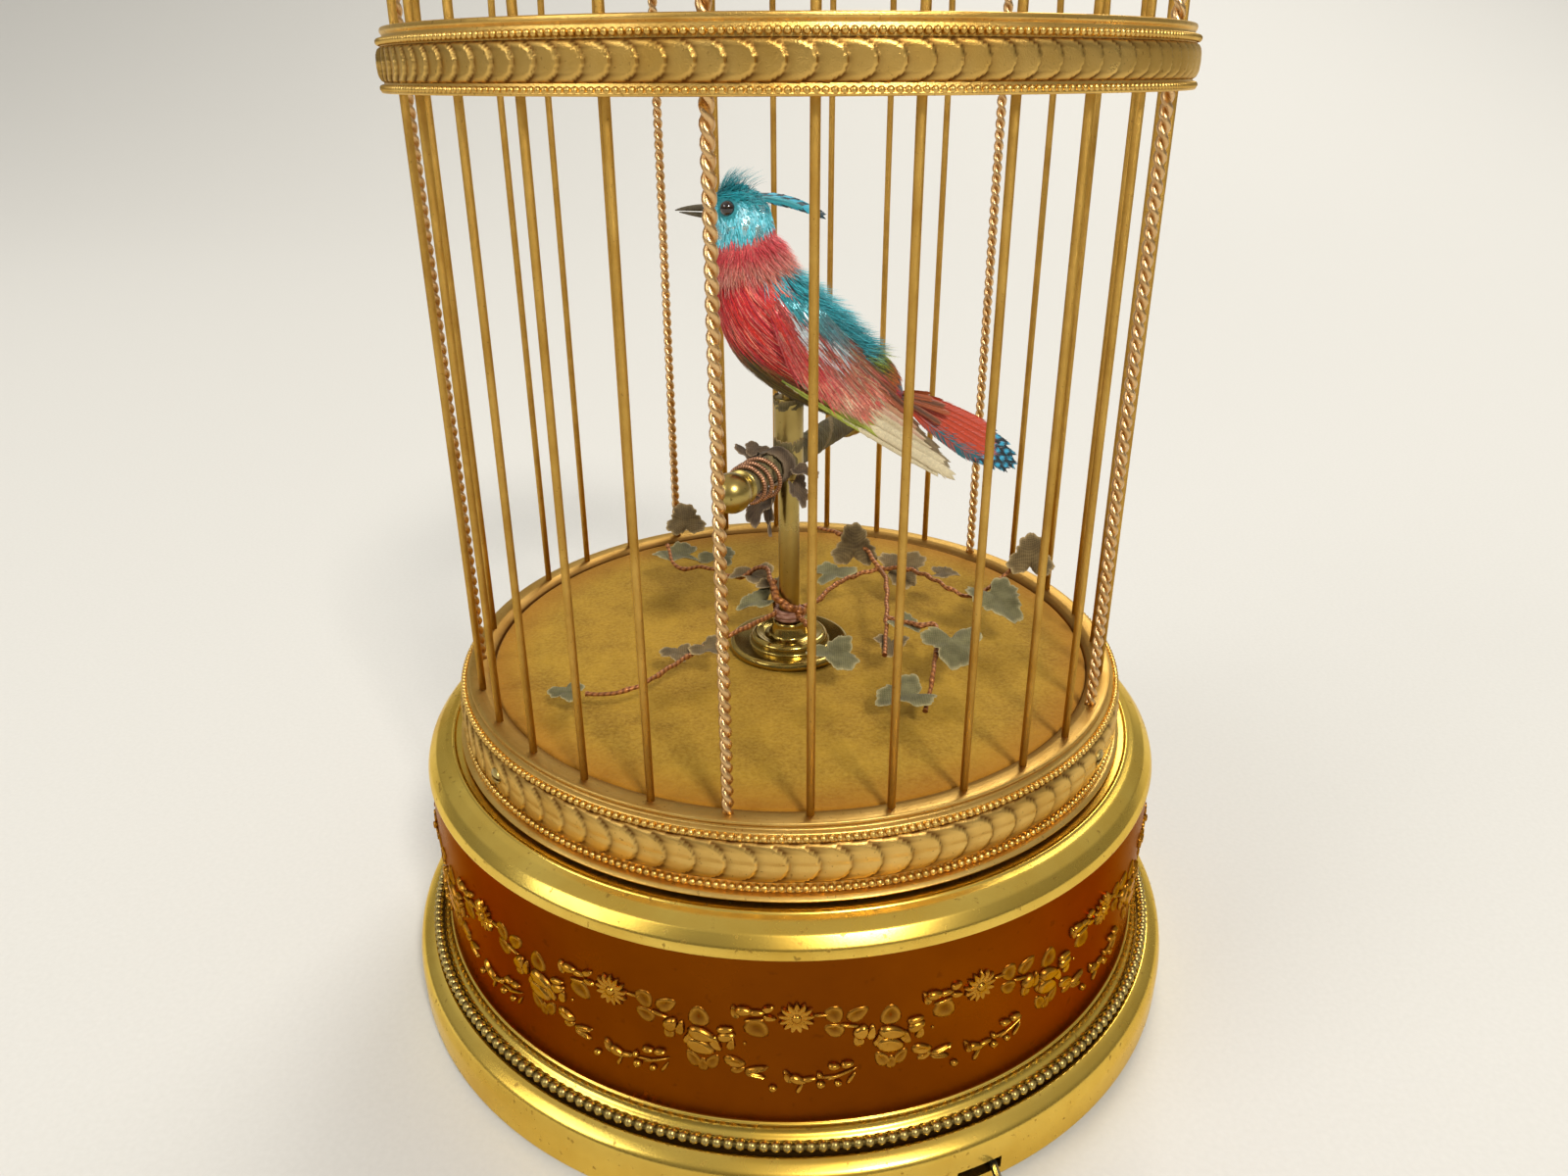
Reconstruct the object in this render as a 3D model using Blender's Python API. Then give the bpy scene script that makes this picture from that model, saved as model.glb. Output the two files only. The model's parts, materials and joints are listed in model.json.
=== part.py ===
# Singing bird automaton: a round brass cage on a drum that holds a clockwork movement, and one
# feathered bird on a perch. Metres, +Z up, origin on the table under the middle of the base, and
# -Y is the side the bird is seen from.
import math

import bmesh
import bpy
import numpy as np
from mathutils import Matrix, Vector

# Clearances
GAP = 0.0003
RUNNING = 0.0004
SLIDING = 0.0003

# Base
DRUM_RADIUS = 0.0730
DRUM_HEIGHT = 0.0425
DRUM_WALL = 0.0010
DRUM_FOOT = 0.0016
SHOULDER = 0.0055
PLINTH_OVERHANG = 0.0070
PLINTH_WALL = 0.0025
PLINTH_ROUND = 0.0032
PLINTH_LEDGE = 0.0022
KEY_RECESS = 0.0084
BASE_PLATE = 0.0016
BASE_LEDGE_WIDTH = 0.0080
FELT = 0.0010
FELT_WIDTH = 0.0090
BASE_BEAD = 0.0019
TURNED_SIDES = 36

# Cage
CAGE_INSET = 0.0119
CAGE_RING_HEIGHT = 0.0130
CAGE_RING_WIDTH = 0.0045
GALLERY_BULGE = 0.0012
GALLERY_BEAD = 0.0013
FLOOR_DEPTH = 0.0008
FLOOR_BOARD = 0.0020
FLOOR_LEDGE = 0.0040
BAR_DIAMETER = 0.0013
ROPE_DIAMETER = 0.0020
BAR_POSITIONS = 30
BARS_PER_ROPE = 6
FIRST_ROPE_ANGLE = -9.0
BAR_HEIGHT = 0.1013
BAND_HEIGHT = 0.0088
BAND_WALL = 0.0010
DOME_START = 0.0016
DOME_HEIGHT = 0.0580
CROWN_RADIUS = 0.0098
CROWN_THICKNESS = 0.0036
CROWN_SOCKET = 0.0020
FINIAL_HEIGHT = 0.0120
EYE_RADIUS = 0.0040
RING_RADIUS = 0.0120
RING_WIRE = 0.0022
RING_REST = 118.0
SCREW_ANGLES = (-51.0, 57.0, 177.0)
SCREW_HEAD = 0.0032
SCREW_LENGTH = 0.0012

# Perch
POST_Y = -0.0030
POST_DIAMETER = 0.0040
POST_TAIL = 0.0040
SLEEVE_DIAMETER = 0.0055
ARM_DIAMETER = 0.0052
ARM_ABOVE_FLOOR = 0.0394
ARM_DIRECTION = 63.5
ARM_FRONT = 0.0195
ARM_BACK = 0.0250
SLEEVE_ABOVE_ARM = 0.0116
SLEEVE_BELOW_ARM = 0.0038
FINIAL_BALL = 0.0058
FLANGE_RADIUS = 0.0120
FLANGE_HEIGHT = 0.0056
COIL_WIRE = 0.0007
COIL_TURNS = 3
COIL_SPAN = 0.0085
ROD_DIAMETER = 0.0009
PUSH_TUBE_WALL = 0.0004
TUBE_SIDES = 8

# Movement
PLATE_RADIUS = 0.0540
PLATE_THICKNESS = 0.0015
PLATE_FEET = 0.0032
PLATE_SPACING = 0.0190
PILLAR_DIAMETER = 0.0044
PILLAR_INSET = 0.0060
TOOTH_MODULE = 0.0016
WHEEL_TEETH = 24
PINION_TEETH = 6
WHEEL_THICKNESS = 0.0014
BARREL_RADIUS = 0.0150
BARREL_WALL = 0.0011
ARBOR_DIAMETER = 0.0030
SPRING_STRIP = 0.0007
SPRING_TURNS = 3
CAM_RADII = (0.0110, 0.0090, 0.0080)
CAM_THICKNESS = 0.0014
CAM_PITCH = 0.0032
CAM_LIFT = 0.0020
CRANK_THROW = 0.0030
CRANK_DISC_RADIUS = 0.0060
FAN_RADIUS = 0.0080
FAN_HEIGHT = 0.0060
BELLOWS_LENGTH = 0.0340
BELLOWS_HEIGHT = 0.0120
BELLOWS_BOARD = 0.0018
BELLOWS_FOLD = 0.0024
BELLOWS_DISTANCE = 0.0290
BELLOWS_HINGE_BLOCK = 0.0030
WHISTLE_RADIUS = 0.0042
WHISTLE_BORE = 0.0028
WHISTLE_LENGTH = 0.0300
CHEST_WIDTH = 0.0100
PISTON_KNOB = 0.0040
LEVER_THICKNESS = 0.0010
LEVER_WIDTH = 0.0024
STUD_DIAMETER = 0.0024
PISTON_ARM_IN = 0.0180
PISTON_ARM_OUT = 0.0170
HEAD_CRANK = 0.0055
HEAD_CRANK_ANGLE = 30.0
HEAD_TURN_BACK = 20.0
CRANK_WIDTH = 0.0018
HEAD_LEVER_ARM = 0.0180
BEAK_LEVER_ARM = 0.0300
STOP_WIRE = 0.0014
STOP_ANGLE = 24.7
STOP_PROUD = 0.0030
STOP_PIN = 0.0026
STOP_PIVOT_SHARE = 0.36
BRAKE_TRAVEL = 0.0030
STOP_HEIGHT = 0.0051
KEY_WIDTH = 0.0240
KEY_HEIGHT = 0.0056
KEY_THICKNESS = 0.0018
KEY_SOCKET = 0.0030
RATCHET_RADIUS = 0.0070
RATCHET_TEETH = 12
CLICK_DISTANCE = 0.0130
CLICK_NOSE_TURN = 24.0
LEVER_PIN = 0.0011
LUG_PIN = 0.0006
LUG_REACH = 0.0018

# Small details
OVERRUN = 0.0010
EDGE_ROUND = 0.0006
CAGE_RING_STEP = 0.0012
CAGE_RING_FLANGE = 0.0016
CAGE_RING_LIP = 0.00144
SCREW_PROUD = 0.0004
SCREW_SLOT = 0.0010
FINIAL_FOOT = 0.0010
ARM_COLLAR = 0.0012
BOSS_WALL = 0.0012
BOSS_PROUD = 0.0001
LEVER_BOSS = 0.0014
LEVER_TAIL = 0.0015
NUB_RADIUS = 0.0008
NUB_DEPTH = 0.0009
WHEEL_ROOM = 0.0010
DECK_ROOM = 0.0012
BARREL_LAP = 0.0005
ARBOR_PROUD = 0.0008
KEY_HUB = 0.0016
PINION_PROUD = 0.0004
CRANK_DISC = 0.0012
CRANK_PIN = 0.0010
FAN_ROOM = 0.0004
FAN_BLADE = 0.0009
LUG_WIDTH = 0.0024
LUG_LENGTH = 0.0030
LEATHER_INSET = 0.0008
WHISTLE_END = 0.0030
MOUTH_LENGTH = 0.0030
MOUTH_WIDTH = 0.0036
MOUTH_DEPTH = 0.0008
STAND_WIDTH = 0.0030
PISTON_IN = 0.0010
PISTON_LENGTH = 0.0080
PISTON_STEM = 0.0009
KNOB_LENGTH = 0.0014

# Bird: shares below are of these sizes
BIRD_LENGTH = 0.0260
BIRD_DROP = 0.0239
BIRD_GIRTH = 0.0098
BIRD_ABOVE_SLEEVE = 0.0246
NECK_BEFORE_POST = 0.0066
NECK_RADIUS = 0.0062
HEAD_HEIGHT = 0.0117
NECK_STUB = 0.0024
NECK_STUB_LENGTH = 0.0040
BEAK_LENGTH = 0.0058
BEAK_ROOT = 0.0024
EYE_DIAMETER = 0.0029
WING_LENGTH = 0.0440
WING_WIDTH = 0.0132
WING_THICKNESS = 0.0011
WING_TUCK = 0.00015
TAIL_LENGTH = 0.0250
TAIL_WIDTH = 0.0076
TAIL_THICKNESS = 0.0026
CREST_LENGTH = 0.0092
CREST_ROOT = 0.29
CREST_WIDTH = 0.0022
HEAD_ROD_REACH = 0.0110
BEAK_ROD_REACH = 0.0050

# Vines: the tables of routes and leaves count in this unit
VINE_UNIT = 0.0010
VINE_WIRE = 0.0011
LEAF_THICKNESS = 0.0005
LEAF_LENGTH = 0.0085
WRAP_HEIGHT = 0.0026
WRAP_WALL = 0.0012
CUFF_HALF = 0.0020
CUFF_WALL = 0.0008

# Heights that follow
FELT_TOP = FELT
PLINTH_BOTTOM = FELT_TOP + GAP
BASE_PLATE_BOTTOM = KEY_RECESS
BASE_PLATE_TOP = BASE_PLATE_BOTTOM + BASE_PLATE
PLINTH_TOP = BASE_PLATE_TOP + GAP + PLINTH_LEDGE
PLINTH_RADIUS = DRUM_RADIUS + PLINTH_OVERHANG
DRUM_BOTTOM = PLINTH_TOP + GAP
DRUM_TOP = DRUM_BOTTOM + DRUM_HEIGHT
CAGE_RADIUS = DRUM_RADIUS - CAGE_INSET
CAGE_RING_BOTTOM = DRUM_TOP + GAP
CAGE_RING_TOP = CAGE_RING_BOTTOM + CAGE_RING_HEIGHT
CAGE_RING_INNER = CAGE_RADIUS - ROPE_DIAMETER
FLOOR_TOP = CAGE_RING_TOP - FLOOR_DEPTH
FLOOR_BOTTOM = FLOOR_TOP - FLOOR_BOARD
BAR_FOOT = CAGE_RING_TOP + GAP
BAND_BOTTOM = CAGE_RING_TOP + BAR_HEIGHT
BAND_TOP = BAND_BOTTOM + BAND_HEIGHT
BAND_INNER = (CAGE_RADIUS + ROPE_DIAMETER / 2 + GAP) / math.cos(math.pi / TURNED_SIDES)
DOME_FOOT = BAND_TOP + DOME_START
CROWN_HEIGHT = DOME_FOOT + DOME_HEIGHT
CROWN_TOP = CROWN_HEIGHT + CROWN_THICKNESS / 2
FINIAL_BOTTOM = CROWN_TOP + GAP
EYE_HEIGHT = FINIAL_BOTTOM + FINIAL_HEIGHT
ARM_HEIGHT = FLOOR_TOP + ARM_ABOVE_FLOOR
TUBE_INNER = (ROD_DIAMETER / 2 + SLIDING) / math.cos(math.pi / TUBE_SIDES)
TUBE_OUTER = TUBE_INNER + PUSH_TUBE_WALL
ROD_BORE = TUBE_OUTER + SLIDING
SLEEVE_TOP = ARM_HEIGHT + SLEEVE_ABOVE_ARM
SLEEVE_BOTTOM = ARM_HEIGHT - SLEEVE_BELOW_ARM
LOWER_PLATE_BOTTOM = BASE_PLATE_TOP + GAP + PLATE_FEET
LOWER_PLATE_TOP = LOWER_PLATE_BOTTOM + PLATE_THICKNESS
UPPER_PLATE_BOTTOM = LOWER_PLATE_TOP + PLATE_SPACING
UPPER_PLATE_TOP = UPPER_PLATE_BOTTOM + PLATE_THICKNESS
WHEEL_REACH = TOOTH_MODULE * WHEEL_TEETH / 2
PINION_REACH = TOOTH_MODULE * PINION_TEETH / 2
CENTRES = WHEEL_REACH + PINION_REACH
ADDENDUM = 0.8 * TOOTH_MODULE
DEDENDUM = 1.1 * TOOTH_MODULE
GREAT_WHEEL_Z = LOWER_PLATE_TOP + WHEEL_ROOM
BARREL_TOP = UPPER_PLATE_BOTTOM - WHEEL_THICKNESS - 2 * WHEEL_ROOM
CAM_WHEEL_Z = BARREL_TOP + ARBOR_PROUD
FAN_Z = LOWER_PLATE_TOP + DECK_ROOM
FAN_WHEEL_Z = FAN_Z + FAN_HEIGHT + WHEEL_THICKNESS
CAM_Z = UPPER_PLATE_TOP + DECK_ROOM
CRANK_Z = UPPER_PLATE_TOP + 2 * WHEEL_ROOM
BELLOWS_Z = UPPER_PLATE_TOP + 2 * WHEEL_ROOM
ROD_Z = CRANK_Z + 2 * CRANK_DISC + GAP
LEVER_DECK = CAM_Z + 3 * CAM_PITCH
ROD_FOOT = LEVER_DECK + LEVER_THICKNESS + GAP
WHISTLE_Z = BELLOWS_Z + BELLOWS_HEIGHT / 2
CLICK_Z = BASE_PLATE_TOP + 4 * GAP
KEY_TOP = BASE_PLATE_BOTTOM - 2 * GAP
HEAD_CRANK_Z = LEVER_DECK - GAP - LEVER_THICKNESS
NECK_TOP = SLEEVE_TOP + BIRD_ABOVE_SLEEVE
HEAD_BOTTOM = NECK_TOP + GAP
ROD_TOP = SLEEVE_TOP + HEAD_ROD_REACH
BEAK_ROD_TOP = SLEEVE_TOP + BEAK_ROD_REACH

# Places on the plates, each a gear's centre distance from the one before
BARREL_AT = Vector((-0.0240, -0.0140, 0.0))


def bearing(origin, distance, degrees):
    """The point at a distance and a compass-free angle, from +X towards +Y."""
    angle = math.radians(degrees)
    return origin + Vector((math.cos(angle), math.sin(angle), 0.0)) * distance


CAM_AT = bearing(BARREL_AT, CENTRES, 50.0)
CRANK_AT = bearing(CAM_AT, CENTRES, -20.0)
FAN_AT = bearing(CRANK_AT, CENTRES, 35.0)
POST_AT = Vector((0.0, POST_Y, 0.0))

# Levers: each tip waits beside its cam, clear of the cam's highest point
LEVER_TIP = LEVER_WIDTH / 2
PISTON_TIP = bearing(CAM_AT, CAM_RADII[0] + LEVER_TIP + GAP, 180.0)
PISTON_PIVOT = bearing(PISTON_TIP, PISTON_ARM_IN, 120.0)
PISTON_END = bearing(PISTON_PIVOT, PISTON_ARM_OUT, 120.0)
HEAD_TIP_GAP = HEAD_CRANK * math.radians(HEAD_TURN_BACK) + GAP
HEAD_TIP = bearing(CAM_AT, CAM_RADII[1] + LEVER_TIP + HEAD_TIP_GAP, 210.0)
HEAD_CRANK_END = bearing(POST_AT, HEAD_CRANK, HEAD_CRANK_ANGLE)
HEAD_END = bearing(HEAD_CRANK_END, LEVER_PIN + GAP + CRANK_WIDTH / 2, HEAD_CRANK_ANGLE - 90.0)
HEAD_PIVOT = bearing(HEAD_END, HEAD_LEVER_ARM, HEAD_CRANK_ANGLE + 180.0)
BEAK_PIVOT = POST_AT - Vector((BEAK_LEVER_ARM, 0.0, 0.0))
CLICK_PIVOT = bearing(BARREL_AT, CLICK_DISTANCE, 200.0)
CLICK_NOSE = bearing(BARREL_AT, RATCHET_RADIUS + LEVER_THICKNESS + GAP, 200.0 + CLICK_NOSE_TURN)

# Bellows, drawn shut: the crank's rod pulls its free end open
BELLOWS_LEFT = CRANK_AT[0] - LEVER_WIDTH
BELLOWS_RIGHT = BELLOWS_LEFT + BELLOWS_LENGTH
BELLOWS_FRONT = CRANK_AT[1] + BELLOWS_DISTANCE
LEATHER_FRONT = BELLOWS_FRONT + BELLOWS_BOARD + GAP
LEATHER_BACK = LEATHER_FRONT + BELLOWS_FOLD
FIXED_FRONT = LEATHER_BACK + GAP
FIXED_BACK = FIXED_FRONT + BELLOWS_BOARD
WHISTLE_Y = FIXED_BACK + WHISTLE_RADIUS
CHEST_RIGHT = BELLOWS_LEFT - GAP
CHEST_LEFT = CHEST_RIGHT - CHEST_WIDTH
WHISTLE_RIGHT = CHEST_LEFT - GAP
WHISTLE_LEFT = WHISTLE_RIGHT - WHISTLE_LENGTH

# The stop lever turns on a pin under the base plate, out through the plinth and in to the fan
BRAKE_AT = bearing(FAN_AT, FAN_RADIUS + STOP_WIRE / 2 + GAP + BRAKE_TRAVEL, 180.0)
STOP_OUT = Vector((math.sin(math.radians(STOP_ANGLE)), -math.cos(math.radians(STOP_ANGLE)), 0.0))
STOP_TIP = STOP_OUT * (PLINTH_RADIUS + STOP_PROUD)
STOP_PIVOT = BRAKE_AT + (STOP_TIP - BRAKE_AT) * STOP_PIVOT_SHARE
STOP_LEVER_REACH = (STOP_OUT * PLINTH_RADIUS - STOP_PIVOT).length
STOP_SWING = math.degrees(BRAKE_TRAVEL / (BRAKE_AT - STOP_PIVOT).length)
BRAKE_SWEEP = BRAKE_TRAVEL + STOP_WIRE / 2 + RUNNING


def clear_scene():
    for old in list(bpy.data.objects):
        bpy.data.objects.remove(old, do_unlink=True)


def finish(name, colour, roughness, metallic):
    """A Principled material of one plain colour."""
    made = bpy.data.materials.new(name)
    made.use_nodes = True
    shader = made.node_tree.nodes["Principled BSDF"]
    shader.inputs["Base Color"].default_value = (*colour, 1.0)
    shader.inputs["Roughness"].default_value = roughness
    shader.inputs["Metallic"].default_value = metallic
    return made


def gilt(name):
    return finish(name, (0.72, 0.46, 0.17), 0.28, 1.0)


def brass(name):
    return finish(name, (0.70, 0.55, 0.25), 0.35, 1.0)


def steel(name):
    return finish(name, (0.55, 0.56, 0.58), 0.30, 1.0)


def add_object(name, mesh, material):
    made = bpy.data.objects.new(name, mesh)
    bpy.context.scene.collection.objects.link(made)
    made.data.materials.append(material)
    return made


def from_bmesh(name, bm, material, smooth=35.0):
    bmesh.ops.remove_doubles(bm, verts=bm.verts, dist=1e-7)
    bmesh.ops.recalc_face_normals(bm, faces=bm.faces)
    mesh = bpy.data.meshes.new(name)
    bm.to_mesh(mesh)
    bm.free()
    mesh.shade_smooth()
    mesh.set_sharp_from_angle(angle=math.radians(smooth))
    return add_object(name, mesh, material)


def turned(name, profile, material, centre=(0.0, 0.0), sides=TURNED_SIDES, ring=False):
    """A profile of (radius, height) points spun round a vertical axis. A ring's profile closes
    on itself, and any other starts and ends on the axis."""
    bm = bmesh.new()
    points = [bm.verts.new((r, 0.0, z)) for r, z in profile]
    pairs = list(zip(points, points[1:]))
    if ring:
        pairs.append((points[-1], points[0]))
    edges = [bm.edges.new(pair) for pair in pairs]
    bmesh.ops.spin(
        bm, geom=points + edges, cent=(0, 0, 0), axis=(0, 0, 1), angle=math.tau,
        steps=sides, use_merge=True, use_duplicate=False,
    )
    bmesh.ops.translate(bm, verts=bm.verts, vec=(centre[0], centre[1], 0.0))
    return from_bmesh(name, bm, material)


def plate(name, outline, bottom, top, material):
    """A flat outline of (x, y) points given thickness."""
    bm = bmesh.new()
    face = bm.faces.new([bm.verts.new((x, y, bottom)) for x, y in outline])
    grown = bmesh.ops.extrude_face_region(bm, geom=[face])
    raised = [item for item in grown["geom"] if isinstance(item, bmesh.types.BMVert)]
    bmesh.ops.translate(bm, verts=raised, vec=(0, 0, top - bottom))
    return from_bmesh(name, bm, material)


def circle(centre, radius, sides):
    steps = np.arange(sides) * math.tau / sides
    return [(centre[0] + radius * math.cos(a), centre[1] + radius * math.sin(a)) for a in steps]


def arc(centre, radius, first, last, steps):
    """Points of a profile's round stretch, with angles in degrees from the radius axis."""
    angles = np.radians(np.linspace(first, last, steps + 1))
    return [(centre[0] + radius * math.cos(a), centre[1] + radius * math.sin(a)) for a in angles]


def swept(name, path, radius, material, sides=6):
    """A round wire or rod along a path of points, with flat ends."""
    path = [Vector(p) for p in path]
    bm = bmesh.new()
    rings = []
    side = None
    for i, point in enumerate(path):
        ahead = path[min(i + 1, len(path) - 1)] - path[max(i - 1, 0)]
        ahead.normalize()
        if side is None:
            side = ahead.orthogonal().normalized()
        side = (side - ahead * side.dot(ahead)).normalized()
        other = ahead.cross(side)
        turns = np.arange(sides) * math.tau / sides
        ring = [point + (side * math.cos(a) + other * math.sin(a)) * radius for a in turns]
        rings.append([bm.verts.new(p) for p in ring])
    for low, high in zip(rings, rings[1:]):
        for i in range(sides):
            j = (i + 1) % sides
            bm.faces.new((low[i], low[j], high[j], high[i]))
    bm.faces.new(rings[0][::-1])
    bm.faces.new(rings[-1])
    return from_bmesh(name, bm, material)


def lofted(name, stations, material, sides=14):
    """Ovals along a spine: each station is (centre, direction, half width across Y, half height)."""
    bm = bmesh.new()
    rings = []
    for centre, ahead, wide, high in stations:
        up = Vector((0.0, 1.0, 0.0)).cross(Vector(ahead)).normalized()
        turns = np.arange(sides) * math.tau / sides
        rings.append([
            bm.verts.new(Vector(centre) + Vector((0, 1, 0)) * wide * math.cos(a) + up * high * math.sin(a))
            for a in turns
        ])
    for low, high in zip(rings, rings[1:]):
        for i in range(sides):
            j = (i + 1) % sides
            bm.faces.new((low[i], low[j], high[j], high[i]))
    bm.faces.new(rings[0][::-1])
    bm.faces.new(rings[-1])
    return from_bmesh(name, bm, material, 50.0)


def helper(made):
    made.hide_render = True
    made.display_type = "WIRE"
    return made


def combine(base, other, operation):
    """A live Boolean of a hidden helper on a piece."""
    helper(other)
    step = base.modifiers.new(other.name, "BOOLEAN")
    step.operation = operation
    step.solver = "EXACT"
    step.object = other
    return base


def cut(base, other):
    return combine(base, other, "DIFFERENCE")


def join(base, other):
    return combine(base, other, "UNION")


def rod(name, at, radius, bottom, top, material, sides=12):
    """A plain upright cylinder."""
    return plate(name, circle(at, radius, sides), bottom, top, material)


def bore(base, at, radius, bottom, top, sides=12):
    """An upright hole, cut past both faces. Its flats stay outside the radius asked for."""
    clear = radius / math.cos(math.pi / sides)
    name = f"{base.name}_hole_{len(base.modifiers)}"
    return cut(base, rod(name, at, clear, bottom - OVERRUN, top + OVERRUN, base.data.materials[0], sides))


def toothed(at, teeth, phase):
    """The outline of a clock wheel, with straight-sided teeth thin enough to run freely."""
    reach = TOOTH_MODULE * teeth / 2
    pitch = math.tau / teeth
    outline = []
    for i in range(teeth):
        middle = math.radians(phase) + i * pitch
        for share, radius in ((-0.27, reach - DEDENDUM), (-0.11, reach + ADDENDUM),
                              (0.11, reach + ADDENDUM), (0.27, reach - DEDENDUM)):
            angle = middle + share * pitch
            outline.append((at[0] + radius * math.cos(angle), at[1] + radius * math.sin(angle)))
    return outline


def base_felt():
    outer = PLINTH_RADIUS - PLINTH_WALL / 2
    inner = outer - FELT_WIDTH
    profile = [(outer, 0), (outer, FELT_TOP), (inner, FELT_TOP), (inner, 0)]
    turned("base_felt", profile, finish("felt", (0.06, 0.13, 0.09), 0.95, 0.0), ring=True)


def plinth():
    """The heavy turned foot: an upright side, a round shoulder and an inner ledge for the base plate."""
    round_at = (PLINTH_RADIUS - PLINTH_ROUND, PLINTH_TOP - PLINTH_ROUND)
    inner = PLINTH_RADIUS - PLINTH_WALL
    ledge = inner - BASE_LEDGE_WIDTH
    profile = [(PLINTH_RADIUS - EDGE_ROUND, PLINTH_BOTTOM)]
    profile += [(PLINTH_RADIUS, PLINTH_BOTTOM + EDGE_ROUND)]
    profile += arc(round_at, PLINTH_ROUND, 0, 90, 3)
    profile += [(ledge, PLINTH_TOP), (ledge, PLINTH_TOP - PLINTH_LEDGE)]
    profile += [(inner, PLINTH_TOP - PLINTH_LEDGE), (inner, PLINTH_BOTTOM)]
    made = turned("plinth", profile, gilt("plinth_brass"), ring=True)
    heading = (STOP_TIP - STOP_PIVOT).normalized()
    slot = bpy.data.meshes.new("stop_slot")
    bm = bmesh.new()
    bmesh.ops.create_cube(bm, size=1.0)
    swing = STOP_LEVER_REACH * math.radians(STOP_SWING)
    size = (4 * PLINTH_WALL, swing + STOP_WIRE + 5 * GAP, STOP_WIRE + 4 * GAP)
    bmesh.ops.scale(bm, verts=bm.verts, vec=size)
    turn = Matrix.Rotation(math.atan2(heading.y, heading.x), 4, "Z")
    across = Vector((heading.y, -heading.x, 0)) * (swing / 2)
    side = STOP_TIP - heading * (STOP_PROUD + PLINTH_WALL / 2) + across + Vector((0, 0, STOP_HEIGHT))
    bmesh.ops.transform(bm, matrix=Matrix.Translation(side) @ turn, verts=bm.verts)
    bm.to_mesh(slot)
    bm.free()
    cut(made, add_object("stop_slot", slot, made.data.materials[0]))


def base_bead_ring():
    """The row of beads round the drum's foot, here as the round wire that they follow."""
    centre = DRUM_RADIUS + DRUM_FOOT + GAP + BASE_BEAD / 2
    middle = (centre, PLINTH_TOP + GAP + BASE_BEAD / 2)
    turned("base_bead_ring", arc(middle, BASE_BEAD / 2, 0, 300, 5), gilt("bead_brass"), ring=True)


def base_plate():
    radius = PLINTH_RADIUS - PLINTH_WALL - GAP
    made = plate("base_plate", circle((0, 0), radius, TURNED_SIDES), BASE_PLATE_BOTTOM,
                 BASE_PLATE_TOP, brass("base_plate_brass"))
    bore(made, BARREL_AT, ARBOR_DIAMETER / 2 + RUNNING, BASE_PLATE_BOTTOM, BASE_PLATE_TOP)
    bore(made, STOP_PIVOT, STOP_PIN / 2 + RUNNING, BASE_PLATE_BOTTOM, BASE_PLATE_TOP)
    bore(made, BRAKE_AT, BRAKE_SWEEP, BASE_PLATE_BOTTOM, BASE_PLATE_TOP)


def drum_shell():
    """The drum: a spun shell with a flared foot and a round shoulder that carries the cage."""
    inside = DRUM_RADIUS - DRUM_WALL
    rim = CAGE_RING_INNER - FLOOR_LEDGE / 2
    top_curve = (DRUM_RADIUS - SHOULDER, DRUM_TOP - SHOULDER)
    profile = [(DRUM_RADIUS + DRUM_FOOT, DRUM_BOTTOM)]
    profile += [(DRUM_RADIUS + DRUM_FOOT, DRUM_BOTTOM + DRUM_FOOT / 2)]
    profile += [(DRUM_RADIUS + DRUM_FOOT / 4, DRUM_BOTTOM + DRUM_FOOT)]
    profile += [(DRUM_RADIUS, DRUM_BOTTOM + 1.6 * DRUM_FOOT)]
    profile += arc(top_curve, SHOULDER, 0, 90, 4)
    profile += [(rim, DRUM_TOP), (rim, DRUM_TOP - DRUM_WALL)]
    profile += arc(top_curve, SHOULDER - DRUM_WALL, 90, 0, 2)
    profile += [(inside, DRUM_BOTTOM)]
    turned("drum_shell", profile, gilt("drum_brass"), ring=True)


def gallery_profile(outer, bottom, height):
    """A pressed gallery: a half-round row of beads below and above a band of overlapping leaves."""
    bead = GALLERY_BEAD / 2
    low = (outer, bottom + bead)
    high = (outer, bottom + height - bead)
    return arc(low, bead, -90, 90, 2) + arc(high, bead, -90, 90, 2)


def cage_base_ring():
    """The ring that the wires stand in: a gallery outside, a flat lip on top and a ledge inside."""
    gallery = CAGE_RADIUS + GALLERY_BULGE + CAGE_RING_WIDTH / 2
    lip = CAGE_RADIUS + CAGE_RING_WIDTH / 2
    ledge = CAGE_RING_INNER - FLOOR_LEDGE
    step = CAGE_RING_STEP
    foot = gallery + CAGE_RING_FLANGE
    profile = [(foot, CAGE_RING_BOTTOM), (foot, CAGE_RING_BOTTOM + step)]
    profile += gallery_profile(gallery, CAGE_RING_BOTTOM + step, CAGE_RING_HEIGHT - step - CAGE_RING_LIP)
    profile += [(lip, CAGE_RING_TOP - EDGE_ROUND), (lip - EDGE_ROUND, CAGE_RING_TOP)]
    profile += [(CAGE_RING_INNER, CAGE_RING_TOP), (CAGE_RING_INNER, FLOOR_BOTTOM - GAP)]
    profile += [(ledge, FLOOR_BOTTOM - GAP), (ledge, FLOOR_BOTTOM - GAP - FLOOR_BOARD / 2)]
    profile += [(CAGE_RING_INNER, CAGE_RING_BOTTOM + step), (CAGE_RING_INNER, CAGE_RING_BOTTOM)]
    made = turned("cage_base_ring", profile, gilt("cage_base_brass"), ring=True)
    reach = gallery + GALLERY_BEAD / 2
    for i, degrees in enumerate(SCREW_ANGLES):
        fixing_screw(i + 1, reach, math.radians(degrees), made)


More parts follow.
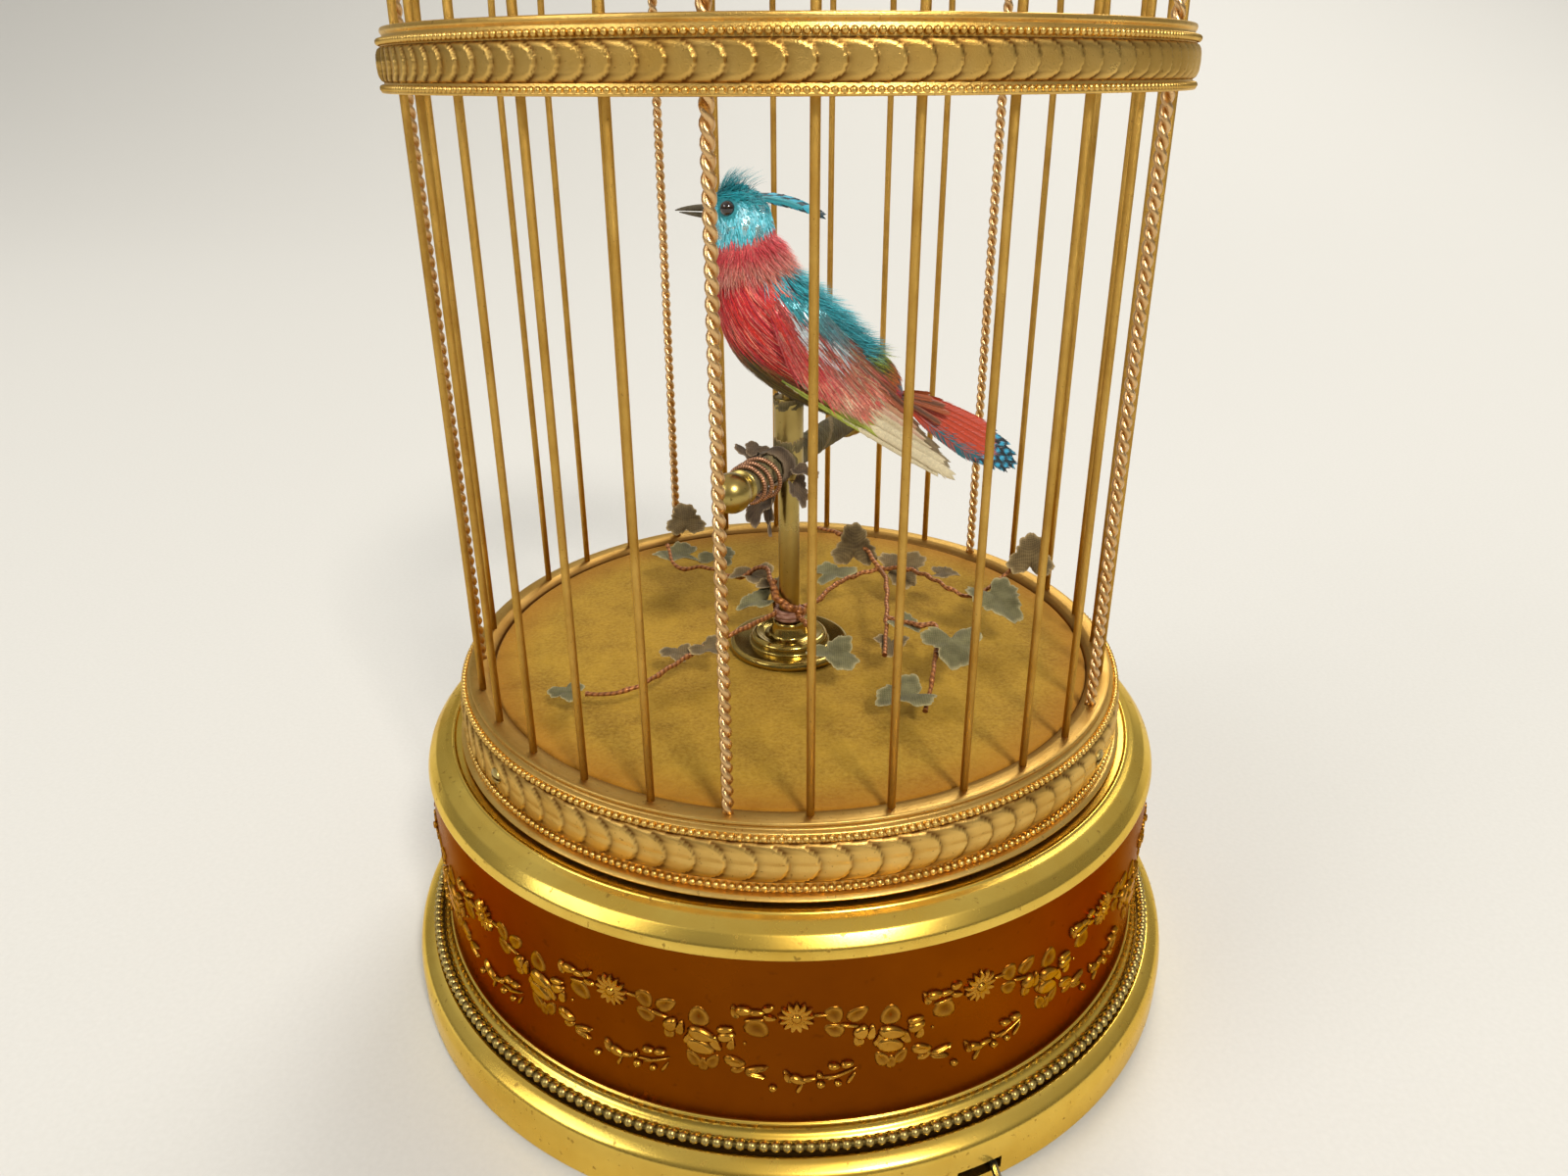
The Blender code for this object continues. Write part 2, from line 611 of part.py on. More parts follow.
def fixing_screw(number, reach, angle, ring):
    """A small slotted screw seated in its own hole in the ring's side."""
    out = Vector((math.sin(angle), -math.cos(angle), 0.0))
    middle = Vector((0, 0, CAGE_RING_BOTTOM + CAGE_RING_HEIGHT / 2))
    inner = reach - SCREW_LENGTH - SCREW_PROUD
    seat = swept(f"screw_seat_{number}", [middle + out * (inner - GAP),
                                          middle + out * (reach + 2 * OVERRUN)],
                 SCREW_HEAD / 2 + 1.4 * GAP, ring.data.materials[0], 10)
    cut(ring, seat)
    screw = swept(f"fixing_screw_{number}", [middle + out * inner, middle + out * (reach + SCREW_PROUD)],
                  SCREW_HEAD / 2, brass(f"screw_brass_{number}"), 10)
    groove = bpy.data.meshes.new(f"screw_groove_{number}")
    bm = bmesh.new()
    bmesh.ops.create_cube(bm, size=1.0)
    bmesh.ops.scale(bm, verts=bm.verts, vec=(2 * SCREW_HEAD, SCREW_SLOT, SCREW_HEAD / 5))
    turn = Matrix.Rotation(angle, 4, "Z")
    place = Matrix.Translation(middle + out * (reach + SCREW_PROUD))
    bmesh.ops.transform(bm, matrix=place @ turn, verts=bm.verts)
    bm.to_mesh(groove)
    bm.free()
    cut(screw, add_object(f"screw_groove_{number}", groove, screw.data.materials[0]))


def floor_disc():
    """The velvet-covered board that the bird's post stands on."""
    velvet = finish("velvet", (0.48, 0.30, 0.06), 0.95, 0.0)
    radius = CAGE_RING_INNER - GAP
    made = plate("floor_disc", circle((0, 0), radius, TURNED_SIDES), FLOOR_BOTTOM, FLOOR_TOP, velvet)
    bore(made, POST_AT, POST_DIAMETER / 2 + GAP, FLOOR_BOTTOM, FLOOR_TOP)


def upper_band():
    """The pressed gallery that ties the wires together under the dome."""
    bead = GALLERY_BEAD / 2
    outer = BAND_INNER + BAND_WALL
    lip = BAND_INNER + 0.6 * BAND_WALL
    profile = [(BAND_INNER, BAND_BOTTOM), (outer, BAND_BOTTOM)]
    profile += gallery_profile(outer, BAND_BOTTOM + bead, BAND_HEIGHT - 4 * bead)
    profile += [(lip, BAND_TOP - 2 * bead), (lip, BAND_TOP), (BAND_INNER, BAND_TOP)]
    turned("upper_band", profile, gilt("band_brass"), ring=True)


def wire_path(position, end_radius):
    """A cage wire: straight up from the base ring, then a quarter of an oval in to the crown."""
    angle = math.radians(FIRST_ROPE_ANGLE + position * 360.0 / BAR_POSITIONS)
    out = Vector((math.sin(angle), -math.cos(angle), 0.0))
    points = [out * CAGE_RADIUS + Vector((0, 0, BAR_FOOT))]
    for turn in np.radians(np.linspace(0, 90, 7)):
        reach = end_radius + (CAGE_RADIUS - end_radius) * math.cos(turn)
        points.append(out * reach + Vector((0, 0, DOME_FOOT + DOME_HEIGHT * math.sin(turn))))
    return points


def cage_wires():
    """The round wires are soldered into the crown, so they share its node. Every sixth wire is a
    thicker twisted rope, each a node of its own."""
    crown_profile = [(0.0, CROWN_HEIGHT - CROWN_THICKNESS / 2)]
    crown_profile += [(CROWN_RADIUS - EDGE_ROUND, CROWN_HEIGHT - CROWN_THICKNESS / 2)]
    crown_profile += [(CROWN_RADIUS, CROWN_HEIGHT - CROWN_THICKNESS / 3)]
    crown_profile += [(CROWN_RADIUS, CROWN_HEIGHT + CROWN_THICKNESS / 3)]
    crown_profile += [(CROWN_RADIUS - EDGE_ROUND, CROWN_TOP), (0.0, CROWN_TOP)]
    bars = turned("cage_bars", crown_profile, gilt("bar_brass"), sides=BAR_POSITIONS)
    ropes = 0
    wires = []
    for position in range(BAR_POSITIONS):
        if position % BARS_PER_ROPE == 0:
            ropes += 1
            path = wire_path(position, CROWN_RADIUS + 2 * GAP)
            rope = gilt(f"rope_brass_{ropes}")
            swept(f"rope_bar_{ropes}", path, ROPE_DIAMETER / 2, rope, 8)
        else:
            path = wire_path(position, CROWN_RADIUS - CROWN_SOCKET)
            wires.append(swept(f"wire_{position}", path, BAR_DIAMETER / 2, bars.data.materials[0], 5))
    join_all(bars, wires)


def join_all(base, others):
    """One Boolean union of a piece with a group of helpers."""
    group = bpy.data.collections.new(f"{base.name}_helpers")
    bpy.context.scene.collection.children.link(group)
    for other in others:
        group.objects.link(helper(other))
    step = base.modifiers.new("joined", "BOOLEAN")
    step.operation = "UNION"
    step.solver = "EXACT"
    step.operand_type = "COLLECTION"
    step.collection = group


def crown_finial():
    """A turned vase on the crown, with an eye that the hanging ring passes through."""
    foot = FINIAL_BOTTOM
    waist = FINIAL_HEIGHT - EYE_RADIUS
    profile = [(0.0, foot), (0.62 * CROWN_RADIUS, foot), (0.62 * CROWN_RADIUS, foot + FINIAL_FOOT)]
    profile += [(0.30 * CROWN_RADIUS, foot + 2.2 * FINIAL_FOOT), (0.26 * CROWN_RADIUS, foot + 0.5 * waist)]
    profile += [(0.40 * CROWN_RADIUS, foot + 0.7 * waist), (0.22 * CROWN_RADIUS, foot + waist)]
    profile += arc((0.0, EYE_HEIGHT), EYE_RADIUS, -50, 90, 5)
    made = turned("crown_finial", profile, gilt("finial_brass"), sides=16)
    reach = Vector((EYE_RADIUS + 2 * OVERRUN, 0, 0))
    middle = Vector((0, 0, EYE_HEIGHT))
    cut(made, swept("eye_hole", [middle - reach, middle + reach], RING_WIRE / 2 + 4 * GAP,
                    made.data.materials[0], 12))


def hanging_ring():
    """The ring that the cage hangs by. Stood on a table, it falls back towards the dome."""
    centre = Vector((0, 0, EYE_HEIGHT + RING_RADIUS))
    bm = bmesh.new()
    section = [bm.verts.new((x, 0, z)) for x, z in arc((RING_RADIUS, 0), RING_WIRE / 2, 0, 300, 5)]
    edges = [bm.edges.new(pair) for pair in zip(section, section[1:] + section[:1])]
    bmesh.ops.spin(bm, geom=section + edges, cent=(0, 0, 0), axis=(0, 0, 1), angle=math.tau,
                   steps=24, use_merge=True, use_duplicate=False)
    upright = Matrix.Translation(centre) @ Matrix.Rotation(math.pi / 2, 4, "X")
    bmesh.ops.transform(bm, matrix=upright, verts=bm.verts)
    eye = Vector((0, 0, EYE_HEIGHT))
    bmesh.ops.rotate(bm, verts=bm.verts, cent=eye, matrix=Matrix.Rotation(math.radians(-RING_REST), 3, "X"))
    from_bmesh("hanging_ring", bm, gilt("ring_brass"))


def post_flange():
    """The stepped foot that the post stands in."""
    foot = FLOOR_TOP + GAP
    inner = POST_DIAMETER / 2 + GAP
    profile = [(inner, foot), (FLANGE_RADIUS, foot), (FLANGE_RADIUS, foot + 0.3 * FLANGE_HEIGHT)]
    profile += [(0.93 * FLANGE_RADIUS, foot + 0.42 * FLANGE_HEIGHT)]
    profile += [(0.68 * FLANGE_RADIUS, foot + 0.42 * FLANGE_HEIGHT)]
    profile += [(0.64 * FLANGE_RADIUS, foot + 0.62 * FLANGE_HEIGHT)]
    profile += [(0.34 * FLANGE_RADIUS, foot + 0.70 * FLANGE_HEIGHT)]
    profile += [(0.28 * FLANGE_RADIUS, foot + FLANGE_HEIGHT), (inner, foot + FLANGE_HEIGHT)]
    turned("post_flange", profile, brass("flange_brass"), POST_AT, 24, ring=True)


def perch_post():
    bottom = FLOOR_BOTTOM - POST_TAIL
    top = SLEEVE_BOTTOM - GAP
    made = rod("perch_post", POST_AT, POST_DIAMETER / 2, bottom, top, brass("post_brass"), 14)
    bore(made, POST_AT, ROD_BORE, bottom, top, 10)


def arm_point(along, aside=0.0, up=0.0):
    """A point beside the arm's middle line, measured from the post."""
    angle = math.radians(ARM_DIRECTION)
    forward = Vector((math.cos(angle), math.sin(angle), 0.0))
    across = Vector((-math.sin(angle), math.cos(angle), 0.0))
    return POST_AT + forward * along + across * aside + Vector((0, 0, ARM_HEIGHT + up))


def perch_arm():
    """The branch that the bird sits on, with the upright sleeve that holds the bird."""
    bark = finish("bark", (0.10, 0.075, 0.03), 0.6, 0.2)
    made = swept("perch_arm", [arm_point(-ARM_FRONT), arm_point(ARM_BACK)], ARM_DIAMETER / 2, bark, 14)
    join(made, rod("arm_sleeve", POST_AT, SLEEVE_DIAMETER / 2, SLEEVE_BOTTOM, SLEEVE_TOP, bark, 14))
    bore(made, POST_AT, ROD_BORE, SLEEVE_BOTTOM, SLEEVE_TOP, 10)


def arm_finial(name, along, outward):
    """A ball with a short collar that closes one end of the arm."""
    ball = FINIAL_BALL / 2
    start = along + outward * GAP
    collar = ARM_COLLAR
    profile = [(0.0, 0.0), (0.8 * ARM_DIAMETER / 2, 0.0), (ARM_DIAMETER / 2 + GAP, collar / 2)]
    profile += [(0.75 * ball, collar)]
    profile += arc((0.0, collar + 0.9 * ball), ball, -45, 90, 6)
    made = turned(name, profile, brass(f"{name}_brass"), sides=14)
    angle = math.radians(ARM_DIRECTION)
    tip = Matrix.Rotation(angle, 4, "Z") @ Matrix.Rotation(outward * math.pi / 2, 4, "Y")
    made.data.transform(Matrix.Translation(arm_point(start)) @ tip)


def arm_coil():
    """Copper wire wound round the branch from the front finial towards the post."""
    steps = 10 * COIL_TURNS
    radius = (ARM_DIAMETER / 2 + COIL_WIRE / 2 + GAP) / math.cos(math.pi / 10)
    first = -ARM_FRONT + ARM_COLLAR
    last = first + COIL_SPAN
    path = []
    for i in range(steps + 1):
        turn = math.tau * COIL_TURNS * i / steps
        along = first + (last - first) * i / steps
        path.append(arm_point(along, radius * math.cos(turn), radius * math.sin(turn)))
    pitch = COIL_SPAN / COIL_TURNS
    print(f"arm_coil least gap between turns {1000 * (pitch - COIL_WIRE):.2f} mm")
    swept("arm_coil", path, COIL_WIRE / 2, finish("copper", (0.60, 0.27, 0.13), 0.35, 1.0), 5)


def capsule(start, end, width, steps=5):
    """The outline of a flat bar with round ends."""
    start = Vector((start[0], start[1]))
    end = Vector((end[0], end[1]))
    heading = math.atan2(end.y - start.y, end.x - start.x)
    points = []
    for centre, first in ((end, heading - math.pi / 2), (start, heading + math.pi / 2)):
        for angle in np.linspace(first, first + math.pi, steps):
            points.append((centre.x + width / 2 * math.cos(angle), centre.y + width / 2 * math.sin(angle)))
    return points


def lower_plate():
    """The movement's lower plate, with its feet below and its pillars above riveted in."""
    metal = brass("lower_plate_brass")
    made = plate("lower_plate", circle((0, 0), PLATE_RADIUS, TURNED_SIDES), LOWER_PLATE_BOTTOM,
                 LOWER_PLATE_TOP, metal)
    for i in range(4):
        at = bearing(Vector(), PLATE_RADIUS - PILLAR_INSET, 60.0 + 90.0 * i)
        join(made, rod(f"pillar_{i}", at, PILLAR_DIAMETER / 2, BASE_PLATE_TOP + GAP,
                       UPPER_PLATE_BOTTOM - GAP, metal, 10))
    shaft = ARBOR_DIAMETER / 2 + RUNNING
    for at in (BARREL_AT, CAM_AT, CRANK_AT, FAN_AT):
        bore(made, at, shaft, LOWER_PLATE_BOTTOM, LOWER_PLATE_TOP, 10)
    bore(made, BRAKE_AT, BRAKE_SWEEP, LOWER_PLATE_BOTTOM, LOWER_PLATE_TOP, 10)
    join(made, rod("click_stud", CLICK_PIVOT, STUD_DIAMETER / 2, CLICK_Z - GAP,
                   LOWER_PLATE_BOTTOM + PLATE_THICKNESS / 2, metal, 8))


def upper_plate():
    """The upper plate, with the studs that the levers turn on."""
    metal = brass("upper_plate_brass")
    made = plate("upper_plate", circle((0, 0), PLATE_RADIUS, TURNED_SIDES), UPPER_PLATE_BOTTOM,
                 UPPER_PLATE_TOP, metal)
    shaft = ARBOR_DIAMETER / 2 + RUNNING
    for at in (BARREL_AT, CAM_AT, CRANK_AT, FAN_AT):
        bore(made, at, shaft, UPPER_PLATE_BOTTOM, UPPER_PLATE_TOP, 10)
    inside = UPPER_PLATE_TOP - PLATE_THICKNESS / 2
    for name, at, top in (("piston_stud", PISTON_PIVOT, CAM_Z + 2 * LEVER_THICKNESS),
                          ("head_stud", HEAD_PIVOT, CAM_Z + CAM_PITCH + 2 * LEVER_THICKNESS),
                          ("beak_stand", BEAK_PIVOT, LEVER_DECK - GAP)):
        join(made, rod(name, at, STUD_DIAMETER / 2, inside, top, metal, 8))


def spring_barrel():
    """The open barrel that holds the mainspring, with the great wheel as its floor."""
    metal = brass("barrel_brass")
    wheel = toothed(BARREL_AT, WHEEL_TEETH, 50.0)
    made = plate("spring_barrel", wheel, GREAT_WHEEL_Z, GREAT_WHEEL_Z + WHEEL_THICKNESS, metal)
    top = GREAT_WHEEL_Z + WHEEL_THICKNESS
    wall = [(BARREL_RADIUS, top - BARREL_LAP), (BARREL_RADIUS, BARREL_TOP)]
    wall += [(BARREL_RADIUS - BARREL_WALL, BARREL_TOP), (BARREL_RADIUS - BARREL_WALL, top - BARREL_LAP)]
    join(made, turned("barrel_wall", wall[::-1], metal, BARREL_AT, 24, ring=True))
    bore(made, BARREL_AT, ARBOR_DIAMETER / 2 + RUNNING, GREAT_WHEEL_Z, top)


def mainspring():
    """A flat strip wound outwards from the arbor to the barrel's wall."""
    inner = ARBOR_DIAMETER / 2 + 3 * GAP
    outer = BARREL_RADIUS - BARREL_WALL - SPRING_STRIP - GAP
    steps = 14 * SPRING_TURNS
    inside = []
    outside = []
    for i in range(steps + 1):
        turn = math.tau * SPRING_TURNS * i / steps
        radius = inner + (outer - inner) * i / steps
        for side, extra in ((inside, 0.0), (outside, SPRING_STRIP)):
            reach = radius + extra
            side.append((BARREL_AT[0] + reach * math.cos(turn), BARREL_AT[1] + reach * math.sin(turn)))
    bottom = GREAT_WHEEL_Z + WHEEL_THICKNESS + GAP
    print(f"mainspring least gap {1000 * ((outer - inner) / SPRING_TURNS - SPRING_STRIP):.2f} mm")
    plate("mainspring", outside + inside[::-1], bottom, BARREL_TOP - GAP, steel("spring_steel"))


def winding_arbor():
    """The arbor that winds the spring, with its ratchet wheel under the lower plate."""
    metal = steel("arbor_steel")
    made = rod("winding_arbor", BARREL_AT, ARBOR_DIAMETER / 2, KEY_TOP - KEY_SOCKET,
               BARREL_TOP + ARBOR_PROUD,
               metal, 10)
    teeth = []
    for i in range(RATCHET_TEETH):
        for share, radius in ((0.0, RATCHET_RADIUS), (0.15, 0.78 * RATCHET_RADIUS)):
            angle = math.tau * (i + share) / RATCHET_TEETH
            teeth.append((BARREL_AT[0] + radius * math.cos(angle), BARREL_AT[1] + radius * math.sin(angle)))
    join(made, plate("ratchet", teeth, CLICK_Z, CLICK_Z + LEVER_THICKNESS, metal))


def winding_key():
    """The flat butterfly key under the base, with its round socket on the arbor."""
    metal = brass("key_brass")
    bottom = FELT_TOP + 2 * GAP
    made = rod("winding_key", BARREL_AT, ARBOR_DIAMETER / 2 + KEY_HUB, bottom + KEY_HEIGHT / 3, KEY_TOP,
               metal, 12)
    half = KEY_WIDTH / 2
    outline = [(half * math.cos(a) * (0.55 + 0.45 * abs(math.cos(a))), KEY_HEIGHT / 2 * math.sin(a) * (
        0.35 + 0.65 * abs(math.cos(a)) ** 0.5)) for a in np.arange(20) * math.tau / 20]
    wings = plate("key_wings", outline, -KEY_THICKNESS / 2, KEY_THICKNESS / 2, metal)
    place = Vector((BARREL_AT[0], BARREL_AT[1], bottom + KEY_HEIGHT / 2))
    turn = Matrix.Rotation(math.radians(25), 4, "Z") @ Matrix.Rotation(math.pi / 2, 4, "X")
    wings.data.transform(Matrix.Translation(place) @ turn)
    join(made, wings)
    depth = KEY_TOP - KEY_SOCKET - GAP
    bore_cut = rod("key_socket", BARREL_AT, ARBOR_DIAMETER / 2 + RUNNING, depth, KEY_TOP + OVERRUN,
                   metal, 10)
    cut(made, bore_cut)


def click():
    """The pawl that stops the ratchet from running back."""
    outline = capsule(CLICK_PIVOT, CLICK_NOSE, 2 * LEVER_THICKNESS)
    made = plate("click", outline, CLICK_Z, CLICK_Z + LEVER_THICKNESS, steel("click_steel"))
    head = rod("click_head", CLICK_PIVOT, STUD_DIAMETER / 2 + BOSS_WALL, CLICK_Z, CLICK_Z + LEVER_THICKNESS,
               made.data.materials[0], 10)
    join(made, head)
    bore(made, CLICK_PIVOT, STUD_DIAMETER / 2 + GAP, CLICK_Z, CLICK_Z + LEVER_THICKNESS, 8)


def arbor(name, at, top, wheel_z, pinion_z, wheel_phase, pinion_phase, metal):
    """A wheel and a pinion on one steel arbor that runs in both plates."""
    made = rod(name, at, ARBOR_DIAMETER / 2, LOWER_PLATE_BOTTOM + GAP, top, metal, 10)
    if wheel_z is not None:
        wheel = toothed(at, WHEEL_TEETH, wheel_phase)
        join(made, plate(f"{name}_wheel", wheel, wheel_z, wheel_z + WHEEL_THICKNESS, metal))
    pinion = toothed(at, PINION_TEETH, pinion_phase)
    join(made, plate(f"{name}_pinion", pinion, pinion_z - PINION_PROUD,
                     pinion_z + WHEEL_THICKNESS + PINION_PROUD, metal))
    return made


def half_pinion(direction):
    """A pinion's phase that puts a gap towards the wheel that drives it."""
    return direction + 180.0 + 180.0 / PINION_TEETH


def cam_stack():
    """The cam arbor: three cams for the whistle's piston, the head and the beak with the tail."""
    made = arbor("cam_stack", CAM_AT, LEVER_DECK - 2 * GAP, CAM_WHEEL_Z, GREAT_WHEEL_Z, -20.0,
                 half_pinion(50.0), brass("cam_brass"))
    steps = 28
    for i, radius in enumerate(CAM_RADII):
        outline = []
        for k in range(steps):
            angle = math.tau * k / steps
            dip = CAM_LIFT * (0.5 - 0.5 * math.cos((i + 2) * angle))
            outline.append((CAM_AT[0] + (radius - dip) * math.cos(angle),
                            CAM_AT[1] + (radius - dip) * math.sin(angle)))
        bottom = CAM_Z + i * CAM_PITCH
        join(made, plate(f"cam_{i}", outline, bottom, bottom + CAM_THICKNESS, made.data.materials[0]))


def crank_arbor():
    """The faster arbor, whose crank disc pumps the bellows."""
    made = arbor("crank_arbor", CRANK_AT, CRANK_Z + CRANK_DISC / 2, FAN_WHEEL_Z, CAM_WHEEL_Z, 35.0,
                 half_pinion(-20.0), brass("crank_brass"))
    metal = made.data.materials[0]
    join(made, rod("crank_disc", CRANK_AT, CRANK_DISC_RADIUS, CRANK_Z, CRANK_Z + CRANK_DISC, metal, 18))
    pin = CRANK_AT + Vector((0, CRANK_THROW, 0))
    join(made, rod("crank_pin", pin, CRANK_PIN, CRANK_Z + CRANK_DISC / 2, ROD_Z - GAP, metal, 8))


def fan_governor():
    """The two-bladed fan that holds the speed down."""
    made = arbor("fan_governor", FAN_AT, UPPER_PLATE_TOP - GAP, None, FAN_WHEEL_Z, 0.0,
                 half_pinion(35.0), steel("fan_steel"))
    blade = bpy.data.meshes.new("fan_blade")
    bm = bmesh.new()
    bmesh.ops.create_cube(bm, size=1.0)
    bmesh.ops.scale(bm, verts=bm.verts, vec=(2 * FAN_RADIUS - FAN_ROOM, FAN_BLADE, FAN_HEIGHT))
    bmesh.ops.translate(bm, verts=bm.verts, vec=FAN_AT + Vector((0, 0, FAN_Z + FAN_HEIGHT / 2)))
    bm.to_mesh(blade)
    bm.free()
    join(made, add_object("fan_blade", blade, made.data.materials[0]))


def box(name, low, high, material):
    """A plain block between two opposite corners."""
    outline = [(low[0], low[1]), (high[0], low[1]), (high[0], high[1]), (low[0], high[1])]
    return plate(name, outline, low[2], high[2], material)


def bellows():
    """Two boards hinged at one end, with folded leather between them."""
    wood = finish("board_wood", (0.35, 0.20, 0.09), 0.6, 0.0)
    leather = finish("bellows_kid", (0.70, 0.62, 0.50), 0.8, 0.0)
    low = BELLOWS_Z
    high = BELLOWS_Z + BELLOWS_HEIGHT
    fixed = box("bellows_fixed_board", (BELLOWS_LEFT, FIXED_FRONT, UPPER_PLATE_TOP + GAP),
                (BELLOWS_RIGHT + GAP + BELLOWS_HINGE_BLOCK, FIXED_BACK, high), wood)
    block_front = BELLOWS_FRONT
    join(fixed, box("hinge_block", (BELLOWS_RIGHT + GAP, block_front, low),
                    (BELLOWS_RIGHT + GAP + BELLOWS_HINGE_BLOCK, FIXED_BACK - BELLOWS_BOARD / 2, high),
                    wood))
    moving_wood = finish("moving_wood", (0.35, 0.2, 0.09), 0.6, 0)
    moving = box("bellows_moving_board", (BELLOWS_LEFT, BELLOWS_FRONT, low),
                 (BELLOWS_RIGHT, BELLOWS_FRONT + BELLOWS_BOARD, high), moving_wood)
    lug_low = ROD_Z + LEVER_THICKNESS + GAP
    lug = box("board_lug", (CRANK_AT[0] - LUG_WIDTH / 2, BELLOWS_FRONT - LUG_LENGTH, lug_low),
              (CRANK_AT[0] + LUG_WIDTH / 2, BELLOWS_FRONT + BELLOWS_BOARD / 2, lug_low + LUG_WIDTH / 2),
              moving.data.materials[0])
    join(moving, lug)
    pivot = Vector((CRANK_AT[0], BELLOWS_FRONT - LUG_REACH, 0))
    join(moving, rod("lug_pin", pivot, LUG_PIN, ROD_Z - GAP, lug_low + LUG_WIDTH / 4,
                     moving.data.materials[0], 8))
    inset = LEATHER_INSET
    middle = (LEATHER_FRONT + LEATHER_BACK) / 2
    outline = [(BELLOWS_LEFT, LEATHER_FRONT), (BELLOWS_RIGHT - inset, LEATHER_FRONT),
               (BELLOWS_RIGHT - inset, LEATHER_BACK), (BELLOWS_LEFT, LEATHER_BACK),
               (BELLOWS_LEFT + 2 * inset, middle)]
    plate("bellows_leather", outline, low + inset, high - inset, leather)


def connecting_rod():
    """The flat rod from the crank pin to the moving board's lug. Its crank eye rests just above
    the pin, because the two turn at a changing ratio."""
    metal = steel("rod_steel")
    start = CRANK_AT + Vector((0, CRANK_THROW, 0))
    end = Vector((CRANK_AT[0], BELLOWS_FRONT - LUG_REACH, 0))
    made = plate("connecting_rod", capsule(start, end, LEVER_WIDTH), ROD_Z, ROD_Z + LEVER_THICKNESS, metal)
    bore(made, end, LUG_PIN + GAP, ROD_Z, ROD_Z + LEVER_THICKNESS, 8)


def wind_chest():
    wood = finish("chest_wood", (0.42, 0.26, 0.12), 0.6, 0.0)
    back = WHISTLE_Y + WHISTLE_RADIUS
    box("wind_chest", (CHEST_LEFT, LEATHER_FRONT, UPPER_PLATE_TOP + GAP),
        (CHEST_RIGHT, back, WHISTLE_Z + WHISTLE_RADIUS), wood)


def whistle():
    """A brass tube with a mouth cut in its top, closed by a sliding piston."""
    metal = brass("whistle_brass")
    start = Vector((WHISTLE_LEFT, WHISTLE_Y, WHISTLE_Z))
    end = Vector((WHISTLE_RIGHT, WHISTLE_Y, WHISTLE_Z))
    made = swept("whistle", [start, end], WHISTLE_RADIUS, metal, 16)
    floor = Vector((WHISTLE_RIGHT - WHISTLE_END, WHISTLE_Y, WHISTLE_Z))
    cut(made, swept("whistle_bore", [start - Vector((2 * OVERRUN, 0, 0)), floor], WHISTLE_BORE, metal, 16))
    mouth = WHISTLE_RIGHT - 2 * WHISTLE_END
    cut(made, box("whistle_mouth", (mouth - MOUTH_LENGTH, WHISTLE_Y - MOUTH_WIDTH / 2,
                                    WHISTLE_Z + MOUTH_DEPTH),
                  (mouth, WHISTLE_Y + MOUTH_WIDTH / 2, WHISTLE_Z + WHISTLE_RADIUS + OVERRUN), metal))
    join(made, box("whistle_stand", (WHISTLE_LEFT + PISTON_LENGTH, WHISTLE_Y - STAND_WIDTH / 2,
                                     UPPER_PLATE_TOP + GAP),
                   (WHISTLE_LEFT + PISTON_LENGTH + STAND_WIDTH, WHISTLE_Y + STAND_WIDTH / 2,
                    WHISTLE_Z - WHISTLE_BORE - EDGE_ROUND), metal))
    piston = swept("whistle_piston", [
        Vector((WHISTLE_LEFT + PISTON_IN, WHISTLE_Y, WHISTLE_Z)),
        Vector((WHISTLE_LEFT + PISTON_LENGTH, WHISTLE_Y, WHISTLE_Z))], WHISTLE_BORE - 1.6 * GAP,
        steel("piston_steel"), 12)
    stem_start = PISTON_END[0] + LEVER_PIN + GAP
    stem = [Vector((stem_start, WHISTLE_Y, WHISTLE_Z)), Vector((WHISTLE_LEFT + 2 * PISTON_IN,
                                                                WHISTLE_Y, WHISTLE_Z))]
    join(piston, swept("piston_stem", stem, PISTON_STEM, piston.data.materials[0], 8))
    knob = [stem[0], stem[0] + Vector((KNOB_LENGTH, 0, 0))]
    join(piston, swept("piston_knob", knob, PISTON_KNOB / 2, piston.data.materials[0], 10))


def cam_lever(name, pivot, tip, end, level, pin_top):
    """A flat lever on a stud: one arm waits beside its cam, and a pin stands on the other."""
    metal = steel(f"{name}_steel")
    made = plate(name, capsule(pivot, tip, LEVER_WIDTH), level, level + LEVER_THICKNESS, metal)
    arm = capsule(pivot, end, 0.96 * LEVER_WIDTH)
    join(made, plate(f"{name}_arm", arm, level, level + LEVER_THICKNESS, metal))
    join(made, rod(f"{name}_boss", pivot, STUD_DIAMETER / 2 + LEVER_BOSS, level,
                   level + LEVER_THICKNESS, metal, 12))
    join(made, rod(f"{name}_pin", end, LEVER_PIN, level + LEVER_THICKNESS / 2, pin_top, metal, 8))
    bore(made, pivot, STUD_DIAMETER / 2 + GAP, level, level + LEVER_THICKNESS, 10)


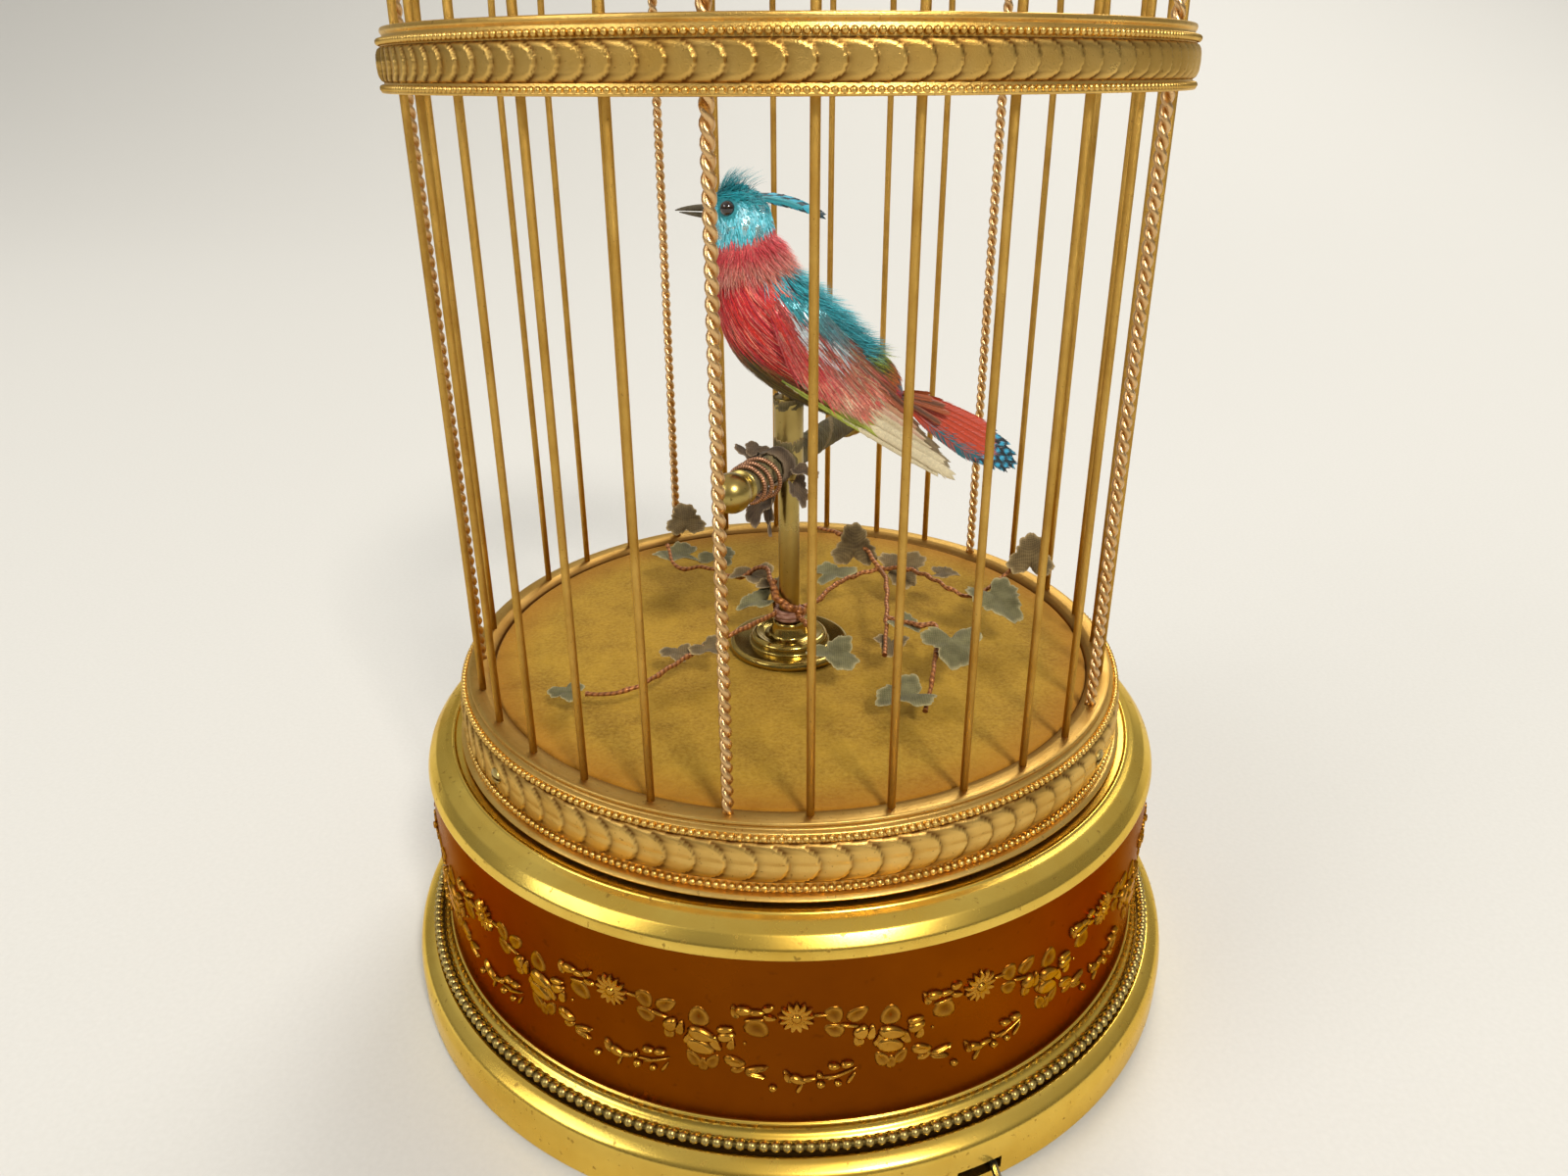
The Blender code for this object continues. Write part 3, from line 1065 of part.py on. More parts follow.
def levers():
    cam_lever("piston_lever", PISTON_PIVOT, PISTON_TIP, PISTON_END, CAM_Z, WHISTLE_Z + LEVER_THICKNESS)
    cam_lever("head_lever", HEAD_PIVOT, HEAD_TIP, HEAD_END, CAM_Z + CAM_PITCH,
              HEAD_CRANK_Z + LEVER_THICKNESS)
    metal = steel("beak_lever_steel")
    back = BEAK_PIVOT - Vector((LEVER_TAIL, 0, 0))
    made = plate("beak_lever", capsule(back, POST_AT, LEVER_WIDTH), LEVER_DECK,
                 LEVER_DECK + LEVER_THICKNESS, metal)
    eye = rod("beak_lever_eye", POST_AT, ROD_BORE + BOSS_WALL, LEVER_DECK,
              LEVER_DECK + LEVER_THICKNESS, metal, 12)
    join(made, eye)
    bore(made, POST_AT, ROD_DIAMETER / 2 + 2 * GAP, LEVER_DECK, LEVER_DECK + LEVER_THICKNESS, 8)
    nub = Vector((CAM_AT[0], POST_AT[1], 0))
    join(made, rod("beak_nub", nub, NUB_RADIUS, LEVER_DECK - NUB_DEPTH,
                   LEVER_DECK + LEVER_THICKNESS / 2, metal, 8))


def head_rod():
    """The wire that turns the head, with its crank at the foot."""
    metal = steel("head_rod_steel")
    made = swept("head_rod", [POST_AT + Vector((0, 0, HEAD_CRANK_Z)), POST_AT + Vector((0, 0, ROD_TOP))],
                 ROD_DIAMETER / 2, metal, 8)
    crank = capsule(POST_AT, HEAD_CRANK_END, CRANK_WIDTH)
    join(made, plate("head_rod_crank", crank, HEAD_CRANK_Z, HEAD_CRANK_Z + LEVER_THICKNESS, metal))


def beak_rod():
    """The tube round that wire, which lifts the beak and the tail."""
    metal = brass("beak_rod_brass")
    profile = [(TUBE_INNER, ROD_FOOT), (TUBE_OUTER, ROD_FOOT), (TUBE_OUTER, BEAK_ROD_TOP),
               (TUBE_INNER, BEAK_ROD_TOP)]
    turned("beak_rod", profile, metal, POST_AT, TUBE_SIDES, ring=True)


def stop_lever():
    """The start and stop lever: a bent wire that comes out through the plinth and, inwards, a
    brake pin that rises to the fan's rim."""
    metal = steel("stop_steel")
    outer = swept("stop_lever", [Vector((*STOP_PIVOT[:2], STOP_HEIGHT)), Vector((*STOP_TIP[:2],
                                                                                 STOP_HEIGHT))],
                  STOP_WIRE / 2, metal, 8)
    half = 0.36 * STOP_WIRE
    low = STOP_HEIGHT - half
    high = STOP_HEIGHT + half
    boss = STOP_PIN / 2 + LEVER_BOSS
    join_all(outer, [
        plate("stop_arm", capsule(STOP_PIVOT, BRAKE_AT, 2 * STOP_WIRE), low, high, metal),
        rod("stop_boss", STOP_PIVOT, boss, low - BOSS_PROUD, high + BOSS_PROUD, metal, 12),
        rod("brake_pin", BRAKE_AT, STOP_WIRE / 2, STOP_HEIGHT, FAN_Z + FAN_HEIGHT / 2, metal, 8),
        rod("stop_pin", STOP_PIVOT, STOP_PIN / 2, STOP_HEIGHT, BASE_PLATE_TOP + GAP, metal, 10),
    ])


# The bird's shapes as shares: along the back, down, half height and half width of the girth
BODY_SHAPE = ((0.0, 0.0, 0.633, 0.633), (0.04, 0.22, 0.755, 0.775), (0.155, 0.445, 0.94, 0.90),
              (0.33, 0.67, 1.0, 0.94), (0.54, 0.86, 0.88, 0.82), (0.765, 0.985, 0.63, 0.61),
              (0.93, 0.995, 0.44, 0.47), (1.0, 1.0, 0.33, 0.38))
HEAD_SHAPE = ((0.0, 0.0, 1.0), (-0.03, 0.21, 0.93), (-0.10, 0.51, 0.83), (-0.145, 0.73, 0.76),
              (-0.196, 0.90, 0.55), (-0.22, 1.0, 0.23))
WING_SHAPE = ((0.0, 0.0, 0.30, 0.84), (0.034, 0.14, 0.79, 0.98), (0.148, 0.30, 1.0, 0.98),
              (0.284, 0.42, 0.85, 0.74), (0.443, 0.555, 0.64, 0.46), (0.60, 0.69, 0.36, 0.34),
              (0.686, 0.745, 0.12, 0.30))
TAIL_SHAPE = ((0.0, 0.52), (0.22, 0.86), (0.55, 1.0), (0.82, 0.86), (1.0, 0.40))
NECK_AT = POST_AT - Vector((NECK_BEFORE_POST, 0, 0))
TAIL_SLOPE = Vector((0.84, 0.0, -0.5426)).normalized()
TAIL_GAP = 0.0009


def body_point(along, down):
    return NECK_AT + Vector((along * BIRD_LENGTH, 0.0, NECK_TOP - down * BIRD_DROP))


def bird_body():
    """The body swells from the neck to the breast and tapers to the rump."""
    points = [body_point(along, down) for along, down, _, _ in BODY_SHAPE]
    stations = []
    for i, (_, _, high, wide) in enumerate(BODY_SHAPE):
        ahead = points[min(i + 1, len(points) - 1)] - points[max(i - 1, 0)]
        if i == 0:
            ahead = Vector((0, 0, -1))
        if i == len(points) - 1:
            ahead = TAIL_SLOPE
        stations.append((points[i], ahead.normalized(), wide * BIRD_GIRTH, high * BIRD_GIRTH))
    made = lofted("bird_body", stations, finish("breast_feathers", (0.55, 0.05, 0.06), 0.8, 0.0), 16)
    cut(made, rod("sleeve_socket", POST_AT, SLEEVE_DIAMETER / 2 + 2 * GAP, SLEEVE_TOP - 0.02,
                  SLEEVE_TOP + GAP,
                  made.data.materials[0], 12))
    cut(made, rod("rod_socket", POST_AT, 1.06 * ROD_BORE, SLEEVE_TOP - 0.01, ROD_TOP + 2 * GAP,
                  made.data.materials[0], 10))
    cut(made, rod("neck_socket", NECK_AT, NECK_STUB / 2 + RUNNING, NECK_TOP - NECK_STUB_LENGTH - GAP,
                  NECK_TOP + 2 * OVERRUN, made.data.materials[0], 12))


def head_point(along, up, aside=0.0):
    return NECK_AT + Vector((along * HEAD_HEIGHT, aside, HEAD_BOTTOM + up * HEAD_HEIGHT))


def eye_point(side):
    """An eye's middle, just inside the head's surface."""
    return head_point(-0.30, 0.70, side * 0.66 * NECK_RADIUS)


def ball(name, centre, radius, material, segments=12):
    bm = bmesh.new()
    place = Matrix.Translation(centre) @ Matrix.Rotation(math.pi / 2, 4, "X")
    bmesh.ops.create_uvsphere(bm, u_segments=segments, v_segments=segments // 2, radius=radius,
                              matrix=place)
    return from_bmesh(name, bm, material)


def bird_head():
    """The head on its neck pivot, with the upper half of the beak."""
    stations = []
    for along, up, share in HEAD_SHAPE:
        stations.append((head_point(along, up), Vector((0, 0, 1)), share * NECK_RADIUS,
                         share * NECK_RADIUS))
    made = lofted("bird_head", stations, finish("head_feathers", (0.10, 0.55, 0.60), 0.7, 0.1), 14)
    join(made, rod("neck_stub", NECK_AT, NECK_STUB / 2, NECK_TOP - NECK_STUB_LENGTH,
                   HEAD_BOTTOM + NECK_STUB_LENGTH / 2,
                   made.data.materials[0], 10))
    root = BEAK_HINGE + Vector((0.58 * BEAK_ROOT, 0, 0.58 * BEAK_ROOT))
    tip = BEAK_HINGE + Vector((-BEAK_LENGTH, 0, 0.42 * BEAK_ROOT))
    along = (tip - root).normalized()
    beak = [(root, along, 0.48 * BEAK_ROOT, 0.30 * BEAK_ROOT),
            ((root + tip) / 2, along, 0.32 * BEAK_ROOT, 0.22 * BEAK_ROOT),
            (tip, along, 0.08 * BEAK_ROOT, 0.08 * BEAK_ROOT)]
    join(made, lofted("upper_beak", beak, made.data.materials[0], 8))
    for side in (-1, 1):
        cut(made, ball(f"eye_socket_{side}", eye_point(side), EYE_DIAMETER / 2 + 1.4 * GAP,
                       made.data.materials[0]))


BEAK_HINGE = head_point(-0.60, 0.55)


def lower_beak():
    root = BEAK_HINGE - Vector((0, 0, GAP / 2))
    tip = BEAK_HINGE + Vector((-0.90 * BEAK_LENGTH, 0, 0.0))
    along = (tip - root).normalized()
    stations = [(root, along, 0.40 * BEAK_ROOT, 0.18 * BEAK_ROOT),
                ((root + tip) / 2, along, 0.28 * BEAK_ROOT, 0.15 * BEAK_ROOT),
                (tip, along, 0.08 * BEAK_ROOT, 0.07 * BEAK_ROOT)]
    lofted("lower_beak", stations, finish("beak_horn", (0.08, 0.06, 0.04), 0.4, 0.0), 8)


def eyes():
    for name, side in (("left_eye", -1), ("right_eye", 1)):
        ball(name, eye_point(side), EYE_DIAMETER / 2, finish(f"{name}_glass", (0.01, 0.01, 0.01), 0.05,
                                                             0.0), 10)


def crest_feather():
    start = head_point(CREST_ROOT, 0.86)
    slope = Vector((0.96, 0, -0.28)).normalized()
    thin = CREST_WIDTH / 2
    stations = [(start, slope, 0.55 * thin, 0.55 * thin),
                (start + slope * 0.4 * CREST_LENGTH, slope, 0.65 * thin, thin),
                (start + slope * CREST_LENGTH, slope, 0.27 * thin, 0.27 * thin)]
    lofted("crest_feather", stations, finish("crest", (0.03, 0.25, 0.32), 0.6, 0.0), 6)


def wing(name, side):
    """A long blade from the shoulder to the wing tip, lying just outside the body."""
    stations = []
    shoulder = body_point(0.25, 0.23)
    points = [shoulder + Vector((along * WING_LENGTH, 0, -down * WING_LENGTH)) for along, down, _,
              _ in WING_SHAPE]
    for i, (_, _, wide, out) in enumerate(WING_SHAPE):
        ahead = (points[min(i + 1, len(points) - 1)] - points[max(i - 1, 0)]).normalized()
        aside = out * BIRD_GIRTH + WING_THICKNESS / 2 - WING_TUCK
        centre = points[i] + Vector((0, side * aside, 0))
        stations.append((centre, ahead, WING_THICKNESS / 2, wide * WING_WIDTH / 2))
    lofted(name, stations, finish(f"{name}_feathers", (0.55, 0.10, 0.07), 0.6, 0.0), 10)


def bird_tail():
    """The tail swings on a pin across the rump."""
    stations = []
    for along, high in TAIL_SHAPE:
        centre = TAIL_HINGE + TAIL_SLOPE * along * TAIL_LENGTH
        stations.append((centre, TAIL_SLOPE, TAIL_THICKNESS / 2 * high, high * TAIL_WIDTH / 2))
    lofted("bird_tail", stations, finish("tail_feathers", (0.60, 0.10, 0.03), 0.7, 0.0), 10)


TAIL_HINGE = body_point(1.0, 1.0) + TAIL_SLOPE * TAIL_GAP


def leaf(name, at, heading, tilt, size, material):
    """A three-lobed cloth leaf, flat, turned to its heading and tilted along it."""
    lobes = ((0.0, -0.10), (0.35, -0.42), (0.62, -0.50), (0.66, -0.20), (1.0, -0.16), (1.0, 0.16),
             (0.66, 0.20), (0.62, 0.50), (0.35, 0.42), (0.0, 0.10))
    made = plate(name, [(x * size, y * size) for x, y in lobes], -LEAF_THICKNESS / 2,
                 LEAF_THICKNESS / 2, material)
    turn = Matrix.Rotation(math.radians(heading), 4, "Z") @ Matrix.Rotation(math.radians(-tilt), 4, "Y")
    made.data.transform(Matrix.Translation(at) @ turn)
    return made


def above_floor(x, y, height):
    """A point of a vine's route, in the vines' unit from the cage's middle and above the velvet."""
    return Vector((x * VINE_UNIT, y * VINE_UNIT, FLOOR_TOP + height * VINE_UNIT))


# Routes of the floor vines, each from the wrap at the post's foot, with heights above the velvet
VINE_ROUTES = (
    ((-2.6, -4.3, 7.6), (-9.9, -11.8, 7.4), (-15.5, -15.5, 6.4), (-21.3, -22.5, 5.9), (-26.7, -29.1, 5.4),
     (-32.0, -30.3, 4.4), (-36.4, -29.4, 3.9)),
    ((-2.6, -1.7, 7.6), (-5.0, 9.6, 11.4), (-10.8, 11.2, 8.4), (-17.5, 16.5, 8.4), (-24.0, 16.6, 8.4),
     (-26.5, 22.0, 11.4)),
    ((2.6, -1.7, 7.6), (5.9, 2.0, 7.4), (8.2, 5.2, 8.4), (12.6, 11.0, 8.4), (19.1, 13.1, 9.4),
     (24.5, 10.8, 10.4), (29.0, 6.5, 10.4), (33.3, 2.0, 9.4), (37.4, 1.7, 8.4), (42.5, 4.7, 10.4),
     (47.0, 7.0, 13.4)),
    ((19.1, 13.1, 9.4), (15.2, 20.8, 12.4), (8.9, 27.7, 12.4), (4.4, 29.8, 12.4)),
    ((19.1, 13.1, 9.4), (19.8, 4.9, 10.4), (18.9, -8.2, 8.4), (17.7, -19.7, 6.4)),
    ((18.9, -8.2, 8.4), (24.4, -11.1, 8.4), (28.2, -12.6, 8.4), (25.9, -26.7, 7.4), (25.0, -30.5, 5.4),
     (23.6, -35.2, 3.6)),
    ((1.7, -5.4, 7.6), (4.4, -11.8, 7.6)),
)
# Leaves: place on a route in the vines' unit, heading, tilt and size as a share of the usual length
VINE_LEAVES = (
    (-15.5, -15.5, 6.4, 100.0, 10.0, 0.8), (-36.4, -29.4, 3.9, 170.0, 0.0, 0.7),
    (-10.8, 11.2, 8.4, 150.0, 10.0, 0.9), (-17.5, 16.5, 8.4, 60.0, 10.0, 0.9),
    (-24.0, 16.6, 8.4, 200.0, 0.0, 1.0), (-26.5, 22.0, 11.4, 100.0, 50.0, 0.9),
    (-5.0, 9.6, 11.4, 190.0, -15.0, 0.8), (12.6, 11.0, 8.4, 150.0, 20.0, 1.0),
    (19.1, 13.1, 9.4, 20.0, 10.0, 1.0), (8.9, 27.7, 12.4, 0.0, 10.0, 1.1),
    (37.4, 1.7, 8.4, -60.0, -5.0, 1.2), (47.0, 7.0, 13.4, 60.0, 50.0, 0.8),
    (19.8, 4.9, 10.4, -60.0, 0.0, 0.7), (28.2, -12.6, 8.4, -80.0, 0.0, 1.3),
    (25.9, -26.7, 7.4, 200.0, 0.0, 1.0), (4.4, -11.8, 7.6, -50.0, -15.0, 1.0),
)


def floor_vine():
    """Copper wires wrapped round the post's foot, spreading over the velvet, with cloth leaves."""
    cloth = finish("leaf_cloth", (0.25, 0.24, 0.17), 0.9, 0.0)
    foot = FLOOR_TOP + GAP + FLANGE_HEIGHT + GAP
    inner = (POST_DIAMETER / 2 + GAP) / math.cos(math.pi / 12)
    profile = [(inner, foot), (inner + WRAP_WALL, foot), (inner + WRAP_WALL, foot + WRAP_HEIGHT),
               (inner, foot + WRAP_HEIGHT)]
    made = turned("floor_vine", profile, cloth, POST_AT, 12, ring=True)
    parts = []
    for i, route in enumerate(VINE_ROUTES):
        path = [above_floor(*point) for point in route]
        parts.append(swept(f"stem_{i}", path, VINE_WIRE / 2, cloth, 4))
    for i, (x, y, height, heading, tilt, size) in enumerate(VINE_LEAVES):
        parts.append(leaf(f"leaf_{i}", above_floor(x, y, height), heading, tilt, size * LEAF_LENGTH, cloth))
    join_all(made, parts)


def arm_leaves():
    """A cuff of dark cloth round the branch beside the post, with leaves that stand and hang."""
    cloth = finish("cuff_cloth", (0.14, 0.11, 0.08), 0.9, 0.0)
    inner = (ARM_DIAMETER / 2 + GAP) / math.cos(math.pi / 14)
    middle = -SLEEVE_DIAMETER / 2 - 1.5 * CUFF_HALF
    outer = inner + CUFF_WALL
    profile = [(inner, -CUFF_HALF), (outer, -1.1 * CUFF_HALF), (outer, 0.9 * CUFF_HALF), (inner, CUFF_HALF)]
    made = turned("arm_leaves", profile, cloth, sides=14, ring=True)
    angle = math.radians(ARM_DIRECTION)
    lie = Matrix.Rotation(angle, 4, "Z") @ Matrix.Rotation(math.pi / 2, 4, "Y")
    made.data.transform(Matrix.Translation(arm_point(middle)) @ lie)
    edge = inner + GAP
    join_all(made, [
        leaf("hanging_leaf", arm_point(middle, 0, -edge), 190.0, -80.0, 1.2 * LEAF_LENGTH, cloth),
        leaf("left_leaf", arm_point(middle, edge, 0), 160.0, 30.0, 0.6 * LEAF_LENGTH, cloth),
        leaf("right_leaf", arm_point(middle, -edge, 0), -20.0, -10.0, 0.6 * LEAF_LENGTH, cloth),
    ])


def set_origin(name, point):
    """Puts a piece's origin on its joint, and leaves its shape where it is."""
    piece = bpy.data.objects[name]
    piece.data.transform(Matrix.Translation(-point))
    piece.location = point


def set_origins():
    """Every moving piece turns or slides about its own origin."""
    board_hinge = Vector((BELLOWS_RIGHT, BELLOWS_FRONT + BELLOWS_BOARD / 2, BELLOWS_Z))
    head = Vector((NECK_AT.x, NECK_AT.y, HEAD_BOTTOM))
    places = {
        "hanging_ring": Vector((0, 0, EYE_HEIGHT)),
        "winding_arbor": BARREL_AT,
        "winding_key": BARREL_AT,
        "spring_barrel": BARREL_AT,
        "mainspring": BARREL_AT,
        "click": CLICK_PIVOT + Vector((0, 0, CLICK_Z)),
        "cam_stack": CAM_AT,
        "crank_arbor": CRANK_AT,
        "fan_governor": FAN_AT,
        "bellows_moving_board": board_hinge,
        "connecting_rod": Vector((CRANK_AT.x, BELLOWS_FRONT - LUG_REACH, ROD_Z)),
        "piston_lever": PISTON_PIVOT + Vector((0, 0, CAM_Z)),
        "whistle_piston": Vector((WHISTLE_LEFT, WHISTLE_Y, WHISTLE_Z)),
        "head_lever": HEAD_PIVOT + Vector((0, 0, CAM_Z + CAM_PITCH)),
        "head_rod": POST_AT,
        "beak_lever": BEAK_PIVOT + Vector((0, 0, LEVER_DECK)),
        "beak_rod": POST_AT,
        "stop_lever": STOP_PIVOT + Vector((0, 0, STOP_HEIGHT)),
        "bird_head": head,
        "left_eye": head,
        "right_eye": head,
        "crest_feather": head,
        "lower_beak": BEAK_HINGE,
        "bird_tail": TAIL_HINGE,
    }
    for name, point in places.items():
        set_origin(name, point)


def main():
    clear_scene()
    for build in (base_felt, plinth, base_bead_ring, base_plate, drum_shell, cage_base_ring, floor_disc,
                  upper_band, cage_wires, crown_finial, hanging_ring, post_flange, perch_post, perch_arm,
                  arm_coil, arm_leaves, floor_vine, bird_body, bird_head, lower_beak, eyes, crest_feather,
                  bird_tail, lower_plate, upper_plate, spring_barrel, mainspring, winding_arbor,
                  winding_key, click, cam_stack, crank_arbor, fan_governor, bellows, connecting_rod,
                  wind_chest, whistle, levers, head_rod, beak_rod, stop_lever):
        build()
    arm_finial("front_ball", -ARM_FRONT, -1)
    arm_finial("back_ball", ARM_BACK, 1)
    wing("left_wing", -1)
    wing("right_wing", 1)
    set_origins()


main()
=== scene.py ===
# %% [markdown]
# # A singing bird in a brass cage
# This notebook dresses a finished model: a round brass cage with a feathered bird. The solids come
# from a frame that must not move, so every piece below sits where a solid sits. The shapes are
# worked out with numpy as whole arrays, because a turned ring or a feather is a formula first and a
# mesh second.

# %% Load the frame
import json
import math

import bmesh
import bpy
import numpy as np
from mathutils import Matrix, Vector


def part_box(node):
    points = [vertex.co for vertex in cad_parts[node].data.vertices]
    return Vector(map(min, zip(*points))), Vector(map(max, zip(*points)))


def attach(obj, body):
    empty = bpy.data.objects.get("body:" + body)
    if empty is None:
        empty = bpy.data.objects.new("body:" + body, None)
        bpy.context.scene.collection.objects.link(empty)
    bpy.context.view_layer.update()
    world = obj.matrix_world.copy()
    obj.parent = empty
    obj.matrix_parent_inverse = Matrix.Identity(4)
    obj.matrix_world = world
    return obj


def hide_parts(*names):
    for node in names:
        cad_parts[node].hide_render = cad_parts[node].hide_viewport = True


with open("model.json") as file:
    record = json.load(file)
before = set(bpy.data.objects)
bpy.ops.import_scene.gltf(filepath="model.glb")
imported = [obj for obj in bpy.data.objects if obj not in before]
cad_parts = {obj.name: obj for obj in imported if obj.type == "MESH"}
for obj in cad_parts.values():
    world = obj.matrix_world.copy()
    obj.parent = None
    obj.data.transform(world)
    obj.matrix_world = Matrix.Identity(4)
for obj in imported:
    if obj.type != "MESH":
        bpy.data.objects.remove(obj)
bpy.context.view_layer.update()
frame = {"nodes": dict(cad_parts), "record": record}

scene = bpy.context.scene
TURN = math.tau
MM = 0.001

# %% [markdown]
# ## Surfaces from arrays
# Every piece here is a grid of points: one direction goes along a profile, the other goes round or
# across. A grid is easy to compute in one step and gives clean square faces. The helper below turns
# such a grid into a mesh, and joins its edges where a shape closes on itself.

# %% Grid to mesh
def new_piece(name, points, faces, material=None, uv=None, smooth=35.0, tone=None):
    """A mesh object at the origin from (n, 3) points and (m, 4) faces. uv and tone hold one value
    per point: a place on the surface, and a light or dark mark that the finish reads."""
    mesh = bpy.data.meshes.new(name)
    points = np.asarray(points, np.float32)
    faces = np.asarray(faces, np.int32)
    sides = faces.shape[1]
    mesh.vertices.add(len(points))
    mesh.vertices.foreach_set("co", points.ravel())
    mesh.loops.add(faces.size)
    mesh.loops.foreach_set("vertex_index", faces.ravel())
    mesh.polygons.add(len(faces))
    mesh.polygons.foreach_set("loop_start", np.arange(len(faces), dtype=np.int32) * sides)
    mesh.update(calc_edges=True)
    if uv is not None:
        layer = mesh.uv_layers.new(name="place")
        layer.data.foreach_set("uv", np.asarray(uv, np.float32)[faces.ravel()].ravel())
    if tone is not None:
        mark = mesh.attributes.new("tone", "FLOAT", "POINT")
        mark.data.foreach_set("value", np.asarray(tone, np.float32).ravel())
    mesh.validate()
    mesh.shade_smooth()
    mesh.set_sharp_from_angle(angle=math.radians(smooth))
    made = bpy.data.objects.new(name, mesh)
    scene.collection.objects.link(made)
    if material is not None:
        mesh.materials.append(material)
    return made


def grid_faces(rows, columns, close_rows=False, close_columns=False):
    """Square faces between neighbours of a rows by columns grid. A closed direction also joins its
    last line to its first."""
    r = np.arange(rows if close_rows else rows - 1)
    c = np.arange(columns if close_columns else columns - 1)
    r, c = np.meshgrid(r, c, indexing="ij")
    r2 = (r + 1) % rows
    c2 = (c + 1) % columns
    quads = np.stack([r * columns + c, r * columns + c2, r2 * columns + c2, r2 * columns + c], -1)
    return quads.reshape(-1, 4)


def tidy_mesh(piece):
    """Merges points that share a place, drops faces without area and turns the rest outwards."""
    bm = bmesh.new()
    bm.from_mesh(piece.data)
    bmesh.ops.remove_doubles(bm, verts=bm.verts, dist=1e-6)
    bmesh.ops.dissolve_degenerate(bm, edges=bm.edges, dist=1e-7)
    bmesh.ops.recalc_face_normals(bm, faces=bm.faces)
    bm.to_mesh(piece.data)
    bm.free()
    piece.data.update()
    return piece


def circle(count):
    """Angles once round in even steps."""
    return np.arange(count) * TURN / count


def surface(name, grid, material, close_rows=False, smooth=35.0, tone=None):
    """A tidy mesh from (rows, columns, 3) points, in which each row is closed like a hoop."""
    faces = grid_faces(*grid.shape[:2], close_rows, True)
    return tidy_mesh(new_piece(name, grid.reshape(-1, 3), faces, material, smooth=smooth, tone=tone))


# %% [markdown]
# Turned brass is a profile spun round an axis, so one helper spins profiles. Sharp computed corners
# look false, because a polisher's wheel rounds every edge, so a second helper rounds a profile's
# corners before it is spun.

# %% Turned shapes
def turned(name, profile, material, sides=192, centre=(0.0, 0.0), ring=False, smooth=35.0, tone=None):
    """Spins a profile: x = cx + r cos t, y = cy + r sin t, z = h, with t going once round. A ring's
    profile closes on itself, any other starts and ends on the axis."""
    profile = np.asarray(profile, float)
    t = circle(sides)
    r, h = profile[:, :1], profile[:, 1:]
    grid = np.stack([centre[0] + r * np.cos(t), centre[1] + r * np.sin(t),
                     np.broadcast_to(h, (len(profile), sides))], -1)
    marks = None if tone is None else np.repeat(np.asarray(tone, float), sides)
    return surface(name, grid, material, ring, smooth, marks)


def rounded(profile, radius):
    """Rounds each inner corner of a profile: the corner gives way to a curve between points at the
    radius's distance along both edges, (1-s)^2 a + 2 s (1-s) corner + s^2 b."""
    profile = np.asarray(profile, float)
    out = [profile[0]]
    s = np.linspace(0, 1, 5)[:, None]
    for before, corner, after in zip(profile, profile[1:], profile[2:]):
        back = before - corner
        on = after - corner
        reach = min(radius, 0.45 * np.linalg.norm(back), 0.45 * np.linalg.norm(on))
        a = corner + back / np.linalg.norm(back) * reach
        b = corner + on / np.linalg.norm(on) * reach
        out.extend((1 - s) ** 2 * a + 2 * s * (1 - s) * corner + s ** 2 * b)
    out.append(profile[-1])
    return np.array(out)


# %% [markdown]
# Many details repeat hundreds of times: beads, pressed leaves, feathers. One small shape is copied
# to every place by a single array product, which keeps the mesh in one object and costs no time.

# %% Repeats
def repeated(name, shape, faces, frames, places, material, smooth=60.0):
    """Copies a small shape: every copy is places + frames @ shape, for (k, 3, 3) frames whose
    columns are the copy's own x, y and z directions."""
    points = np.einsum("kij,nj->kni", frames, shape) + places[:, None, :]
    starts = np.arange(len(places))[:, None, None] * len(shape)
    quads = (starts + faces[None]).reshape(-1, faces.shape[1])
    return new_piece(name, points.reshape(-1, 3), quads, material, smooth=smooth)


def join_pieces(name, pieces):
    """One object from several, with every mesh's own marks kept."""
    with bpy.context.temp_override(active_object=pieces[0], selected_editable_objects=pieces,
                                   object=pieces[0], selected_objects=pieces):
        bpy.ops.object.join()
    pieces[0].name = name
    pieces[0].data.name = name
    return pieces[0]


def stand_in(piece, node_name, body="base"):
    """Lets a piece take a solid's place: it replaces the node and rides on the body given."""
    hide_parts(node_name)
    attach(piece, body)
    return piece


# %% [markdown]
# A wire is a circle carried along a path. A circle that simply kept upright would twist where the
# path turns over, so each ring's direction is taken from the one before it.

# %% Wires
def unit(vectors):
    """The same directions with length one."""
    return vectors / np.maximum(np.linalg.norm(vectors, axis=-1, keepdims=True), 1e-12)


def along_path(path):
    """Directions along a path of points, and two directions across it that turn as little as they
    can: each side direction is the one before with its part along the path taken off."""
    ahead = unit(np.gradient(path, axis=0))
    side = np.zeros_like(path)
    side[0] = np.cross(ahead[0], (0, 0, 1.0))
    if np.linalg.norm(side[0]) < 0.1:
        side[0] = np.cross(ahead[0], (0, 1.0, 0))
    side[0] = unit(side[0])
    for i in range(1, len(path)):
        side[i] = unit(side[i - 1] - ahead[i] * np.dot(side[i - 1], ahead[i]))
    return ahead, side, np.cross(ahead, side)


def distances(path):
    """How far along a path each of its points lies."""
    return np.concatenate([[0], np.cumsum(np.linalg.norm(np.diff(path, axis=0), axis=1))])


def even_points(path, count=None, spacing=None):
    """The same line with points at even distances, and those distances along it."""
    run = distances(path)
    at = np.linspace(0, run[-1], count or int(run[-1] / spacing))
    return np.stack([np.interp(at, run, path[:, k]) for k in range(3)], -1), at


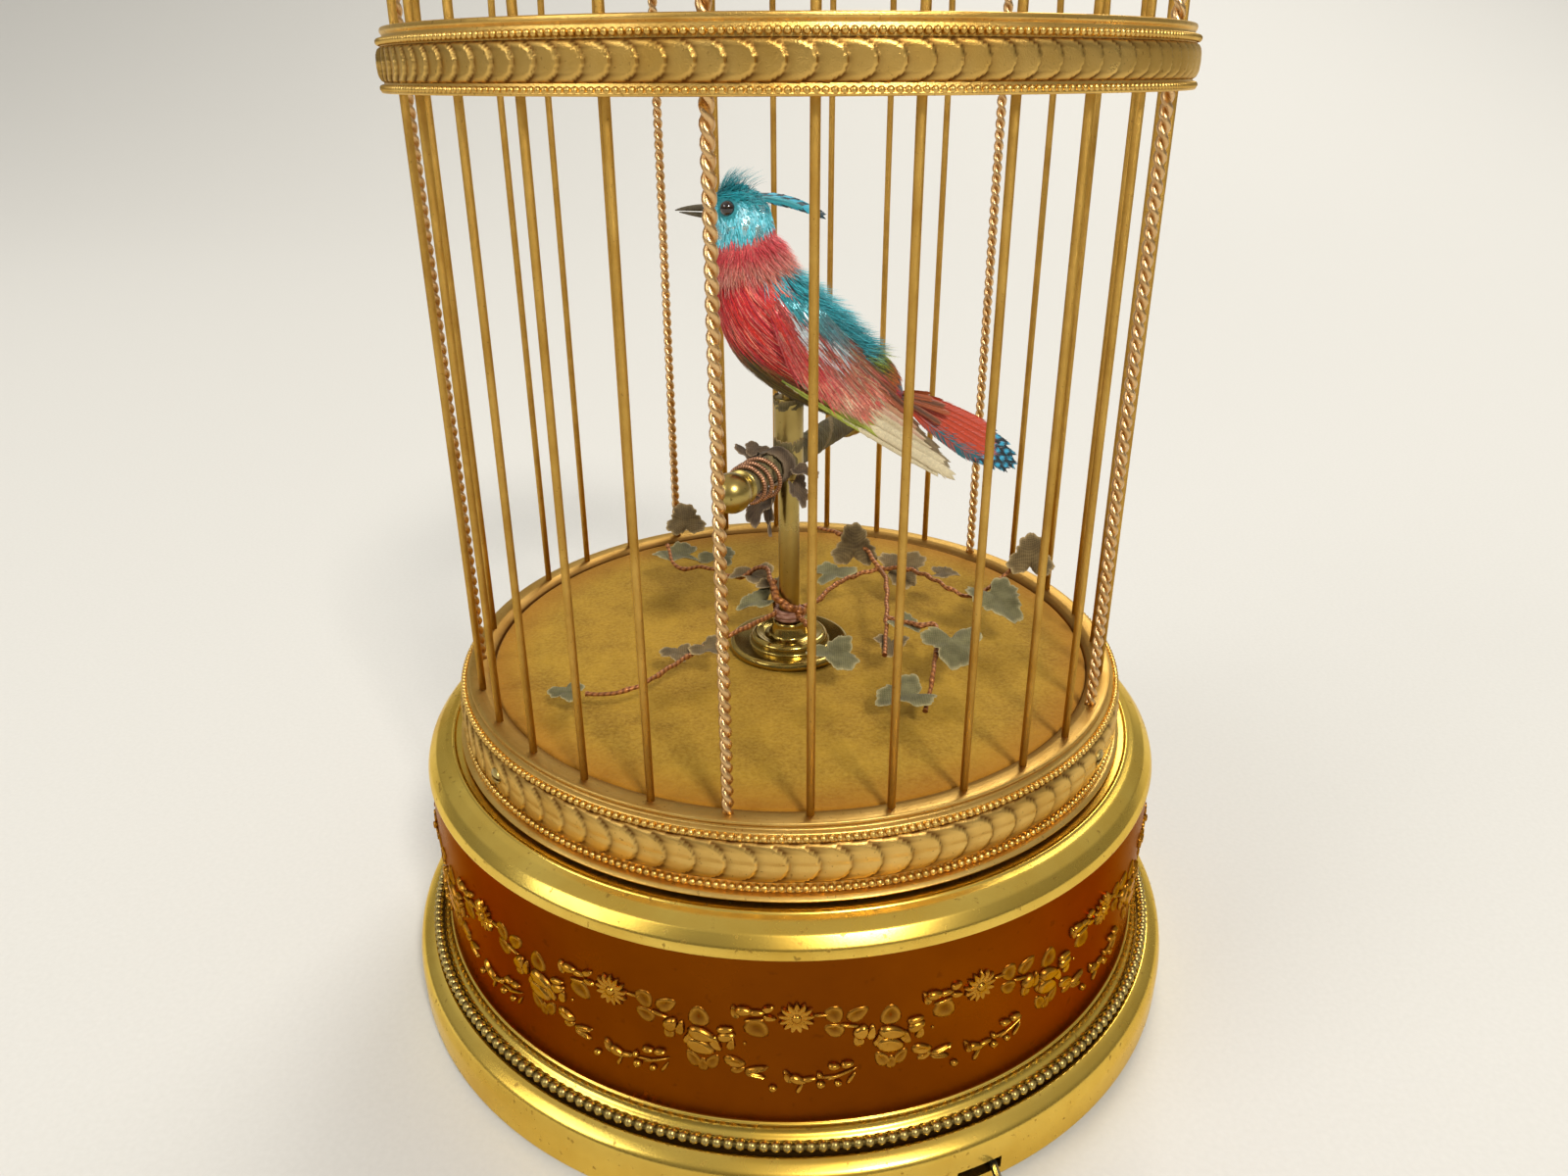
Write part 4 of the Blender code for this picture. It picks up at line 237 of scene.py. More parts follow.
def smooth_columns(table, at):
    """Values between the rows of a table (a Catmull-Rom spline), at real row numbers."""
    p = np.vstack([2 * table[0] - table[1], table, 2 * table[-1] - table[-2]])
    i = np.minimum(at.astype(int), len(table) - 2)
    t = (at - i)[:, None]
    a, b, c, d = p[i], p[i + 1], p[i + 2], p[i + 3]
    return 0.5 * (2 * b + (c - a) * t + (2 * a - 5 * b + 4 * c - d) * t ** 2
                  + (3 * b - a - 3 * c + d) * t ** 3)


def smooth_path(points, count):
    """A smooth curve through the points, with evenly spaced samples."""
    rows = np.linspace(0, len(points) - 1 - 1e-9, 12 * (len(points) + 2))
    return even_points(smooth_columns(points, rows), count)[0]


def tube_points(path, radius, sides):
    """Rings round a path: path + radius (side cos a + other sin a), with radius one number or one
    per path point."""
    _, side, other = along_path(path)
    a = circle(sides)
    return path[:, None] + np.reshape(radius, (-1, 1, 1)) * (
        side[:, None] * np.cos(a)[None, :, None] + other[:, None] * np.sin(a)[None, :, None])


def wire(name, path, radius, material, sides=10):
    """A round wire with closed ends, and a UV map that runs along it and round it."""
    rows = len(path)
    run = distances(path)
    uv = np.stack(np.meshgrid(run, np.arange(sides) / sides, indexing="ij"), -1).reshape(-1, 2)
    points = np.vstack([tube_points(path, radius, sides).reshape(-1, 3), [path[0]], [path[-1]]])
    uv = np.vstack([uv, [0, 0.5], [run[-1], 0.5]])
    made = new_piece(name, points, grid_faces(rows, sides, False, True)[:, ::-1], material, uv, 60)
    close_ends(made, rows, sides)
    return tidy_mesh(made)


def close_ends(piece, rows, sides):
    """Adds a fan of triangles over each end of a wire, round its two last points."""
    bm = bmesh.new()
    bm.from_mesh(piece.data)
    bm.verts.ensure_lookup_table()
    for middle, ring, step in ((rows * sides, 0, -1), (rows * sides + 1, (rows - 1) * sides, 1)):
        for k in range(sides):
            pair = (k, (k + 1) % sides)[::step]
            bm.faces.new([bm.verts[middle]] + [bm.verts[ring + i] for i in pair])
    bm.to_mesh(piece.data)
    bm.free()


# %% [markdown]
# ## Camera, floor and light
# The camera looks down at about 25 degrees from just above the dome's foot, as close as a hand's
# breadth from the wires, so the upper band spreads wide and the base narrows. The floor is a plain
# pale sheet that bends up far behind, and the light is a broad soft sky with one lamp in front on the
# right that lays the shadows of the wires across the velvet.

# %% Camera
FOCAL_PIXELS = 1139.1
PICTURE_WIDTH = 1600
SENSOR = 36.0
EYE = Vector((0.0, -0.20275, 0.17224))
PITCH, ROLL, YAW = math.radians(24.72), math.radians(-0.26), math.radians(0.29)

ahead = Vector((0, math.cos(PITCH), -math.sin(PITCH)))
right = Vector((1, 0, 0))
up = right.cross(ahead)
rolled_right = math.cos(ROLL) * right + math.sin(ROLL) * up
rolled_up = math.cos(ROLL) * up - math.sin(ROLL) * right
turn = Matrix.Rotation(YAW, 3, "Z")
camera = bpy.data.objects.new("camera", bpy.data.cameras.new("camera"))
camera.data.lens = FOCAL_PIXELS * SENSOR / PICTURE_WIDTH
camera.data.sensor_width = SENSOR
camera.data.clip_start = 0.005
camera.matrix_world = (Matrix.Translation(EYE) @ Matrix((turn @ rolled_right, turn @ rolled_up,
                                                         turn @ -ahead)).transposed().to_4x4())
scene.collection.objects.link(camera)
scene.camera = camera
scene.view_settings.view_transform = "Standard"
print("lens mm:", round(camera.data.lens, 2))

# %% [markdown]
# A finish is a tree of nodes. A few small helpers keep such trees short: one adds a node and fills
# its sockets, one mixes two colours, one makes a colour ramp, and the rest give numbers.

# %% Node helpers
def plug(tree, socket, value):
    """Links another node's output to a socket, or sets the socket to a plain value."""
    if isinstance(value, bpy.types.NodeSocket):
        tree.links.new(value, socket)
    else:
        socket.default_value = value


def node(tree, kind, settings=None, inputs=None):
    """Adds a node. Each input is a plain value or another node's socket."""
    made = tree.nodes.new(kind)
    for key, value in (settings or {}).items():
        setattr(made, key, value)
    for key, value in (inputs or {}).items():
        plug(tree, made.inputs[key], value)
    return made


def rgb(*values):
    """A colour with full alpha."""
    return (*values, 1.0)


def mix(tree, share, first, second, how="MIX"):
    """Colour: first where share is 0, second where it is 1."""
    made = node(tree, "ShaderNodeMix", {"data_type": "RGBA", "blend_type": how},
                {0: share, 6: first, 7: second})
    return made.outputs[2]


def ramp(tree, share, stops):
    """Colour by a value: stops are (value, colour)."""
    made = node(tree, "ShaderNodeValToRGB", None, {"Fac": share})
    points = made.color_ramp.elements
    while len(points) < len(stops):
        points.new(0.5)
    for point, (place, colour) in zip(points, stops):
        point.position = place
        point.color = rgb(*colour)
    return made.outputs["Color"]


def math_node(tree, how, *values):
    """A number from one to three numbers."""
    return node(tree, "ShaderNodeMath", {"operation": how}, dict(enumerate(values))).outputs[0]


def between(tree, value, low, high, out_low=0.0, out_high=1.0):
    """Stretches low..high to out_low..out_high, and stops there."""
    inputs = {"Value": value, "From Min": low, "From Max": high, "To Min": out_low, "To Max": out_high}
    return node(tree, "ShaderNodeMapRange", None, inputs).outputs[0]


def grey(tree, value):
    """A grey colour from one number."""
    return node(tree, "ShaderNodeCombineXYZ", None, {"X": value, "Y": value, "Z": value}).outputs[0]


# %% [markdown]
# Every pattern here is computed from the object's own coordinates, so it stays on the piece when a joint
# turns. Marks on the mesh, such as the painted shade in a hollow, reach the finish as attributes.

# %% Material helpers
def own_place(tree):
    """The place on the object, in metres."""
    return node(tree, "ShaderNodeTexCoord").outputs["Object"]


def noise(tree, place, scale, detail=3.0, roughness=0.5):
    """A cloudy number round 0.5 with scale waves to the metre."""
    inputs = {"Vector": place, "Scale": scale, "Detail": detail, "Roughness": roughness}
    return node(tree, "ShaderNodeTexNoise", None, inputs).outputs["Fac"]


def mark(tree):
    """The mesh's own mark, tone."""
    return node(tree, "ShaderNodeAttribute", {"attribute_name": "tone"}).outputs["Fac"]


def new_material(name):
    """A material with an empty tree, its Principled shader, and its surface link."""
    material = bpy.data.materials.new(name)
    material.use_nodes = True
    tree = material.node_tree
    tree.nodes.clear()
    shader = node(tree, "ShaderNodeBsdfPrincipled")
    out = node(tree, "ShaderNodeOutputMaterial")
    tree.links.new(shader.outputs[0], out.inputs[0])
    return material, tree, shader


def feed(tree, shader, **sockets):
    """Links or sets the shader's sockets, with _ for a space in a name."""
    for key, value in sockets.items():
        plug(tree, shader.inputs[key.replace("_", " ")], value)


def bump(tree, height, depth, strength=1.0):
    """A bump normal. Height runs 0..1 for depth metres."""
    inputs = {"Height": height, "Distance": depth, "Strength": strength}
    return node(tree, "ShaderNodeBump", None, inputs).outputs["Normal"]


# %% [markdown]
# The sheet under the object is matt card in a warm pale grey. It is one curved strip: flat, then a
# quarter circle far behind, then upright, so that no horizon line shows.

# %% Floor
FLOOR_HALF = 4.0
FLOOR_FRONT = -3.0
BEND = 3.2
BEND_START = 1.2
arc = np.linspace(0, math.pi / 2, 25)
strip = [(FLOOR_FRONT, 0.0)]
strip += [(BEND_START + BEND * math.sin(a), BEND * (1 - math.cos(a))) for a in arc]
strip += [(BEND_START + BEND, BEND)]
floor_points = np.array([(x, y, z) for y, z in strip for x in (-FLOOR_HALF, FLOOR_HALF)])
card, tree, shader = new_material("card")
grain = noise(tree, own_place(tree), 900.0, 4.0)
feed(tree, shader, Base_Color=mix(tree, grain, rgb(0.60, 0.585, 0.54), rgb(0.66, 0.645, 0.60)),
     Roughness=0.85, Normal=bump(tree, grain, 0.0001, 0.4))
floor = new_piece("floor", floor_points, grid_faces(len(strip), 2), card, smooth=60)
print("floor rows:", len(strip))

# %% [markdown]
# The sky is a grey gradient, darker low down and behind the viewer, because brass looks like brass
# only when it has something dark as well as something bright to mirror.

# %% Sky
world = bpy.data.worlds.new("sky")
world.use_nodes = True
scene.world = world
tree = world.node_tree
tree.nodes.clear()
height = node(tree, "ShaderNodeSeparateXYZ", None,
              {"Vector": node(tree, "ShaderNodeTexCoord").outputs["Generated"]}).outputs
rise = between(tree, height["Z"], -0.1, 0.9)
sky = ramp(tree, rise, [(0.0, (0.26, 0.25, 0.23)), (0.35, (0.50, 0.49, 0.47)), (1.0, (1.0, 0.98, 0.95))])
back_to_front = between(tree, height["Y"], -0.7, 0.5, 0.55, 1.0)
light = node(tree, "ShaderNodeBackground", None, {
    "Color": mix(tree, 1.0, sky, grey(tree, back_to_front), "MULTIPLY"), "Strength": 0.66})
node(tree, "ShaderNodeOutputWorld", None, {"Surface": light.outputs[0]})
print("sky:", world.name)

# %% [markdown]
# Three lamps: a small bright one in front on the right for the shadows of the wires, and two broad
# weak ones that keep the left side and the dome from going dark.

# %% Lamps
def lamp(name, place, aim, size, power, colour=(1.0, 1.0, 1.0)):
    """A square soft lamp that looks at a point."""
    made = bpy.data.objects.new(name, bpy.data.lights.new(name, "AREA"))
    made.data.size = size
    made.data.energy = power
    made.data.color = colour
    made.location = place
    made.rotation_euler = (Vector(aim) - Vector(place)).to_track_quat("-Z", "Y").to_euler()
    scene.collection.objects.link(made)
    return made


MIDDLE = (0.0, 0.0, 0.12)
lamp("key_lamp", (1.1, -2.5, 2.6), MIDDLE, 0.6, 104.0, (1.0, 0.97, 0.92))
lamp("fill_lamp", (-2.6, -1.4, 2.0), MIDDLE, 1.6, 34.0)
lamp("back_lamp", (1.0, 2.4, 2.6), MIDDLE, 1.5, 62.0, (1.0, 0.98, 0.95))
print("lamps:", len(bpy.data.lights))

# %% [markdown]
# ## Metal finishes
# Gilt brass is never one colour. Lacquer and handling leave soft clouds of warmer and paler metal, dust
# and wear leave specks, and polishing leaves a fine grain that breaks up each highlight. Shade is painted
# into the hollows of pressed relief and turned grooves: those pieces carry a mark, tone, that is 1 there.
# Every metal shares one node group that gives these masks.

# %% Patina group
def group_socket(tree, name, way="OUTPUT", value=None):
    """Adds a number that the group takes in or puts out."""
    made = tree.interface.new_socket(name, in_out=way, socket_type="NodeSocketFloat")
    if value is not None:
        made.default_value = value


patina = bpy.data.node_groups.new("patina", "ShaderNodeTree")
group_socket(patina, "Clouds", "INPUT", 60.0)
group_socket(patina, "Specks", "INPUT", 900.0)
for name in ("Cloud", "Speck", "Grain"):
    group_socket(patina, name)
given = node(patina, "NodeGroupInput").outputs
place = own_place(patina)
cloud = between(patina, noise(patina, place, given["Clouds"], 4.0, 0.6), 0.3, 0.7)
speckled = noise(patina, place, given["Specks"], 2.0)
speck = between(patina, speckled, 0.66, 0.74)
grain = noise(patina, place, math_node(patina, "MULTIPLY", given["Specks"], 3.0), 3.0, 0.6)
node(patina, "NodeGroupOutput", None, {"Cloud": cloud, "Speck": speck, "Grain": grain})
print("masks of the patina group: 3")

# %% [markdown]
# A metal is then a light and a dark colour that the clouds mix, a third colour for specks and for painted
# shade, and a roughness that grows where there are clouds, specks or painted shade. Brass colours what it
# mirrors, also at a glance, so edge tints the mirrored light there.

# %% Metals
CLOUD_ROUGH, SPECK_ROUGH, SHADE_MARK_ROUGH = 0.10, 0.15, 0.20


def metal(name, light, dark, speck_and_shade, roughness=0.25, clouds=60.0, specks=900.0, depth=0.00003,
          strength=0.25, speck_share=0.5, cloud_share=1.0, edge=(1.0, 1.0, 1.0)):
    """Base = light to dark by cloud, then to the third, dark colour by speck and by the tone mark, which
    paints shade in hollows, and roughness is the sum of its own value and a share of each mask."""
    material, tree, shader = new_material(name)
    group = node(tree, "ShaderNodeGroup", {"node_tree": patina}, {"Clouds": clouds, "Specks": specks})
    cloud, speck, grain = group.outputs
    base = mix(tree, math_node(tree, "MULTIPLY", cloud, cloud_share), rgb(*light), rgb(*dark))
    base = mix(tree, math_node(tree, "MULTIPLY", speck, speck_share), base, rgb(*speck_and_shade))
    # The tone mark is painted shade: it darkens hollows and grooves towards the third colour.
    painted_shade = mark(tree)
    base = mix(tree, painted_shade, base, rgb(*speck_and_shade))
    rough = roughness
    for mask, share in ((cloud, CLOUD_ROUGH), (speck, SPECK_ROUGH), (painted_shade, SHADE_MARK_ROUGH)):
        rough = math_node(tree, "MULTIPLY_ADD", mask, share, rough)
    feed(tree, shader, Base_Color=base, Metallic=1.0, Roughness=rough, Specular_Tint=rgb(*edge),
         Normal=bump(tree, grain, depth, strength))
    return material


yellow_brass = metal("yellow_brass", (0.88, 0.62, 0.125), (0.68, 0.42, 0.060), (0.20, 0.10, 0.02),
                     0.20, 45.0, 800.0, speck_share=0.6, edge=(1.0, 0.9, 0.6))
# The deep amber base colour of the drum's side is a painted reflection of a brown table.
table_reflection_brass = metal("table_reflection_brass", (0.250, 0.062, 0.0035), (0.175, 0.040, 0.0025),
                    (0.05, 0.014, 0.002), 0.24, 35.0, 500.0, speck_share=0.2, cloud_share=0.8,
                    edge=(0.75, 0.42, 0.14))
gilt = metal("gilt", (0.78, 0.51, 0.150), (0.58, 0.34, 0.075), (0.13, 0.05, 0.010), 0.26, 90.0,
             1500.0, 0.00009, 0.5, edge=(1.0, 0.9, 0.65))
gilt_wire = metal("gilt_wire", (0.66, 0.40, 0.092), (0.46, 0.25, 0.045), (0.18, 0.09, 0.02), 0.33,
                  120.0, 2600.0, 0.00012, 0.7, 0.5, edge=(0.9, 0.7, 0.4))
gilt_rope = metal("gilt_rope", (0.80, 0.54, 0.27), (0.60, 0.36, 0.14), (0.26, 0.12, 0.04), 0.24,
                  140.0, 2600.0, 0.00006, 0.4, 0.6)
olive_brass = metal("olive_brass", (0.50, 0.38, 0.13), (0.32, 0.22, 0.06), (0.10, 0.07, 0.02), 0.32)
print("finishes:", len(bpy.data.materials))

# %% [markdown]
# ## The round base
# The base is spun or turned brass: a rolled foot, a bead wire soldered in a groove, a straight drum,
# and a rounded shoulder. Turned work is a profile swept round an axis, so each profile is written as
# corners in radius and height, and the corners are then rounded as a polished edge is.

# %% Measures of the solids
def in_mm(corners):
    """Millimetres to metres."""
    return np.array(corners, float) * MM


def node_box(name):
    """A solid's lowest and highest corners, as arrays."""
    return np.array(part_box(name))


for name in ("plinth", "drum_shell", "base_bead_ring", "cage_base_ring", "upper_band", "floor_disc",
             "base_plate", "base_felt", "post_flange", "perch_post", "crown_finial", "hanging_ring"):
    low, high = node_box(name)
    print(name, "radius mm", round(high[0] / MM, 2), "height mm", round(low[2] / MM, 2),
          round(high[2] / MM, 2))

# %% [markdown]
# The plinth is the rolled foot. Its profile carries the mark tone on the upper inner points, a painted
# shade in the narrow groove between it and the bead wire.

# %% Plinth
GROOVE_RADIUS, GROOVE_HEIGHT = 76.5 * MM, 9.5 * MM
plinth_profile = rounded(in_mm([
    (76.0, 1.3), (79.3, 1.3), (80.0, 2.0), (80.0, 8.2), (79.4, 10.9), (77.6, 12.1), (76.8, 12.4),
    (76.3, 12.1), (75.9, 11.0), (73.0, 11.0), (68.0, 10.9), (68.0, 10.3), (77.5, 10.3), (77.5, 1.3),
    (76.0, 1.3)]), 0.9 * MM)[:-1]
reach, height = plinth_profile.T
plinth = turned("plinth_rim", plinth_profile, yellow_brass, 256, ring=True,
                tone=np.clip((GROOVE_RADIUS - reach) * 1200, 0, 1) * (height > GROOVE_HEIGHT))
stand_in(plinth, "plinth")
print("plinth faces:", len(plinth.data.polygons))

# %% [markdown]
# The drum's straight side has a deep amber colour, a painted reflection of a brown table, and its
# shoulder and foot are left bright. Both finishes are on one turned piece, and each face takes the amber
# one if it lies on the side.

# %% Drum
SHOULDER_EDGE = 50.2 * MM
FOOT_EDGE = 15.75 * MM
SIDE_REACH = 72.4 * MM
drum_profile = rounded(in_mm([
    (71.9, 12.8), (74.6, 12.8), (74.7, 13.3), (74.35, 13.7), (73.75, 14.1), (73.3, 14.8), (73.2, 15.6),
    (72.8, 15.8), (72.8, 50.1), (73.0, 50.25), (73.05, 50.6), (72.6, 52.0), (71.2, 53.7), (69.2, 54.8),
    (68.1, 55.05), (67.9, 55.3), (67.6, 55.3), (67.3, 55.0), (63.0, 55.0), (63.0, 54.3), (68.0, 54.0),
    (71.0, 51.5), (71.9, 49.0), (71.9, 12.8)]), 0.3 * MM)[:-1]
drum = turned("drum_body", drum_profile, yellow_brass, 288, ring=True, smooth=28)
drum.data.materials.append(table_reflection_brass)
for face in drum.data.polygons:
    middle = face.center
    on_side = FOOT_EDGE < middle.z < SHOULDER_EDGE and math.hypot(middle.x, middle.y) > SIDE_REACH
    face.material_index = int(on_side)
print("drum faces:", len(drum.data.polygons))

# %% [markdown]
# The drum wears a garland in low relief, pressed from behind and chased: a daisy and a rose by turns,
# with leaves, buds and bell flowers between them. Every petal is a small mound on the wall. With s
# running from its middle to its edge, its height is rise ((1 - cup) + cup s^2) (1 - s^8), so a cup share
# near one gives a hollow with a raised rim and zero gives a dome.


# %% Relief shapes
WALL = 72.75
MOTIFS = 15
RINGS, AROUND = 5, 12
LONGER, WIDER = 1.18, 1.22
BED = -0.2


def mound(x, z, angle, length, width, rise, cup=0.0, ridge=0.0, taper=0.3):
    """One relief shape, as arc, height, reach outwards and painted shade for each of its points, in mm;
    the shade is strongest where the shape is low. Its last ring lies in the wall."""
    s = np.linspace(0, 1, RINGS)[:, None]
    b = circle(AROUND)[None]
    p = s * np.cos(b)
    q = s * np.sin(b) * (1 - taper * np.cos(b))
    h = rise * ((1 - cup) + cup * s ** 2) * (1 - s ** 8)
    h = h * (1 - ridge * np.exp(-(q / 0.16) ** 2))
    c, sn = math.cos(math.radians(angle)), math.sin(math.radians(angle))
    along, across = p * (LONGER * length) / 2, q * (WIDER * width) / 2
    # Painted shade: darker where the shape is low, and full on the ring in the wall.
    painted_shade = np.clip(0.9 - h / 0.45, 0, 1)
    top = np.stack([x + c * along - sn * across, z + sn * along + c * across, h, painted_shade], -1)
    bed = np.concatenate([top[-1:, :, :2], np.broadcast_to((BED, 1.0), (1, AROUND, 2))], -1)
    return np.concatenate([top, bed])


PETALS = 13
daisy = []
for number in range(PETALS):
    a = 360 * number / PETALS + 6
    c, sn = math.cos(math.radians(a)), math.sin(math.radians(a))
    daisy.append(mound(1.0 + 1.75 * c, 38.9 + 1.9 * sn, a, 2.3, 0.95, 0.75, cup=0.5))
daisy.append(mound(1.0, 38.9, 0, 1.5, 1.5, 0.95, taper=0.0))
print("petals and heart of the daisy:", len(daisy))

# %% [markdown]
# The rest of the garland is a table with one row for each petal, leaf, bud or stem: its place along
# the wall and above the table in mm, the angle that it points at, its length, width and rise, how
# far it is cupped, and how deep its middle crease is.

# %% Garland
GARLAND = (
    (-8.6, 39.6, 110, 2.4, 1.3, 0.95, 0.8), (-7.2, 39.9, 0, 2.6, 1.3, 0.8, 0.1),
    (-5.2, 39.7, 5, 2.4, 0.8, 0.6), (-3.4, 40.6, 20, 1.9, 1.0, 0.65, 0.3),
    (-3.2, 38.7, -10, 2.0, 0.9, 0.6, 0.3), (-5.2, 36.2, -40, 3.9, 3.2, 0.6, 0.9, 0.3),
    (-5.6, 38.1, 10, 3.0, 0.5, 0.5), (4.9, 39.2, 0, 2.4, 0.4, 0.4),
    (6.9, 38.9, -70, 3.4, 2.6, 0.6, 0.9, 0.3), (10.6, 38.8, 35, 3.6, 2.3, 0.65, 0.8, 0.3),
    (6.9, 35.8, 150, 3.2, 2.3, 0.55, 0.9, 0.3), (9.4, 36.6, -12, 2.8, 0.45, 0.5),
    (-14.5, 37.6, 90, 3.9, 3.0, 0.65, 0.95, 0.2), (-14.1, 33.9, -15, 4.4, 2.1, 0.95, 0.2),
    (-14.4, 31.4, -20, 4.6, 2.6, 1.00, 0.3), (-11.9, 32.4, -60, 3.2, 1.5, 0.75, 0.4),
    (-16.3, 32.8, 70, 2.8, 1.3, 0.65, 0.4), (-15.7, 28.4, 120, 3.4, 1.9, 0.55, 0.7, 0.2),
    (-12.5, 28.3, 60, 3.2, 1.8, 0.55, 0.7, 0.2), (-14.1, 27.4, 90, 2.6, 1.5, 0.5, 0.6, 0.2),
    (-19.2, 35.0, 60, 2.6, 2.1, 0.90, 0.1), (-17.6, 34.6, 80, 2.9, 1.3, 0.75, 0.4),
    (-19.6, 33.2, 100, 2.4, 1.6, 0.55, 0.5, 0.2), (-10.3, 35.6, 10, 2.6, 0.9, 0.75, 0.2),
    (-10.1, 34.2, 20, 2.8, 1.5, 0.90, 0.2), (-9.4, 32.6, 80, 2.4, 1.3, 0.6, 0.4),
    (-8.9, 28.9, -15, 3.4, 1.7, 0.70, 0.4, 0.2), (-8.4, 27.2, 20, 2.4, 1.1, 0.5, 0.5),
    (-5.4, 27.6, 15, 3.8, 0.9, 0.65, 0.1, 0.4), (-5.6, 26.3, -15, 3.4, 0.8, 0.6, 0.1, 0.4),
    (-2.8, 23.6, 10, 1.3, 1.0, 0.7), (-0.4, 26.3, 115, 2.6, 1.3, 0.95, 0.8),
    (1.2, 25.6, -20, 2.8, 1.2, 0.85, 0.1), (3.0, 25.6, 12, 2.4, 0.7, 0.6),
    (1.5, 23.6, 65, 2.4, 0.6, 0.5), (4.7, 26.4, 0, 1.0, 0.9, 0.7), (4.9, 24.4, 0, 1.4, 1.1, 0.8),
    (7.7, 24.4, 0, 1.2, 0.9, 0.7), (7.0, 28.2, 0, 1.9, 0.9, 0.8), (9.1, 28.4, 10, 2.0, 0.9, 0.8),
    (8.3, 26.3, 25, 5.0, 0.4, 0.45), (6.4, 25.9, 5, 3.2, 0.35, 0.4),
    (9.8, 25.2, 60, 2.6, 0.5, 0.45), (-7.2, 33.0, 0, 0.5, 0.5, 0.3))
shapes = np.array(daisy + [mound(*row) for row in GARLAND])[None]
angles = -TURN / 4 + circle(MOTIFS)[:, None, None, None] + shapes[..., 0] / WALL
reach = WALL + shapes[..., 2] + 0 * angles
height = shapes[..., 1] + 0 * angles
points = np.stack([reach * np.cos(angles), reach * np.sin(angles), height], -1) * MM
tones = np.broadcast_to(shapes[..., 3], angles.shape)
one = grid_faces(RINGS + 1, AROUND, False, True)
faces = (np.arange(MOTIFS * shapes.shape[1])[:, None, None] * (RINGS + 1) * AROUND + one).reshape(-1, 4)
# The relief's base is darkened towards the drum side's amber, partly a painted reflection of a brown
# table, and its tone mark is painted shade.
relief_brass = metal("relief_brass", (0.54, 0.27, 0.036), (0.36, 0.15, 0.014), (0.13, 0.034, 0.003),
                     0.20, 120.0, 1800.0, edge=(0.9, 0.6, 0.3))
garland = tidy_mesh(new_piece("garland", points.reshape(-1, 3), faces, relief_brass, smooth=70,
                              tone=tones.ravel()))
drum = join_pieces("drum_body", [drum, garland])
stand_in(drum, "drum_shell")
print("garland shapes:", MOTIFS * shapes.shape[1], "faces:", len(faces))

# %% [markdown]
# The bead wire in the groove is a strip of half-round beads that touch. Each is a small ball, and a round
# core behind them closes the gaps as the soldered back of the strip does; it is painted fully dark, as
# shade between the beads.

# %% Rows of beads
def ball_shape(radius, around=8, rows=5):
    """A ball's points and four-cornered faces: rings between two poles of repeated points."""
    a = circle(around)
    b = np.linspace(0, math.pi, rows + 1)
    points = np.stack([np.outer(np.sin(b), np.cos(a)), np.outer(np.sin(b), np.sin(a)),
                       np.outer(np.cos(b), np.ones(around))], -1)
    return radius * points.reshape(-1, 3), grid_faces(rows + 1, around, False, True)


def bead_row(name, count, radius, height, size, material):
    """A wire of beads round the axis, bead k at the angle 2 pi k / count. Each bead's own x runs
    along the circle, its y inwards and its z up."""
    angles = circle(count)
    c, s = np.cos(angles), np.sin(angles)
    none, one = np.zeros(count), np.ones(count)
    frames = np.moveaxis([[-s, -c, none], [c, -s, none], [none, none, one]], -1, 0)
    places = np.stack([radius * c, radius * s, np.full(count, height)], -1)
    return tidy_mesh(repeated(name, *ball_shape(size), frames, places, material))


BEAD_PITCH = 1.93 * MM
bead_radius = 0.95 * MM
bead_low, bead_high = node_box("base_bead_ring")
bead_line = bead_high[0] - bead_radius
bead_middle = (bead_low[2] + bead_high[2]) / 2
bead_count = round(TURN * bead_line / BEAD_PITCH)
base_beads = bead_row("base_beads", bead_count, bead_line, bead_middle, bead_radius, olive_brass)
core_angles = circle(10)
core_profile = np.stack([bead_line + bead_radius * 0.55 * np.cos(core_angles),
                         bead_middle + bead_radius * 0.55 * np.sin(core_angles)], -1)
# Its tone of one paints the core fully dark: painted shade between the beads.
core = turned("base_bead_core", core_profile, olive_brass, 192, ring=True, tone=np.ones(10))
stand_in(join_pieces("base_beads", [base_beads, core]), "base_bead_ring")
print("beads round the base:", bead_count)

# %% [markdown]
# ## The pressed galleries
# The two bands round the cage are strips pressed in a die and bent to a hoop: a row of beads along
# each edge and, between them, discs or leaves that overlap like tiles. Each tile rises towards its
# open edge and drops to the next one, so the height is a saw tooth whose edge follows a half circle.


